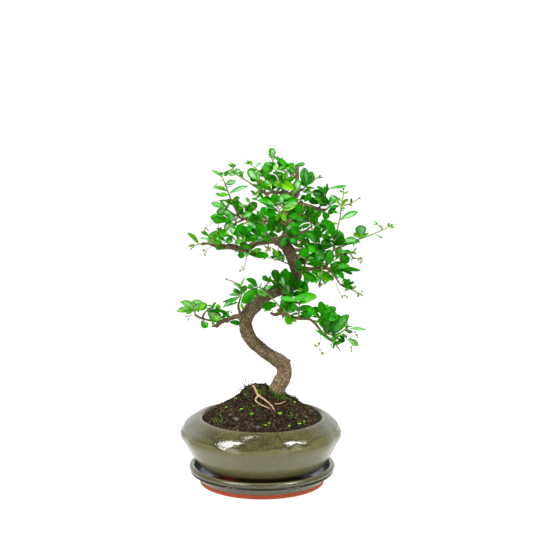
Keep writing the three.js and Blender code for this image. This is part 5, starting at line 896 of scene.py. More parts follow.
class Builder:
    """Adds nodes to one tree. Kinds of node that belong to its family are named in short."""
    family = "ShaderNode"

    def __init__(self, tree):
        self.tree = tree

    def add(self, kind, values=None, **settings):
        """One node: its settings come first, then the values or links of its sockets."""
        node = self.tree.nodes.new(kind if "Node" in kind else self.family + kind)
        for name, value in settings.items():
            setattr(node, name, value)
        for key, value in (values or {}).items():
            socket = node.inputs[key]
            if isinstance(value, Wire):
                self.tree.links.new(value.socket, socket)
            elif socket.type == "RGBA" and len(value) == 3:
                socket.default_value = (*value, 1.0)
            else:
                socket.default_value = value
        return node

    def wire(self, kind, values=None, output=0, **settings):
        return Wire(self, self.add(kind, values, **settings).outputs[output])

    def parts(self, vector):
        return [Wire(self, output) for output in self.add("SeparateXYZ", {0: vector}).outputs]


class Finish(Builder):
    """A material, with the few kinds of pattern that this tree and its pot are painted with."""

    def __init__(self, name, **constants):
        self.material = bpy.data.materials.new(name)
        self.material.use_nodes = True
        super().__init__(self.material.node_tree)
        self.shader = self.tree.nodes["Principled BSDF"]
        for key, value in constants.items():
            self.socket(key).default_value = value
        self.place = self.wire("TexCoord", output="Object")

    def socket(self, key):
        return self.shader.inputs[key.replace("_", " ").title().replace("Ior", "IOR")]

    def value(self, name, output="Fac"):
        return self.wire("Attribute", output=output, attribute_name=name)

    def noise(self, scale, detail=2.0, roughness=0.5, place=None):
        return self.wire("TexNoise", {
            "Vector": place or self.place, "Scale": scale, "Detail": detail, "Roughness": roughness})

    def stretched(self, x, y, z, place=None):
        return self.wire("VectorMath", {0: place or self.place, 1: (x, y, z)}, operation="MULTIPLY")

    def coats(self, body, *layers):
        """A colour with others laid over it one by one: how much of it, and which."""
        for share, colour in layers:
            body = self.wire("Mix", {0: share, 6: body, 7: colour}, output=2, data_type="RGBA")
        return body

    def ramp(self, share, *stops):
        node = self.add("ValToRGB", {0: share})
        elements = node.color_ramp.elements
        while len(elements) < len(stops):
            elements.new(1.0)
        for element, (place, colour) in zip(elements, stops):
            element.position = place
            element.color = (*colour, 1.0)
        return Wire(self, node.outputs[0])

    def set(self, **wires):
        for key, wire in wires.items():
            self.tree.links.new(wire.socket, self.socket(key))

    def relief(self, *layers):
        """Bumps one over another: each is a height and how tall it is in millimetres."""
        under = {}
        for height, tall in layers:
            normal = self.wire("Bump", {"Strength": 1.0, "Distance": tall * MM, "Height": height, **under})
            under = {"Normal": normal}
        self.set(normal=normal)


class Growth(Builder):
    """A Geometry Nodes tree with named inputs that ends in Realize Instances and Set Material."""
    family = "GeometryNode"

    def __init__(self, name, **inputs):
        super().__init__(bpy.data.node_groups.new(name, "GeometryNodeTree"))
        for label, kind in {"Geometry": "Geometry", **inputs}.items():
            self.tree.interface.new_socket(label, in_out="INPUT", socket_type="NodeSocket" + kind)
        self.tree.interface.new_socket("Geometry", in_out="OUTPUT", socket_type="NodeSocketGeometry")
        self.start = self.tree.nodes.new("NodeGroupInput")
        self.end = self.tree.nodes.new("NodeGroupOutput")

    def given(self, label):
        return Wire(self, self.start.outputs[label])

    def stored(self, name, kind="FLOAT"):
        return self.wire("InputNamedAttribute", {"Name": name}, data_type=kind)

    def marked(self, name):
        """Where a stored value is more than a half."""
        return self.wire("FunctionNodeCompare", {0: self.stored(name), 1: 0.5}, data_type="FLOAT",
                         operation="GREATER_THAN")

    def tubes(self):
        """A closed round tube along each line of the plan, as thick as its stored girth."""
        ring = self.wire("CurvePrimitiveCircle", {"Resolution": self.given("Sides"), "Radius": 1.0},
                         mode="RADIUS")
        tube = self.wire("CurveToMesh", {
            "Curve": self.wire("MeshToCurve", {"Mesh": self.given("Geometry")}), "Profile Curve": ring,
            "Scale": self.stored("girth"), "Fill Caps": True})
        return self.wire("SetShadeSmooth", {0: tube})

    def placed(self, points, shapes, **values):
        """A shape of the collection at each point."""
        shapes = self.wire("CollectionInfo", {
            "Collection": self.given(shapes), "Separate Children": True, "Reset Children": True})
        placed = self.wire("InstanceOnPoints", {
            "Points": points, "Instance": shapes, "Pick Instance": True,
            **{key.replace("_", " "): value for key, value in values.items()}})
        return self.realized(placed)

    def realized(self, geometry):
        return self.wire("RealizeInstances", {"Geometry": geometry})

    def painted(self, geometry, label):
        return self.wire("SetMaterial", {"Geometry": geometry, "Material": self.given(label)})

    def finish(self, *parts):
        """The whole tree, ending in its parts joined."""
        whole = parts[0]
        if len(parts) > 1:
            whole = self.wire("JoinGeometry")
            for part in reversed(parts):
                self.tree.links.new(part.socket, whole.socket.node.inputs[0])
        self.tree.links.new(whole.socket, self.end.inputs[0])
        return self.tree


def mesh_of(item, name, **options):
    """The object's mesh as its modifiers make it. The object itself is removed."""
    graph = bpy.context.evaluated_depsgraph_get()
    mesh = bpy.data.meshes.new_from_object(item.evaluated_get(graph), depsgraph=graph, **options)
    bpy.data.objects.remove(item)
    mesh.name = name
    return mesh


def grown(name, plan, tree, **values):
    """What a tree makes of a mesh, as a plain mesh."""
    carrier = linked(name + "_plan", plan)
    modifier = carrier.modifiers.new("growth", "NODES")
    modifier.node_group = tree
    for item in tree.interface.items_tree:
        if item.in_out == "INPUT" and item.name in values:
            modifier[item.identifier] = values[item.name]
    result = mesh_of(carrier, name, preserve_all_data_layers=True)
    bpy.data.meshes.remove(plan)
    return result


# Sizes and colours that a user would change

class BonsaiPotSettings(bpy.types.PropertyGroup):
    glaze: colour_setting("Glaze", "Grey olive glaze on the belly of the bowl", (100, 97, 62))
    glaze_low: colour_setting("Glaze below", "Darker glaze that ran down to the foot", (60, 54, 18))
    shoulder: colour_setting("Shoulder glaze", "Dark second glaze over the shoulder", (78, 76, 40))
    saucer: colour_setting("Saucer glaze", "Grey olive glaze on the saucer", (76, 74, 52))
    clay: colour_setting("Bare clay", "Unglazed terracotta on the feet", (190, 80, 37))
    glaze_thickness: length_setting("Glaze thickness", "How far the shoulder's glaze stands proud", 0.45)
    segments: count_setting("Segments", "How finely the bowl and saucer are turned", 288)


class BonsaiSoilSettings(bpy.types.PropertyGroup):
    soil: colour_setting("Soil", "Damp dark soil", (50, 37, 23))
    moss: colour_setting("Moss", "Moss and small weeds", (74, 132, 16))
    seedling: colour_setting("Seedlings", "Fresh green of the weeds that sprout", (150, 224, 36))
    pebble: colour_setting("Pebbles", "Wet grey grit", (92, 92, 88))
    crumbs: count_setting("Crumbs", "How many large crumbs lie on a square centimetre", 20)
    crumb_size: length_setting("Crumb size", "How wide the largest crumbs are", 4.2)
    fine_crumbs: count_setting("Fine crumbs", "How many small crumbs lie on a square centimetre", 46)
    fine_crumb_size: length_setting("Fine crumb size", "How wide the largest of the small crumbs are", 1.9)
    fibres: count_setting("Fibres", "How many fibres lie on the mound", 900)


class BonsaiWoodSettings(bpy.types.PropertyGroup):
    bark: colour_setting("Bark", "Grey-brown bark", (122, 102, 72))
    bark_light: colour_setting("Worn bark", "Lighter ridges of the bark", (172, 150, 112))
    bark_dark: colour_setting("Fissures", "Dark fissures in the bark", (52, 38, 26))
    root: colour_setting("Root", "Pale skin of the bare roots", (216, 186, 140))
    grain: length_setting("Grain", "Width of the mesh's faces, which sets how fine the bark is cut", 0.6)
    relief: length_setting("Bark relief", "Depth of the fissures on the trunk", 0.55)


class BonsaiLeafSettings(bpy.types.PropertyGroup):
    leaf: colour_setting("Leaf", "Grown leaf, seen from above", (12, 142, 0))
    leaf_deep: colour_setting("Old leaf", "Deep green of the oldest leaves", (8, 92, 0))
    leaf_young: colour_setting("Young leaf", "Fresh lime green of the young leaves", (112, 190, 4))
    # The pale colour of the painted sheen, put on leaves where a glossy leaf would mirror the light
    painted_sheen_colour: colour_setting("Bloom", "Pale waxy bloom on some leaves", (198, 232, 190))
    leaf_under: colour_setting("Underside", "Duller green of the underside", (50, 124, 20))
    petal: colour_setting("Petal", "Cream of the one small flower", (232, 204, 150))
    twig: colour_setting("Twig", "Red-brown skin of the older twigs", (100, 68, 42))
    twig_young: colour_setting("Green twig", "Green skin of the young twigs", (138, 164, 50))
    stem_sides: count_setting("Stem sides", "Sides of a leafy twig's tube", 7)


# The saucer and the bowl

def soft_profile(*runs):
    """Smooth runs of [radius, height] points, with a corner where one run ends and the next begins."""
    profile = []
    for pieces, points in runs:
        curve = through_points(points, pieces) if len(points) > 2 else list(points)
        profile += curve if not profile or curve[0] != profile[-1] else curve[1:]
    return profile


def saucer_profile():
    foot, rise, lip_outside, lip_height, lip_round, floor = SAUCER.values()
    lip_middle = lip_outside - lip_round
    lip = []
    for turn in range(-30, 131, 16):
        angle = math.radians(turn)
        lip.append((lip_middle + lip_round * math.cos(angle), lip_height + lip_round * math.sin(angle)))
    below_lip = (lip_middle + 1.6, lip_height - 4.4)
    groove = [below_lip, (lip_middle + 0.7, lip_height - 3.6), (lip_middle + 1.5, lip_height - 2.4)]
    return soft_profile(
        (1, [(0, 0.5), (foot - 5, 0.5)]),
        (3, [(foot - 5, 0.5), (foot - 4, 0), (foot - 1, 0), (foot, 1), (foot + 0.1, rise)]),
        (4, [(foot + 0.1, rise), (foot + 1.2, rise + 0.7), (foot + 3.9, rise + 5.2), (foot + 6, rise + 7.2),
             below_lip]),
        (3, groove + lip[:1]),
        (1, lip),
        (5, [lip[-1], (66.4, 12.5), (64.6, 8.4), (61, floor + 0.1), (50, floor)]),
        (1, [(50, floor), (0, floor)]))


def pot_outside():
    base, foot, belly, middle, rim, top = POT.values()
    return soft_profile(
        (1, [(DRAIN_RADIUS, base + 3), (foot - 7, base + 3)]),
        (2, [(foot - 7, base + 3), (foot - 6, base), (foot - 0.7, base), (foot, base + 0.7)]),
        (5, [(foot, base + 0.7), (foot + 0.7, base + 3.6), (61, 18), (70.5, 29.5), (77.3, 41)]),
        (6, [(77.3, 41), (belly - 0.9, 47), (belly, middle), (belly - 1.4, middle + 3.6), (76.6, 60.8),
             (69.8, 66), (rim + 1.6, top - 0.3), (rim - 1.2, top)]))


def pot_inside():
    return soft_profile(
        (4, [(POT["rim"] - 1.2, POT["rim_height"]), (POT_MOUTH, 66), (POT_MOUTH + 3.5, 62.5), (72.5, 55.5),
             (75, 47.5), (69.5, 33.5), (59.5, 21.5), (50, POT_FLOOR)]),
        (1, [(50, POT_FLOOR), (DRAIN_RADIUS, POT_FLOOR)]))


def creased(point):
    """The bowl's wall is drawn in at soft creases, and is a little fuller on its left."""
    radius = math.hypot(point.x, point.y)
    if radius < POT["rim"]:
        return point
    pitch = 2 * math.pi / LOBES
    turn = math.atan2(point.y, point.x) - FIRST_CREASE
    off = turn - pitch * round(turn / pitch)
    share = min((radius - POT["rim"]) / (POT["belly"] - POT["rim"]), 1)
    scale = 1 - LOBE_CREASE_DEPTH * share * math.exp(-(off / LOBE_CREASE_WIDTH) ** 2) / radius
    return Vector((point.x * scale - FULLER_LEFT * share, point.y * scale, point.z))


def over_drip_edge(point):
    """How far a point of the bowl is above the lower edge of its shoulder's glaze, in millimetres."""
    turn = math.degrees(math.atan2(point.y, point.x))
    ripple = 0.35 * noise.noise(Vector((0.22 * point.x, 0.22 * point.y, 1.7)))
    return point.z - round_value(DRIP_EDGE, turn) + ripple


def glazed(point, thick):
    """A point of the bowl with its crease, with the second glaze on the shoulder and a slight sway."""
    point = creased(point)
    over = over_drip_edge(point)
    radius = math.hypot(point.x, point.y)
    if radius > POT_MOUTH + 1 and over > -1 and point.z > POT["base"] + 30:
        outward = Vector((point.x / radius, point.y / radius, 0))
        lean = smooth_step(POT["belly_height"], POT["rim_height"], point.z)
        coat = thick * (smooth_step(-0.5, 0.7, over) + 0.35 * math.exp(-((over - 1) / 0.9) ** 2))
        coat *= 1 - smooth_step(POT["rim_height"] - 1.2, POT["rim_height"], point.z)
        point = point + coat * (outward * (1 - 0.6 * lean) + Vector((0, 0, 0.6 * lean)))
    sway = 0.35 * noise.noise(point * 0.045) * smooth_step(POT["foot"], POT["belly"] - 10, radius)
    return point * (1 + sway / max(radius, 1))


def make_glaze(name):
    """Glossy glaze: cloudy, finely speckled, thin and lighter where it ran off an edge."""
    glaze = Finish(name, roughness=0.16, coat_weight=0.25, coat_roughness=0.09)
    cloud = glaze.noise(55, 3, 0.55)
    fine = glaze.noise(620, 2, 0.6)
    speck = glaze.noise(1500, 2, 0.7).between(0.6, 0.72)
    return glaze, cloud, fine, speck, *glaze.parts(glaze.place)


def make_saucer_finish(settings):
    glaze, cloud, fine, speck, x, y, height = make_glaze("saucer_glaze")
    bare = 1 - (height + (cloud - 0.5) * (2.2 * MM)).between(4.1 * MM, 5.1 * MM)
    clay = glaze.coats(settings.clay, (fine, dimmed(settings.clay, 0.72)))
    # Painted reflection: the saucer's inside, towards its left and right, is painted pale blue-white where
    # the glaze would mirror the bright room
    pale = glaze.value("well") * x.size().between(40 * MM, 54 * MM)
    glaze.set(
        base_color=glaze.coats(
            dimmed(settings.saucer, 0.78), (cloud.between(0.3, 0.7), settings.saucer),
            (fine.between(0.45, 0.75) * 0.35, tone(134, 134, 112)), (speck * 0.5, tone(40, 38, 22)),
            (glaze.value("edge") * 0.55, tone(132, 120, 84)),
            (glaze.value("groove") * 0.85, tone(38, 36, 20)),
            (pale * 0.9, tone(176, 188, 202)), (bare, clay)),
        roughness=0.17 + 0.6 * bare + 0.08 * fine, coat_weight=0.3 * (1 - bare))
    glaze.relief((cloud, 0.5), (fine, 0.05), (glaze.noise(2600) * bare, 0.08))
    return glaze.material


def make_pot_finish(settings):
    glaze, cloud, fine, speck, x, y, height = make_glaze("pot_glaze")
    streak = glaze.noise(1, 3, 0.6, glaze.stretched(260, 260, 26))
    wide = glaze.noise(1, 2, 0.5, glaze.stretched(70, 70, 9))
    over, inside = glaze.value("over_drip"), glaze.value("inside")
    low_left = 1 - (x + 0.033).size().between(0.004, 0.016)
    bare = 1 - (height + (cloud - 0.5) * (1.8 * MM) - low_left * (11.5 * MM)).between(9.6 * MM, 10.9 * MM)
    low = 1 - (height + (wide - 0.5) * (3 * MM)).between(20.5 * MM, 23.5 * MM)
    belly = glaze.coats(
        settings.glaze, (low, settings.glaze_low),
        (streak.between(0.42, 0.68) * (0.22 - 0.18 * low), tone(112, 108, 80)),
        (wide.between(0.5, 0.75) * 0.3, tone(84, 80, 48)), (speck * 0.4, tone(60, 56, 30)))
    # Painted reflection: the shoulder's left and right ends are painted pale grey-blue where the glaze would
    # mirror the bright room
    ends = x.size().between(44 * MM, 74 * MM) * height.between(53 * MM, 60 * MM)
    shoulder = glaze.coats(
        settings.shoulder, (cloud.between(0.38, 0.62), dimmed(settings.shoulder, 0.5)),
        (fine.between(0.45, 0.7) * 0.4, tone(132, 124, 84)),
        (ends * (0.05 + 0.35 * cloud), tone(150, 160, 162)))
    covered = over.between(-0.25, 0.25)
    bead = over.between(-0.3, 0.5) * (1 - over.between(0.9, 2.6))
    rim = (height + (cloud - 0.5) * (1.2 * MM)).between(67.3 * MM, 68.5 * MM)
    # Painted shade: just below the bowl's widest, its left and right ends are painted dark where the wall
    # turns away from the light
    corner = x.size().between(77.5 * MM, 80.5 * MM) * height.between(42 * MM, 46 * MM)
    clay = glaze.coats(settings.clay, (fine, dimmed(settings.clay, 0.7)))
    glaze.set(
        base_color=glaze.coats(
            belly, (covered, shoulder), (bead * 0.2, tone(58, 56, 30)), (rim * 0.15, tone(110, 98, 64)),
            (corner * (0.3 + 0.6 * cloud), tone(52, 54, 42)), (inside, clay), (bare, clay)),
        roughness=(0.2 - 0.1 * covered + 0.06 * fine) + 0.6 * bare.most(inside),
        coat_weight=(0.1 + 0.35 * covered) * (1 - bare))
    glaze.relief((cloud, 0.7), (streak, 0.22), (fine, 0.06))
    return glaze.material


class BONSAI_OT_saucer(bpy.types.Operator):
    """Turn the drip saucer, with its lip, its groove and its bare clay foot"""
    bl_idname = "bonsai.saucer"
    bl_label = "Saucer"

    def execute(self, context):
        settings = context.scene.bonsai_pot
        mesh = lathe("saucer_turned", saucer_profile(), settings.segments)
        lip_height, top = SAUCER["lip_height"], SAUCER["lip_height"] + SAUCER["lip_round"]
        lip_middle = SAUCER["lip"] - SAUCER["lip_round"]
        edge, groove, well = [], [], []
        for vertex in mesh.vertices:
            radius, height = math.hypot(*vertex.co[:2]) / MM, vertex.co.z / MM
            outer = radius > lip_middle - 1
            groove.append(math.exp(-((height - lip_height + 3.7) / 0.8) ** 2) if outer else 0.0)
            edge.append(math.exp(-((height - top) / 0.7) ** 2) if radius > lip_middle - 3 else 0.0)
            well.append(1.0 if radius < lip_middle and vertex.normal.z > 0.2 else 0.0)
        for name, values in (("edge", edge), ("groove", groove), ("well", well)):
            keep_values(mesh, name, values)
        shade_smooth(mesh, 50)
        settle(new_piece(mesh, make_saucer_finish(settings)), "saucer", "saucer")
        return {"FINISHED"}


class BONSAI_OT_bowl(bpy.types.Operator):
    """Turn the lobed bowl and run its second glaze over the shoulder"""
    bl_idname = "bonsai.bowl"
    bl_label = "Bowl"

    def execute(self, context):
        settings = context.scene.bonsai_pot
        thick = settings.glaze_thickness / MM
        outside = pot_outside()
        mesh = lathe("bowl_turned", outside + pot_inside()[1:], settings.segments,
                     lambda point: glazed(point, thick))
        first_bare = (len(outside) + 3) * settings.segments
        keep_values(mesh, "inside", [0.0 if i < first_bare else 1.0 for i in range(len(mesh.vertices))])
        keep_values(mesh, "over_drip", [over_drip_edge(vertex.co / MM) for vertex in mesh.vertices])
        shade_smooth(mesh, 50)
        settle(new_piece(mesh, make_pot_finish(settings)), "pot", "pot")
        return {"FINISHED"}


class BONSAI_OT_drainage_mesh(bpy.types.Operator):
    """Give the plastic mesh over the bowl's drainage hole its dark moulded finish"""
    bl_idname = "bonsai.drainage_mesh"
    bl_label = "Drainage mesh"

    def execute(self, context):
        plastic = Finish("drainage_plastic", roughness=0.55)
        dirt = plastic.noise(140, 3, 0.6).between(0.45, 0.65)
        plastic.set(base_color=plastic.coats(tone(34, 38, 32), (dirt * 0.5, tone(70, 54, 38))),
                    roughness=0.5 + 0.25 * dirt)
        plastic.relief((plastic.noise(900, 3, 0.6), 0.08))
        for slot in frame["nodes"]["drainage_mesh"].material_slots:
            slot.material = plastic.material
        return {"FINISHED"}


# The soil and what lies and grows on it

def make_soil_finish(settings):
    """Damp earth. The shade of a crumb takes it from near black over brown and moss grown to pale."""
    soil = Finish("soil_earth", roughness=0.95, specular_ior_level=0.25)
    clod = soil.noise(330, 4, 0.65)
    fine = soil.noise(1400, 3, 0.7)
    dark = dimmed(settings.soil, 0.22)
    body = soil.ramp(
        soil.value("shade"), (0.0, dark), (0.3, dimmed(settings.soil, 0.6)), (0.5, settings.soil),
        (0.7, tone(80, 54, 32)), (0.84, tone(58, 60, 20)), (1.0, tone(116, 92, 64)))
    # Painted shade: the low places of the clod relief are painted near black, as shade in its hollows
    soil.set(base_color=soil.coats(body, (1 - clod.between(0.34, 0.6), dark),
                                   (fine.between(0.56, 0.74) * 0.35, tone(112, 88, 60))),
             roughness=0.97 - 0.35 * clod)
    soil.relief((clod, 1.2), (fine, 0.3))
    return soil.material


def make_fibre_finish():
    fibre = Finish("soil_fibre", roughness=0.8, specular_ior_level=0.3)
    streak = fibre.noise(900, 2, 0.6)
    body = fibre.ramp(
        fibre.value("shade"), (0.0, tone(46, 32, 20)), (0.6, tone(100, 74, 46)), (1.0, tone(176, 148, 106)))
    fibre.set(base_color=fibre.coats(body, (streak * 0.5, tone(44, 30, 20))))
    fibre.relief((streak, 0.1))
    return fibre.material


def make_moss_finish(settings):
    moss = Finish("moss_green", roughness=0.75, specular_ior_level=0.25)
    patch = moss.noise(500, 2, 0.6)
    body = moss.ramp(moss.value("shade"), (0.0, tone(40, 46, 16)), (0.35, tone(66, 84, 18)),
                     (0.7, settings.moss), (1.0, tone(128, 196, 30)))
    moss.set(base_color=moss.coats(body, (patch.between(0.4, 0.7) * 0.5, tone(44, 58, 16))))
    moss.relief((patch, 0.3))
    return moss.material


def make_sprout_finish(settings):
    sprout = Finish("sprout_green", roughness=0.5, specular_ior_level=0.3)
    sprout.set(base_color=sprout.coats(
        settings.seedling, (sprout.noise(700, 2, 0.5), dimmed(settings.seedling, 0.6)),
        (sprout.value("age"), settings.moss)))
    return sprout.material


def make_pebble_finish(settings):
    grit = Finish("pebble_stone", roughness=0.5)
    grain = grit.noise(1300, 3, 0.65)
    dust = grit.noise(260, 3, 0.6).between(0.45, 0.65)
    grit.set(base_color=grit.coats(
        dimmed(settings.pebble, 0.6), (grain.between(0.35, 0.7), settings.pebble),
        (dust * 0.6, tone(60, 46, 32))))
    grit.relief((grain, 0.2))
    return grit.material


def soil_top(x, y):
    """Height of the soil in the scene: the frame's mound with clods and hollows on it."""
    edge = 1 - smooth_step(SOIL_EDGE_RADIUS - 4, SOIL_EDGE_RADIUS, math.hypot(x, y))
    lumps = noise.fractal(Vector((0.16 * x, 0.16 * y, 3.1)), 0.9, 2.1, 3)
    clods = noise.noise(Vector((0.4 * x, 0.4 * y, 9.2)))
    hollows = noise.noise(Vector((0.3 * x, 0.3 * y, 17.4)))
    return soil_height(x, y) + edge * (1.2 * lumps + 1.4 * clods - 1.6 * max(hollows, 0) - 0.8) - 0.25


def make_soil_mesh():
    """The mound, down along the bowl's inside to its floor."""
    segments, rings, top = 220, 84, SOIL_EDGE_HEIGHT
    mound = [(SOIL_EDGE_RADIUS * (ring / rings) ** 0.92, top) for ring in range(rings + 1)]
    below = [(62.6, 62.3), (71.6, 55.2), (74.1, 47.5), (68.6, 33.8), (58.6, 21.8), (49.1, POT_FLOOR + 0.3),
             (18.5, POT_FLOOR + 0.3), (18.0, POT_FLOOR + 1.6), (0, POT_FLOOR + 1.6)]

    def heaped(point):
        return point if point.z < top - 1 else Vector((point.x, point.y, soil_top(point.x, point.y)))

    mesh = lathe("soil_mound", mound + below, segments, heaped, downward=True)
    places = [vertex.co / MM for vertex in mesh.vertices]
    keep_values(mesh, "surface", [
        1.0 if math.hypot(p.x, p.y) < SOIL_EDGE_RADIUS - 1 and p.z > 60 else 0.0 for p in places])
    keep_values(mesh, "shade", [0.3] * len(places))
    shade_smooth(mesh)
    return mesh


def lump_mesh(name, seed, flat, long=1.0):
    """A rough crumb or chip of a few faces."""
    draw = drawer(seed)
    spin = (1 + math.sqrt(5)) / 2
    corners = [Vector(p).normalized() for p in (
        (-1, spin, 0), (1, spin, 0), (-1, -spin, 0), (1, -spin, 0), (0, -1, spin), (0, 1, spin),
        (0, -1, -spin), (0, 1, -spin), (spin, 0, -1), (spin, 0, 1), (-spin, 0, -1), (-spin, 0, 1))]
    faces = """0 11 5  0 5 1  0 1 7  0 7 10  0 10 11  1 5 9  5 11 4  11 10 2  10 7 6  7 1 8
        3 9 4  3 4 2  3 2 6  3 6 8  3 8 9  4 9 5  2 4 11  6 2 10  8 6 7  9 8 1"""
    points = []
    for corner in corners:
        size = 0.5 * (0.7 + 0.55 * draw())
        points.append((corner.x * size * long, corner.y * size * 0.8 / long, corner.z * size * flat))
    mesh = bpy.data.meshes.new(name)
    mesh.from_pydata(points, [], [[int(corner) for corner in face] for face in rows_of(3, faces)])
    shade_smooth(mesh)
    return mesh


def crumb_tree():
    """Scatters small lumps over the soil's surface, pressed a little into it."""
    growth = Growth("Soil crumbs", Lumps="Collection", Finish="Material", Density="Float", Size="Float",
                    Lift="Float", Seed="Int")
    spread = growth.add("DistributePointsOnFaces", {
        "Mesh": growth.given("Geometry"), "Density": growth.given("Density"), "Seed": growth.given("Seed"),
        "Selection": growth.marked("surface")}, distribute_method="RANDOM")
    points, normal = Wire(growth, spread.outputs["Points"]), Wire(growth, spread.outputs["Normal"])
    random = "FunctionNodeRandomValue"
    shade = growth.wire(random, {"Seed": 5}, output=1, data_type="FLOAT")
    points = growth.wire("StoreNamedAttribute", {"Geometry": points, "Name": "shade", "Value": shade},
                         data_type="FLOAT", domain="POINT")
    turn = growth.wire(random, {0: (-0.6, -0.6, 0.0), 1: (0.6, 0.6, FULL_TURN), "Seed": 6},
                       data_type="FLOAT_VECTOR")
    tilt = growth.wire("FunctionNodeAlignRotationToVector", {"Vector": normal}, axis="Z")
    spin = growth.wire("FunctionNodeEulerToRotation", {0: turn})
    turned = growth.wire("FunctionNodeRotateRotation", {0: tilt, 1: spin}, rotation_space="LOCAL")
    share = growth.wire(random, {2: 0.25, 3: 1.0, "Seed": 7}, output=1, data_type="FLOAT")
    lift = growth.wire("ShaderNodeVectorMath", {0: normal, "Scale": growth.given("Lift")}, operation="SCALE")
    points = growth.wire("SetPosition", {"Geometry": points, "Offset": lift})
    whole = growth.placed(points, "Lumps", Rotation=turned, Scale=share * growth.given("Size"))
    return growth.finish(growth.painted(whole, "Finish"))


def strand_tree():
    """Turns planned lines into round strands: fibres, fine roots, stalks and shoots."""
    growth = Growth("Strands", Sides="Int", Finish="Material")
    return growth.finish(growth.painted(growth.realized(growth.tubes()), "Finish"))


def spray_tree():
    """A leafy twig: tubes along its stems, and a blade at each leaf's point."""
    growth = Growth("Leafy spray", Blades="Collection", Leaf="Material", Twig="Material", Sides="Int")
    turn = growth.wire("FunctionNodeEulerToRotation", {0: growth.stored("turn", "FLOAT_VECTOR")})
    leaves = growth.placed(
        growth.given("Geometry"), "Blades", Selection=growth.marked("leaf"), Rotation=turn,
        Instance_Index=growth.stored("kind", "INT"), Scale=growth.stored("size", "FLOAT_VECTOR"))
    return growth.finish(growth.painted(growth.tubes(), "Twig"), growth.painted(leaves, "Leaf"))


class Plan:
    """Lines and points for a tree to grow on, gathered one by one, in millimetres."""

    def __init__(self):
        self.points = []
        self.edges = []
        self.values = {}

    def point(self, place, girth=0.0, **values):
        self.points.append(Vector(place))
        for name, value in {"girth": girth * MM, **values}.items():
            self.values.setdefault(name, []).append(value)

    def line(self, points, girths, **values):
        first = len(self.points)
        for point, girth in zip(points, girths):
            self.point(point, girth, **values)
        self.edges += [(i, i + 1) for i in range(first, len(self.points) - 1)]

    def mesh(self, name):
        mesh = new_mesh(name, self.points, (), self.edges)
        for label, values in self.values.items():
            keep_values(mesh, label, values)
        return mesh


def shape_collection(name, meshes):
    """A collection of shapes for a tree to place. It is removed again once the pieces are made."""
    shapes = bpy.data.collections.new(name)
    for mesh in meshes:
        shapes.objects.link(bpy.data.objects.new(mesh.name, mesh))
    return shapes


def drop_shapes(shapes):
    for shape in list(shapes.objects):
        bpy.data.objects.remove(shape)
    bpy.data.collections.remove(shapes)


def fibre_plan(count):
    """Short curled fibres that lie on the mound."""
    draw = drawer(77)
    plan = Plan()
    for number in range(count):
        turn, away = FULL_TURN * draw(), 57 * math.sqrt(draw())
        x, y = away * math.cos(turn), away * math.sin(turn)
        heading, curl = FULL_TURN * draw(), 0.9 * (draw() - 0.5)
        length, lift = 3 + 9 * draw() ** 2, 0.6 + 2.2 * draw()
        points, girths = [], []
        for step in range(6):
            share = step / 5
            points.append(Vector((x, y, soil_top(x, y) + 0.4 + lift * math.sin(math.pi * share) * share)))
            girths.append((0.1 + 0.16 * draw()) * (1 - 0.5 * share))
            heading += curl
            x += length / 5 * math.cos(heading)
            y += length / 5 * math.sin(heading)
        if max(math.hypot(p.x, p.y) for p in points) < SOIL_EDGE_RADIUS - 0.8:
            plan.line(points, girths, shade=draw())
    return plan


class BONSAI_OT_soil(bpy.types.Operator):
    """Heap the soil, and scatter crumbs, chips and fibres over it"""
    bl_idname = "bonsai.soil"
    bl_label = "Soil"

    def execute(self, context):
        settings = context.scene.bonsai_soil
        earth, fibre = make_soil_finish(settings), make_fibre_finish()
        mound = make_soil_mesh()
        lumps = shape_collection("lumps", [
            lump_mesh(f"lump_{i}", 31 + i, 0.75, 1.0 if i < 4 else 1.7) for i in range(7)])
        for name, density, size, seed in (
                ("soil_crumbs", settings.crumbs, settings.crumb_size, 3),
                ("soil_fine_crumbs", settings.fine_crumbs, settings.fine_crumb_size, 8)):
            crumbs = grown(name, mound.copy(), crumb_tree(), Lumps=lumps, Finish=earth, Size=size,
                           Density=density / (10 * MM) ** 2, Lift=0.2 * MM, Seed=seed)
            settle(new_piece(crumbs), "soil")
        drop_shapes(lumps)
        settle(new_piece(mound, earth), "soil", "soil")
        strands = grown("soil_fibres", fibre_plan(settings.fibres).mesh("fibres"), strand_tree(),
                        Sides=4, Finish=fibre)
        settle(new_piece(strands), "soil")
        return {"FINISHED"}


# The trunk, its limbs and its bare roots

def wood_lines():
    """Smooth lines through the limbs and roots: points in space with their radius."""
    lines = []
    for name, path in LIMBS.items():
        share, more = (1.05, 0.25) if name == "trunk" else (SLIM_LIMBS.get(name, 0.9), 0.0)
        seen = [(*from_front(right, up, back), radius * share + more) for right, up, back, radius in path]
        lines.append((name, through_points(seen, 8)))
    for number, path in enumerate(ROOTS):
        seen = [(*on_soil(right, up, above + 0.4), radius * 0.88) for right, up, above, radius in path]
        if number < 2:
            seen.insert(0, (*from_front(*ROOT_START), path[0][3]))
        lines.append((f"root_{number}", through_points(seen, 6)))
    return lines


def wood_skin(tubes, grain):
    """The tubes grown together into one skin and smoothed where they meet."""
    body = linked("wood_body", tubes)
    skin = body.modifiers.new("skin", "REMESH")
    skin.mode = "VOXEL"
    skin.voxel_size = grain
    ease = body.modifiers.new("ease", "SMOOTH")
    ease.iterations = 3
    ease.factor = 0.5
    return mesh_of(body, "wood_and_bark")


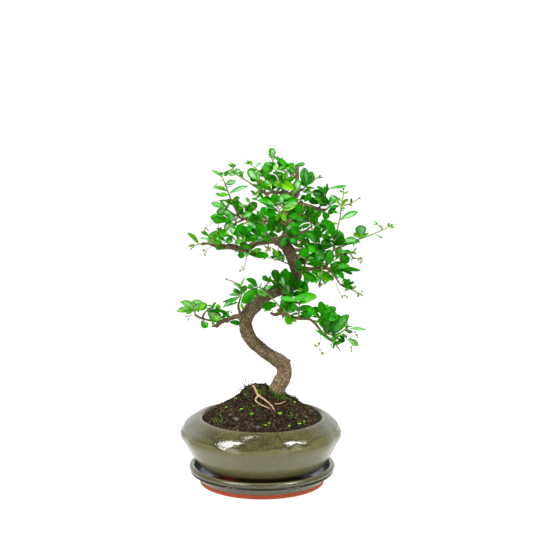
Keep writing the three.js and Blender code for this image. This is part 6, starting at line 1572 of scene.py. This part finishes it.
def limb_samples(lines):
    """Places along the limbs: point, radius, the limb's heading, its side, how far along it, its name."""
    samples = []
    for name, line in lines:
        along = 0.0
        side = Vector((0.31, -0.9, 0.29))
        for i, point in enumerate(line):
            place = Vector(point[:3])
            before = Vector(line[max(i - 1, 0)][:3])
            ahead = (Vector(line[min(i + 1, len(line) - 1)][:3]) - before).normalized()
            side = (side - ahead * side.dot(ahead)).normalized()
            along += (place - before).length
            samples.append((place, point[3], ahead, side.copy(), along, name))
    return samples


def point_tree(points):
    tree = KDTree(len(points))
    for index, point in enumerate(points):
        tree.insert(point, index)
    tree.balance()
    return tree


def cut_bark(mesh, lines, relief):
    """Fissures along the limbs, wrinkles across them and lumps, cut into the skin's points."""
    samples = limb_samples(lines)
    tree = point_tree([sample[0] for sample in samples])
    normals = [vertex.normal.copy() for vertex in mesh.vertices]
    grain, girth, root = [], [], []
    for vertex, normal in zip(mesh.vertices, normals):
        point = vertex.co / MM
        _, index = min((distance - samples[index][1], index) for _, index, distance in tree.find_n(point, 6))
        place, radius, ahead, side, along, name = samples[index]
        off = point - place
        along += off.dot(ahead)
        across, other = off.dot(side), off.dot(ahead.cross(side))
        seed = 7.3 * (sum(map(ord, name)) % 17)

        def cut(width, length):
            return noise.noise(Vector((across * width, other * width, along * length + seed)))

        fissure, thin = 1 - abs(cut(0.36, 0.15)) * 2.4, 1 - abs(cut(0.8, 0.4)) * 2.6
        wrinkle, lump = cut(0.12, 0.55), cut(0.13, 0.09)
        strength = smooth_step(0.9, 5.5, radius)
        depth = relief * strength * (0.85 * max(fissure, 0) ** 2.5 + 0.45 * max(thin, 0) ** 2)
        swell = strength * (0.8 * lump + 0.4 * wrinkle) + (0.15 * wrinkle if radius < 3 else 0)
        vertex.co += normal * (swell - depth) * MM
        grain.append((across, other, along * 0.5 + seed))
        girth.append(radius)
        root.append(1.0 if name.startswith("root") else 0.0)
    for name, values in (("grain", grain), ("limb_radius", girth), ("root", root)):
        keep_values(mesh, name, values)


def make_bark_finish(settings):
    """Grey-brown bark: pitted and cracked along the limb, wrinkled across it, darker and greener above."""
    bark = Finish("bark_skin", roughness=0.85, specular_ior_level=0.3)
    grain = bark.value("grain", "Vector")
    crack = bark.noise(0.8, 4, 0.75, grain)
    pits = bark.wire("TexVoronoi", {"Vector": bark.stretched(1.0, 1.0, 1.4, grain), "Scale": 1.0})
    plates = bark.noise(0.28, 4, 0.65, grain)
    rings = bark.noise(1, 2, 0.6, bark.stretched(0.14, 0.14, 1.1, grain))
    fleck = bark.noise(900, 3, 0.6)
    x, y, height = bark.parts(bark.place)
    thin = 1 - bark.value("limb_radius").between(1.2, 4.2)
    skin = bark.coats(settings.root, (plates.between(0.3, 0.7), dimmed(settings.root, 0.6)))
    bark.set(
        base_color=bark.coats(
            settings.bark, (plates.between(0.35, 0.62), settings.bark_light),
            (bark.noise(95, 3, 0.55).between(0.45, 0.7) * 0.45, tone(140, 100, 62)),
            (height.between(0.105, 0.16) * 0.7, tone(88, 78, 48)),
            (rings.between(0.52, 0.66) * 0.5, settings.bark_dark),
            ((1 - crack.between(0.36, 0.5)) * 0.9, settings.bark_dark),
            (pits.between(0.55, 0.85) * 0.6, settings.bark_dark),
            (fleck.between(0.56, 0.7) * 0.6, tone(204, 190, 156)), (thin * 0.6, tone(116, 90, 62)),
            (bark.value("root"), skin)),
        roughness=0.9 - 0.25 * plates)
    bark.relief((crack, 0.7), (pits * -1.0, 0.5), (rings * -1.0, 0.4), (fleck, 0.1))
    return bark.material


class BONSAI_OT_wood(bpy.types.Operator):
    """Grow the trunk, its limbs and roots together and cut the bark into them"""
    bl_idname = "bonsai.wood"
    bl_label = "Trunk and branches"

    def execute(self, context):
        settings = context.scene.bonsai_wood
        bark = make_bark_finish(settings)
        plan, lines = Plan(), wood_lines()
        for name, line in lines:
            plan.line([point[:3] for point in line], [point[3] for point in line])
        tubes = grown("wood_tubes", plan.mesh("wood"), strand_tree(), Sides=14, Finish=bark)
        tubes.materials.clear()
        skin = wood_skin(tubes, settings.grain)
        cut_bark(skin, lines, settings.relief / MM)
        shade_smooth(skin)
        settle(new_piece(skin, bark), "bark", "trunk_and_branches")
        return {"FINISHED"}


# Leaves and leafy twigs

def leaf_mesh(name, kind):
    """A blade of unit length and width: four strips above, two below, closed at its margin."""
    (_, [[fold, roll, arch, bend, twist]]), (_, [left]), *other = kind
    right = other[0][1][0] if other else left
    points, places = [], []

    def put(along, share, side, below=False):
        x = share * side / 2
        rise = 4 * arch * along * (1 - along)
        rise += fold * abs(side) * share - roll * (side * share) ** 2
        rise -= fold * 0.5 * share
        thick = LEAF_THICKNESS * (1 - abs(side)) * (0.5 + share)
        rise += -thick if below else thick
        turn = twist * (along - 0.5) * min(4 * along * (1 - along), 1)
        x, rise = x * math.cos(turn) - rise * math.sin(turn) * 0.4, rise + x * math.sin(turn) * 0.5
        x += bend * 4 * along * (1 - along)
        points.append(Vector((x, along, rise)))
        places.append((0.5 + side / 2, along))
        return len(points) - 1

    foot = put(0.0, 0.0, 0)
    rows = []
    for along, a, b in zip(LEAF_STATIONS, left, right):
        middle = max(a, b)
        rows.append([put(along, a, -1), put(along, a, -0.5), put(along, middle, 0), put(along, b, 0.5),
                     put(along, b, 1), put(along, middle, 0, True)])
    tip = put(1.0, 0.0, 0)
    strips = ((0, 1), (1, 2), (2, 3), (3, 4), (5, 0), (4, 5))
    faces = [(foot, rows[0][q], rows[0][p]) for p, q in strips]
    for row, after in zip(rows, rows[1:]):
        faces += [(row[p], row[q], after[q], after[p]) for p, q in strips]
    faces += [(tip, rows[-1][p], rows[-1][q]) for p, q in strips]
    mesh = bpy.data.meshes.new(name)
    mesh.from_pydata(points, [], faces)
    mesh.shade_smooth()
    keep_values(mesh, "under", [0.0, 0.0, 0.0, 0.0, 1.0, 1.0] * (len(rows) + 1), "FACE")
    layer = mesh.uv_layers.new(name="blade")
    for loop in mesh.loops:
        layer.data[loop.index].uv = places[loop.vertex_index]
    margins = [[foot, *(row[side] for row in rows), tip] for side in (0, 4)]
    margin = {pair for line in margins for pair in zip(line, line[1:])}
    sharp = mesh.attributes.new("sharp_edge", "BOOLEAN", "EDGE")
    for edge in mesh.edges:
        sharp.data[edge.index].value = tuple(sorted(edge.vertices)) in margin
    return mesh


def leaf_meshes(name):
    return [leaf_mesh(f"{name}_{i}", kind) for i, kind in enumerate(LEAF_KINDS)]


def make_leaf_finish(settings):
    """Waxy green, lime to deep green by age; a low shade is painted shade, a high one a painted sheen.

    An age below nothing is a petal of the small flower.
    """
    leaf = Finish("leaf_green", roughness=0.3, specular_ior_level=0.28, specular_tint=(0.32, 1.0, 0.12, 1.0))
    across, along, depth = leaf.parts(leaf.wire("UVMap", uv_map="blade"))
    off = (across - 0.5).size()
    age, shade, under = leaf.value("age"), leaf.value("shade"), leaf.value("under")
    patch = leaf.noise(240, 2, 0.5)
    # Painted sheen: a leaf whose shade is over a half gets pale streaks along its veins on one half of its
    # blade
    streak = (along * 58 - off * 40 + patch * 4).sine() * 0.5 + 0.5
    lit = across.between(0.12, 0.42) * (1 - across.between(0.62, 0.92)) * (1 - along.between(0.75, 1.0))
    painted_sheen = (shade - 0.5).most(0.0) * 2.5 * lit * (streak * 0.6 + 0.4)
    painted_sheen = (painted_sheen * leaf.noise(110, 1, 0.5).between(0.25, 0.6)).least(0.95)
    vein = 1 - off.between(0.008, 0.035)
    side = ((along * 46 - off * 34).sine() * 0.5 + 0.5) ** 6
    side = side * off.between(0.02, 0.08) * (1 - off.between(0.34, 0.48))
    # Painted shade: a leaf whose shade is under a half is painted darker, towards a dim deep green
    body = leaf.coats(
        settings.leaf_young, (age.between(0.0, 0.6), settings.leaf),
        (age.between(0.6, 1.0), settings.leaf_deep),
        ((0.5 - shade).most(0.0) * 1.6, dimmed(settings.leaf_deep, 0.3)),
        (painted_sheen, settings.painted_sheen_colour), (patch.between(0.45, 0.75) * 0.3, dimmed(settings.leaf, 1.6)),
        (vein * 0.35, settings.leaf_young), (side * 0.15, settings.leaf_young))
    below = leaf.coats(body, (0.5, settings.leaf_under))
    leaf.set(base_color=leaf.coats(body, (under, below), ((age * -1.0).between(0.2, 0.8), settings.petal)),
             roughness=0.24 + 0.35 * under + 0.12 * patch)
    leaf.relief((vein * -1.0 - 0.4 * side, 0.2), (patch, 0.7))
    return leaf.material


def make_twig_finish(settings):
    twig = Finish("twig_skin", roughness=0.55)
    grain = twig.noise(700, 3, 0.6)
    twig.set(base_color=twig.coats(
        settings.twig_young, (twig.value("age"), settings.twig),
        (grain.between(0.45, 0.7) * 0.5, tone(70, 44, 26)),
        (twig.noise(260, 2, 0.5).between(0.5, 0.7) * 0.3, tone(150, 140, 84))))
    twig.relief((grain, 0.12))
    return twig.material


def turned_about(vector, axis, angle):
    return Quaternion(axis, angle) @ vector


def nearest_on_run(a, b, right, up, first=0.0, last=1.0):
    """How far a point of the front view is from a run of a line, and the run's place nearest to it."""
    run = (b[0] - a[0], b[1] - a[1])
    along = ((right - a[0]) * run[0] + (up - a[1]) * run[1]) / (run[0] ** 2 + run[1] ** 2)
    along = min(max(along, first), last)
    place = [start + (end - start) * along for start, end in zip(a[:3], b[:3])]
    return math.hypot(place[0] - right, place[1] - up), place


def nearest_on_stems(stems, right, up):
    """The place on a spray's stems that is seen nearest to a point of the front view."""
    found = []
    for stem in stems:
        for i, (a, b) in enumerate(zip(stem, stem[1:])):
            length = math.hypot(b[0] - a[0], b[1] - a[1])
            last = 1 - min(STEM_END / length, 0.5) if i + 2 == len(stem) else 1.0
            found.append(nearest_on_run(a, b, right, up, 0.3 if i == 0 else 0.0, last))
    return from_front(*min(found, key=lambda one: one[0])[1])


def seen_nearest(right, up):
    """The twig or limb that the front view shows nearest to a point, front ones first."""
    lines = [(name, stem) for name, spray in SPRAYS.items() for stem in spray["stems"]]
    lines += [(LIMB_LEAVES, path) for path in LIMBS.values()]
    found = []
    for name, line in lines:
        for a, b in zip(line, line[1:]):
            away, place = nearest_on_run(a, b, right, up)
            found.append((away + FRONT_FIRST * place[2], away, name, place))
    return min(found, key=lambda one: one[0])[1:]


def seen_blade(base, tip, seen_width):
    """A blade as the front view shows it: foot, tip, face and width. A narrow one is turned on its edge."""
    axis = tip - base
    width = max(seen_width, BLADE_SHAPE * min(axis.length, 2.6 * seen_width))
    turn = math.acos(min(seen_width / width, 1))
    axis.normalize()
    to_viewer = Vector((0, -math.cos(VIEW["pitch"]), math.sin(VIEW["pitch"])))
    faces = [turned_about(to_viewer, axis, angle) for angle in (turn, -turn)]
    return base, tip, faces[0] if faces[0].z >= faces[1].z else faces[1], width


def shown_leaf(spray, leaf, attempt):
    """A leaf of the front view, as the frame bent it at that attempt."""
    from_right, from_up, right, up, back, seen_width = leaf
    shift = 0 if attempt == 0 else (1 if attempt % 2 else -1) * BEND_STEP * math.ceil(attempt / 2)
    return seen_blade(nearest_on_stems(spray["stems"], from_right, from_up),
                      from_front(right, up, back + shift), seen_width)


def further_leaf(spray, number, leaf, attempt):
    """One of the leaves that stand round a stem, as the frame drew it."""
    draw = drawer(1000 * (number + 1) + 37 * leaf + 5)
    stems = spray["stems"]
    stem = [from_front(*point) for point in stems[leaf % len(stems)]]
    along = (leaf // len(stems) + 0.45 + 0.5 * draw()) / math.ceil(spray["more"] / len(stems))
    lengths = [(b - a).length for a, b in zip(stem, stem[1:])]
    left = (0.25 + 0.75 * min(along, 1)) * (sum(lengths) - STEM_END)
    piece = 0
    while piece + 1 < len(lengths) and left > lengths[piece]:
        left -= lengths[piece]
        piece += 1
    base = stem[piece].lerp(stem[piece + 1], min(left / lengths[piece], 1))
    ahead = (stem[piece + 1] - stem[piece]).normalized()
    across = ahead.cross(Vector((0.36, 0.48, 0.8))).normalized()
    azimuth = GOLDEN_TURN * leaf + FRAME_TURN * draw() + 0.9 * attempt
    spread = 0.75 + 0.5 * draw() + 0.12 * (attempt % 3)
    radial = turned_about(across, ahead, azimuth)
    outward = (base - CROWN_MIDDLE).normalized()
    direction = ahead * math.cos(spread) + radial * math.sin(spread) + outward * 0.3
    direction.z += 0.12
    direction.normalize()
    length = spray["length"] * (0.72 + 0.5 * draw()) * (1 - 0.04 * attempt)
    face = Vector((draw() - 0.5, draw() - 0.5, 0.9 + draw() * 0.4)) * 0.8 + outward * 0.55
    return base, base + direction * length, face, length * (0.42 + 0.14 * draw())


def frame_leaves(name, number, spray):
    """The leaves that the frame's own spray holds: each is known by its tip among the solid's corners."""
    tree = point_tree([vertex.co / MM for vertex in frame["nodes"]["spray_" + name].data.vertices])
    shapes = [lambda attempt, leaf=leaf: shown_leaf(spray, leaf, attempt) for leaf in spray["leaves"]]
    shapes += [lambda attempt, leaf=leaf: further_leaf(spray, number, leaf, attempt)
               for leaf in range(spray["more"])]
    found = []
    for order, shape in enumerate(shapes):
        kept = [leaf for leaf in map(shape, range(ATTEMPTS)) if tree.find(leaf[1])[2] < SAME_POINT]
        if kept or order < len(spray["leaves"]):
            found.append(kept[0] if kept else shape(0))
    return found


def added_growth():
    """The smaller leaves and bud stalks of the front view, gathered by the twig that they grow on."""
    found = {}
    for from_right, from_up, right, up, back, width, age, shade in ADDED_LEAVES:
        away, name, place = seen_nearest(from_right, from_up)
        foot = from_front(from_right, from_up, place[2] + min(back, 0) * FORWARD_SHARE)
        blade = seen_blade(foot, from_front(right, up, place[2] + back), width)
        stalk = [from_front(*place), foot] if away > BARE_STALK else None
        found.setdefault(name, ([], []))[0].append((blade, age, shade, stalk))
    for (_, [[girth]]), (_, points), *buds in STALKS.values():
        away, name, place = seen_nearest(*points[0])
        line = [from_front(*place)] if away > BARE_STALK / 2 else []
        line += [from_front(*point, place[2]) for point in points]
        heads = [(from_front(right, up, place[2]), radius) for _, rows in buds for right, up, radius in rows]
        found.setdefault(name, ([], []))[1].append((girth, line, heads))
    return found


def add_leaf(plan, leaf, kind, age, shade):
    base, tip, face, width = leaf
    length = (tip - base).length
    axis = (tip - base).normalized()
    side = axis.cross(face).normalized()
    turn = Matrix((side, axis, side.cross(axis))).transposed().to_euler()
    size = (width * MM, length * MM, min(length, 2 * width) * MM)
    plan.point(base, turn=tuple(turn), size=size, kind=kind, leaf=1.0, age=age, shade=shade)


def add_stem(plan, points, girths, age, shade=0.5):
    plan.line(points, girths, turn=(0.0, 0.0, 0.0), size=(1.0, 1.0, 1.0), kind=0, leaf=0.0, age=age,
              shade=shade)


def ring_of_leaves(tip, ahead, draw, count, size):
    """Leaves that stand round the end of a stem."""
    across = ahead.cross(Vector((0.2, 0.5, 0.84))).normalized()
    start = FRAME_TURN * draw()
    for i in range(count):
        radial = turned_about(across, ahead, start + GOLDEN_TURN * i)
        lean = 0.35 + 0.55 * draw()
        direction = (ahead * math.cos(lean) + radial * math.sin(lean)).normalized()
        length = size * (0.65 + 0.6 * draw())
        face = (ahead * 0.7 - radial * 0.3 + Vector((0, 0, 0.6))).normalized()
        yield tip, tip + direction * length, face, length * (0.36 + 0.14 * draw())


def young_leaves(plan, tip, ahead, draw, age, count, size):
    """A tuft of small young leaves round the end of a stem, or at a bud on its side."""
    for leaf in ring_of_leaves(tip, ahead, draw, count, size):
        add_leaf(plan, leaf, YOUNG_KIND, age * 0.4 * draw(), 0.45 + 0.3 * draw())


def add_back_growth(plan):
    """Short leafy side twigs on the limbs behind the trunk, which the front view hides."""
    draw = drawer(BACK_SEED)
    for name, shares in BACK_TWIGS.items():
        line = line_of_sight([point[:3] for point in LIMBS[name]], 8)
        for (share,) in shares:
            place = int(share * (len(line) - 2))
            foot, ahead = line[place], (line[place + 1] - line[place]).normalized()
            out = turned_about(Vector((0, 0, 1)).cross(ahead).normalized(), ahead, -math.pi * draw())
            direction = (out + ahead * 0.6).normalized()
            tip = foot + direction * (4 + 5 * draw())
            add_stem(plan, [foot, foot.lerp(tip, 0.5) + ahead * 0.5, tip], [0.75, 0.6, 0.45], 0.6)
            for leaf in ring_of_leaves(tip, direction, draw, 4, 10):
                add_leaf(plan, leaf, int(len(LEAF_KINDS) * draw()), 0.7 + 0.3 * draw(), 0.3 + 0.5 * draw())


def add_stalk(plan, girth, line, heads):
    """A thin stalk and its buds: round knobs, each on a short arm of its own."""
    if len(line) > 1:
        smooth = [Vector(point) for point in through_points(line, 4)]
        add_stem(plan, smooth, [girth * (1 - 0.3 * i / len(smooth)) for i in range(len(smooth))], 0.25)
    for head, radius in heads:
        joint = min(line, key=lambda point: (point - head).length)
        arm = head - joint
        up = arm.normalized() if arm.length > 0.3 else Vector((0, 0, 1))
        if arm.length > 1:
            add_stem(plan, [joint, head], [girth * 0.8] * 2, 0.2)
        add_stem(plan, [head + up * (radius * share) for share in (-1.0, -0.6, 0, 0.6, 1.0)],
                 [radius * share for share in (0.2, 0.75, 1.0, 0.72, 0.15)], 0.1)


def add_growth(plan, leaves, stalks):
    """Add what the front view shows on a twig beyond the frame's own leaves."""
    for number, (blade, age, shade, stalk) in enumerate(leaves):
        length = (blade[1] - blade[0]).length
        kind = YOUNG_KIND if length < YOUNG_ADDED_LENGTH else number % len(LEAF_KINDS)
        add_leaf(plan, blade, LONG_KIND if blade[3] < SLIM_SHARE * length else kind, age, shade)
        if stalk:
            add_stem(plan, stalk, [0.45, 0.32], 0.3)
    for girth, line, heads in stalks:
        add_stalk(plan, girth, line, heads)


def spray_plan(name, number, spray):
    """The stems of a spray, thinner to the tip and a little swollen at each joint, with all their leaves."""
    plan = Plan()
    draw = drawer(9000 + 13 * number)
    age = AGES.get(name, USUAL_AGE)
    foot_girth, tip_girth = STEM_RADIUS * 0.86, 0.46
    for stem in spray["stems"]:
        line = line_of_sight(stem, TWIG_PIECES)
        shares = [i / (len(line) - 1) for i in range(len(line))]
        girths = [(foot_girth + (tip_girth - foot_girth) * share) * (1 if i % TWIG_PIECES else JOINT_SWELL)
                  for i, share in enumerate(shares)]
        twig_age = clipped(age + 0.1 - 0.5 * draw())
        add_stem(plan, line, girths, 0.0 if name in GREEN_TWIGS else twig_age)
        ahead = (line[-1] - line[-2]).normalized()
        tuft = BACK_TUFT if name.startswith("back_") else FRONT_TUFT
        if name not in BARE_TIPS:
            young_leaves(plan, line[-1], ahead, draw, age, 2 + int(2.4 * draw()), tuft)
        for place in range(4, len(line) - 3, 7):
            if draw() < 0.55:
                side = turned_about(
                    ahead.cross(Vector((0.3, 0.4, 0.86))).normalized(), ahead, FRAME_TURN * draw())
                young_leaves(plan, line[place], (ahead * 0.4 + side).normalized(), draw, age, 2, 4.6)
    looks = {order: look for order, *look in LEAF_LOOKS.get(name, [])}
    for order, leaf in enumerate(frame_leaves(name, number, spray)):
        length = (leaf[1] - leaf[0]).length
        young = length < YOUNG_LENGTH
        if young and draw() < 0.5:
            kind = YOUNG_KIND
        else:
            kind = LONG_KIND if leaf[3] < SLIM_SHARE * length else int(len(LEAF_KINDS) * draw())
        own_age = clipped(age + 0.35 * (draw() - 0.5) - (0.2 if young else 0))
        look = (own_age, clipped(0.46 + 0.95 * (draw() - 0.5)))
        if order not in LEAVES_LEFT_OUT.get(name, ()):
            add_leaf(plan, leaf, kind, *looks.get(order, look))
    for leaf in SMALL_LEAVES.get(name, []):
        add_leaf(plan, shown_leaf(spray, leaf, 0), YOUNG_KIND, 0.3, 0.6)
    return plan


def leafy_piece(name, plan, tree, blades, leaf, twig, sides, slot, *nodes):
    """Grow a plan's stems and leaves as one piece."""
    mesh = grown(name, plan.mesh(name + "_lines"), tree, Blades=blades, Leaf=leaf, Twig=twig, Sides=sides)
    settle(new_piece(mesh), slot, *nodes)


class BONSAI_OT_sprays(bpy.types.Operator):
    """Grow the leafy twigs, one piece for each of the frame's sprays"""
    bl_idname = "bonsai.sprays"
    bl_label = "Leafy sprays"

    def execute(self, context):
        settings = context.scene.bonsai_leaf
        blades = shape_collection("blades", leaf_meshes("blade"))
        leaf, twig, tree = make_leaf_finish(settings), make_twig_finish(settings), spray_tree()
        added = added_growth()
        plans = {name: spray_plan(name, number, SPRAYS[name]) for number, name in enumerate(SPRAYS)}
        plans[LIMB_LEAVES] = Plan()
        add_back_growth(plans[LIMB_LEAVES])
        for name, plan in plans.items():
            add_growth(plan, *added.get(name, ([], [])))
            nodes = ["spray_" + name] if name in SPRAYS else []
            leafy_piece("leafy_" + name, plan, tree, blades, leaf, twig, settings.stem_sides, "leaves",
                        *nodes)
        drop_shapes(blades)
        return {"FINISHED"}


# Moss, seedlings, fine roots and pebbles on the soil

def soil_point(right, up):
    """The point of the scene's own soil that the front view shows there."""
    seen = on_soil(right, up)
    inside = min((SOIL_EDGE_RADIUS - 4) / math.hypot(seen.x, seen.y), 1)
    x, y = seen.x * inside, seen.y * inside
    return Vector((x, y, soil_top(x, y)))


def moss_plan():
    """Tufts of moss: a soft lump each, with a few fine shoots."""
    draw = drawer(411)
    plan = Plan()
    for right, up, radius, count in MOSS:
        middle = soil_point(right, up)
        for number in range(int(count)):
            turn, away = FULL_TURN * draw(), radius * math.sqrt(draw())
            x, y = middle.x + away * math.cos(turn), middle.y + 1.3 * away * math.sin(turn)
            if math.hypot(x, y) > SOIL_EDGE_RADIUS - 2:
                continue
            size = (1.0 + 1.8 * draw()) * MM
            place = Vector((x, y, soil_top(x, y) + 0.5))
            shade = draw() * (1.1 - 0.5 * away / radius)
            plan.point(place, turn=(0.0, 0.0, FULL_TURN * draw()), size=(size, size, 0.8 * size),
                       kind=int(4 * draw()), leaf=1.0, shade=shade, age=0.5)
            lean = Vector((draw() - 0.5, draw() - 0.5, 1.6)).normalized()
            length = 1.2 + 1.8 * draw()
            add_stem(plan, [place, place + lean * length], [0.2, 0.08], 0.5, min(shade + 0.2, 1.0))
    return plan


def seedling_plan():
    """Weeds that have just come up: a short stalk with a rosette of small leaves."""
    draw = drawer(77)
    plan = Plan()
    for right, up, size in SEEDLINGS:
        foot = soil_point(right, up)
        top = foot + Vector((0.6 * (draw() - 0.5), -0.4 * draw(), 0.5 * size + 0.6))
        add_stem(plan, [foot - Vector((0, 0, 1)), top], [0.25, 0.2], 0.0)
        start = FULL_TURN * draw()
        for number in range(5):
            angle = start + GOLDEN_TURN * number
            outward = Vector((math.cos(angle), math.sin(angle), 0.25 + 0.5 * draw()))
            length = size * (0.5 + 0.35 * draw())
            tip = top + outward.normalized() * length
            face = Vector((-0.3 * outward.x, -0.3 * outward.y - 0.4, 1.0))
            add_leaf(plan, (top, tip, face, length * 0.75), YOUNG_KIND, 0.1 + 0.3 * draw(), 0.5)
    return plan


def rootlet_plan():
    """Fine dry roots that stand out of the knoll."""
    plan = Plan()
    for number, path in enumerate(ROOTLETS):
        right, up = path[0]
        while on_soil(right, up).y > SOIL_MOUND_RADIUS - 1:
            up -= 1
        line = line_of_sight([(right, up - 1), *path], 5, on_soil(right, up).y)
        girths = [0.5 - 0.28 * i / len(line) for i in range(len(line))]
        plan.line(line, girths, shade=0.35 + 0.1 * (number % 5))
    return plan


def pebble_mesh():
    """Rounded stones, half sunk in the soil, as one mesh."""
    points, faces = [], []
    for number, (right, up, size) in enumerate(PEBBLES):
        middle = soil_point(right, up)
        turns = [math.pi * i / 8 for i in range(9)]
        half_circle = [(size * math.sin(turn), -size * math.cos(turn)) for turn in turns]
        half_circle[0], half_circle[-1] = (0, -size), (0, size)

        def worn(point):
            rough = 1 + 0.45 * noise.noise(point * (1.1 / size) + Vector((0, 0, 7.3 * number)))
            return middle + Vector((point.x * rough, 0.8 * point.y * rough, 0.6 * point.z * rough + 0.2))

        stone = lathe("pebble", half_circle, 14, worn)
        first = len(points)
        points += [vertex.co / MM for vertex in stone.vertices]
        faces += [tuple(first + corner for corner in face.vertices) for face in stone.polygons]
        bpy.data.meshes.remove(stone)
    mesh = new_mesh("soil_pebbles", points, faces)
    shade_smooth(mesh)
    return mesh


class BONSAI_OT_cover(bpy.types.Operator):
    """Dress the soil with moss, seedlings, fine roots and pebbles"""
    bl_idname = "bonsai.cover"
    bl_label = "Moss and seedlings"

    def execute(self, context):
        settings = context.scene.bonsai_soil
        tree = spray_tree()
        for name, plan, shapes, finish, sides, slot in (
                ("soil_moss", moss_plan(), [lump_mesh(f"tuft_{i}", 61 + i, 0.8) for i in range(4)],
                 make_moss_finish(settings), 4, "soil"),
                ("soil_seedlings", seedling_plan(), leaf_meshes("weed"), make_sprout_finish(settings), 5,
                 "leaves")):
            shapes = shape_collection("shapes", shapes)
            leafy_piece(name, plan, tree, shapes, finish, finish, sides, slot)
            drop_shapes(shapes)
        rootlets = grown("soil_rootlets", rootlet_plan().mesh("rootlets"), strand_tree(), Sides=5,
                         Finish=make_fibre_finish())
        settle(new_piece(rootlets), "soil")
        settle(new_piece(pebble_mesh(), make_pebble_finish(settings)), "soil")
        return {"FINISHED"}


# The stage, the panel and the run

# Strength of the light from the room, and the panels in it: sides, power in watts and place, in metres
ROOM_LIGHT = {"front": 0.04, "behind": 0.8, "above": 0.12}
STUDIO_LIGHTS = [
    ("left_box", (0.55, 1.0), 25, (-0.85, -0.55, 1.3)),
    ("right_box", (0.45, 0.8), 21, (0.9, -0.5, 1.25)),
    ("top_strip", (0.5, 0.08), 2, (-0.18, 0.1, 1.75)),
    ("left_window", (0.7, 0.7), 6, (-1.0, -1.7, 0.8)),
    ("right_window", (0.7, 0.7), 5, (1.0, -1.8, 0.8)),
]
LIT_PLACE = (0, 0, 0.16)
FLOOR_HALF_SIDE = 0.9


def glowing_panel(name, size, power, place):
    light = bpy.data.lights.new(name, "AREA")
    light.shape = "RECTANGLE"
    light.size, light.size_y = size
    light.energy = power
    lamp = linked(name, light)
    lamp.location = place
    lamp.rotation_euler = (Vector(LIT_PLACE) - Vector(place)).to_track_quat("-Z", "Y").to_euler()


def make_floor_finish():
    white = (1, 1, 1, 1)
    paper = Finish("floor_paper", roughness=0.9, specular_ior_level=0.1, emission_color=white,
                   emission_strength=0.88)
    paper.set(base_color=paper.coats(tone(146, 146, 146), (paper.noise(3, 2, 0.5), tone(150, 150, 150))))
    return paper.material


def light_world():
    """White all round for the eye. Surfaces mirror a room: dark in front, bright behind and above."""
    world = bpy.data.worlds.new("studio_air")
    bpy.context.scene.world = world
    world.use_nodes = True
    air = Builder(world.node_tree)
    side, behind, up = air.parts(air.wire("TexCoord", output="Generated"))
    low = up.between(-0.12, 0.02) * (1 - 0.75 * up.between(0.1, 0.8))
    room = ROOM_LIGHT["front"] + ROOM_LIGHT["behind"] * behind.between(0.0, 0.8) * low
    room = room + ROOM_LIGHT["above"] * up.between(0.2, 0.9)
    strength = room + (1.05 - room) * air.wire("LightPath", output="Is Camera Ray")
    back = world.node_tree.nodes["Background"]
    back.inputs["Color"].default_value = (1, 1, 1, 1)
    world.node_tree.links.new(strength.socket, back.inputs["Strength"])


class BONSAI_OT_stage(bpy.types.Operator):
    """Set the pale floor, the studio lights and the camera at the front view"""
    bl_idname = "bonsai.stage"
    bl_label = "Stage"

    def execute(self, context):
        scene = context.scene
        side = FLOOR_HALF_SIDE / MM
        corners = [(-side, -side, 0), (side, -side, 0), (side, side, 0), (-side, side, 0)]
        new_piece(new_mesh("floor", corners, [(0, 1, 2, 3)]), make_floor_finish())
        light_world()
        for panel in STUDIO_LIGHTS:
            glowing_panel(*panel)
        camera = bpy.data.cameras.new("front_camera")
        camera.sensor_width = SENSOR_WIDTH
        camera.lens = VIEW["reach"] * SENSOR_WIDTH / PICTURE_WIDTH
        camera.clip_start = 0.05
        eye = linked("front_camera", camera)
        eye.location = Vector((VIEW["side"], -VIEW["distance"], VIEW["height"])) * MM
        eye.rotation_euler = Euler((math.pi / 2 - VIEW["pitch"], 0, 0))
        scene.camera = eye
        scene.view_settings.view_transform = "Standard"
        return {"FINISHED"}


OPERATORS = (
    BONSAI_OT_stage, BONSAI_OT_saucer, BONSAI_OT_bowl, BONSAI_OT_drainage_mesh, BONSAI_OT_soil,
    BONSAI_OT_wood, BONSAI_OT_sprays, BONSAI_OT_cover)
SETTINGS = {
    "bonsai_pot": BonsaiPotSettings, "bonsai_soil": BonsaiSoilSettings, "bonsai_wood": BonsaiWoodSettings,
    "bonsai_leaf": BonsaiLeafSettings}


class BONSAI_PT_panel(bpy.types.Panel):
    """Lists the pieces of the bonsai in the order in which they are made"""
    bl_idname = "BONSAI_PT_panel"
    bl_label = "Fukien Tea Bonsai"
    bl_space_type = "VIEW_3D"
    bl_region_type = "UI"
    bl_category = "Bonsai"

    def draw(self, context):
        for operator in OPERATORS:
            self.layout.operator(operator.bl_idname)
        for name, group in SETTINGS.items():
            box = self.layout.box()
            for label in group.__annotations__:
                box.prop(getattr(context.scene, name), label)


CLASSES = (*SETTINGS.values(), *OPERATORS, BONSAI_PT_panel)


def register():
    for each in CLASSES:
        bpy.utils.register_class(each)
    for name, group in SETTINGS.items():
        setattr(bpy.types.Scene, name, bpy.props.PointerProperty(type=group))


def unregister():
    for name in SETTINGS:
        delattr(bpy.types.Scene, name)
    for each in reversed(CLASSES):
        bpy.utils.unregister_class(each)


def main():
    register()
    for operator in OPERATORS:
        family, name = operator.bl_idname.split(".")
        getattr(getattr(bpy.ops, family), name)()


if __name__ == "__main__":
    main()
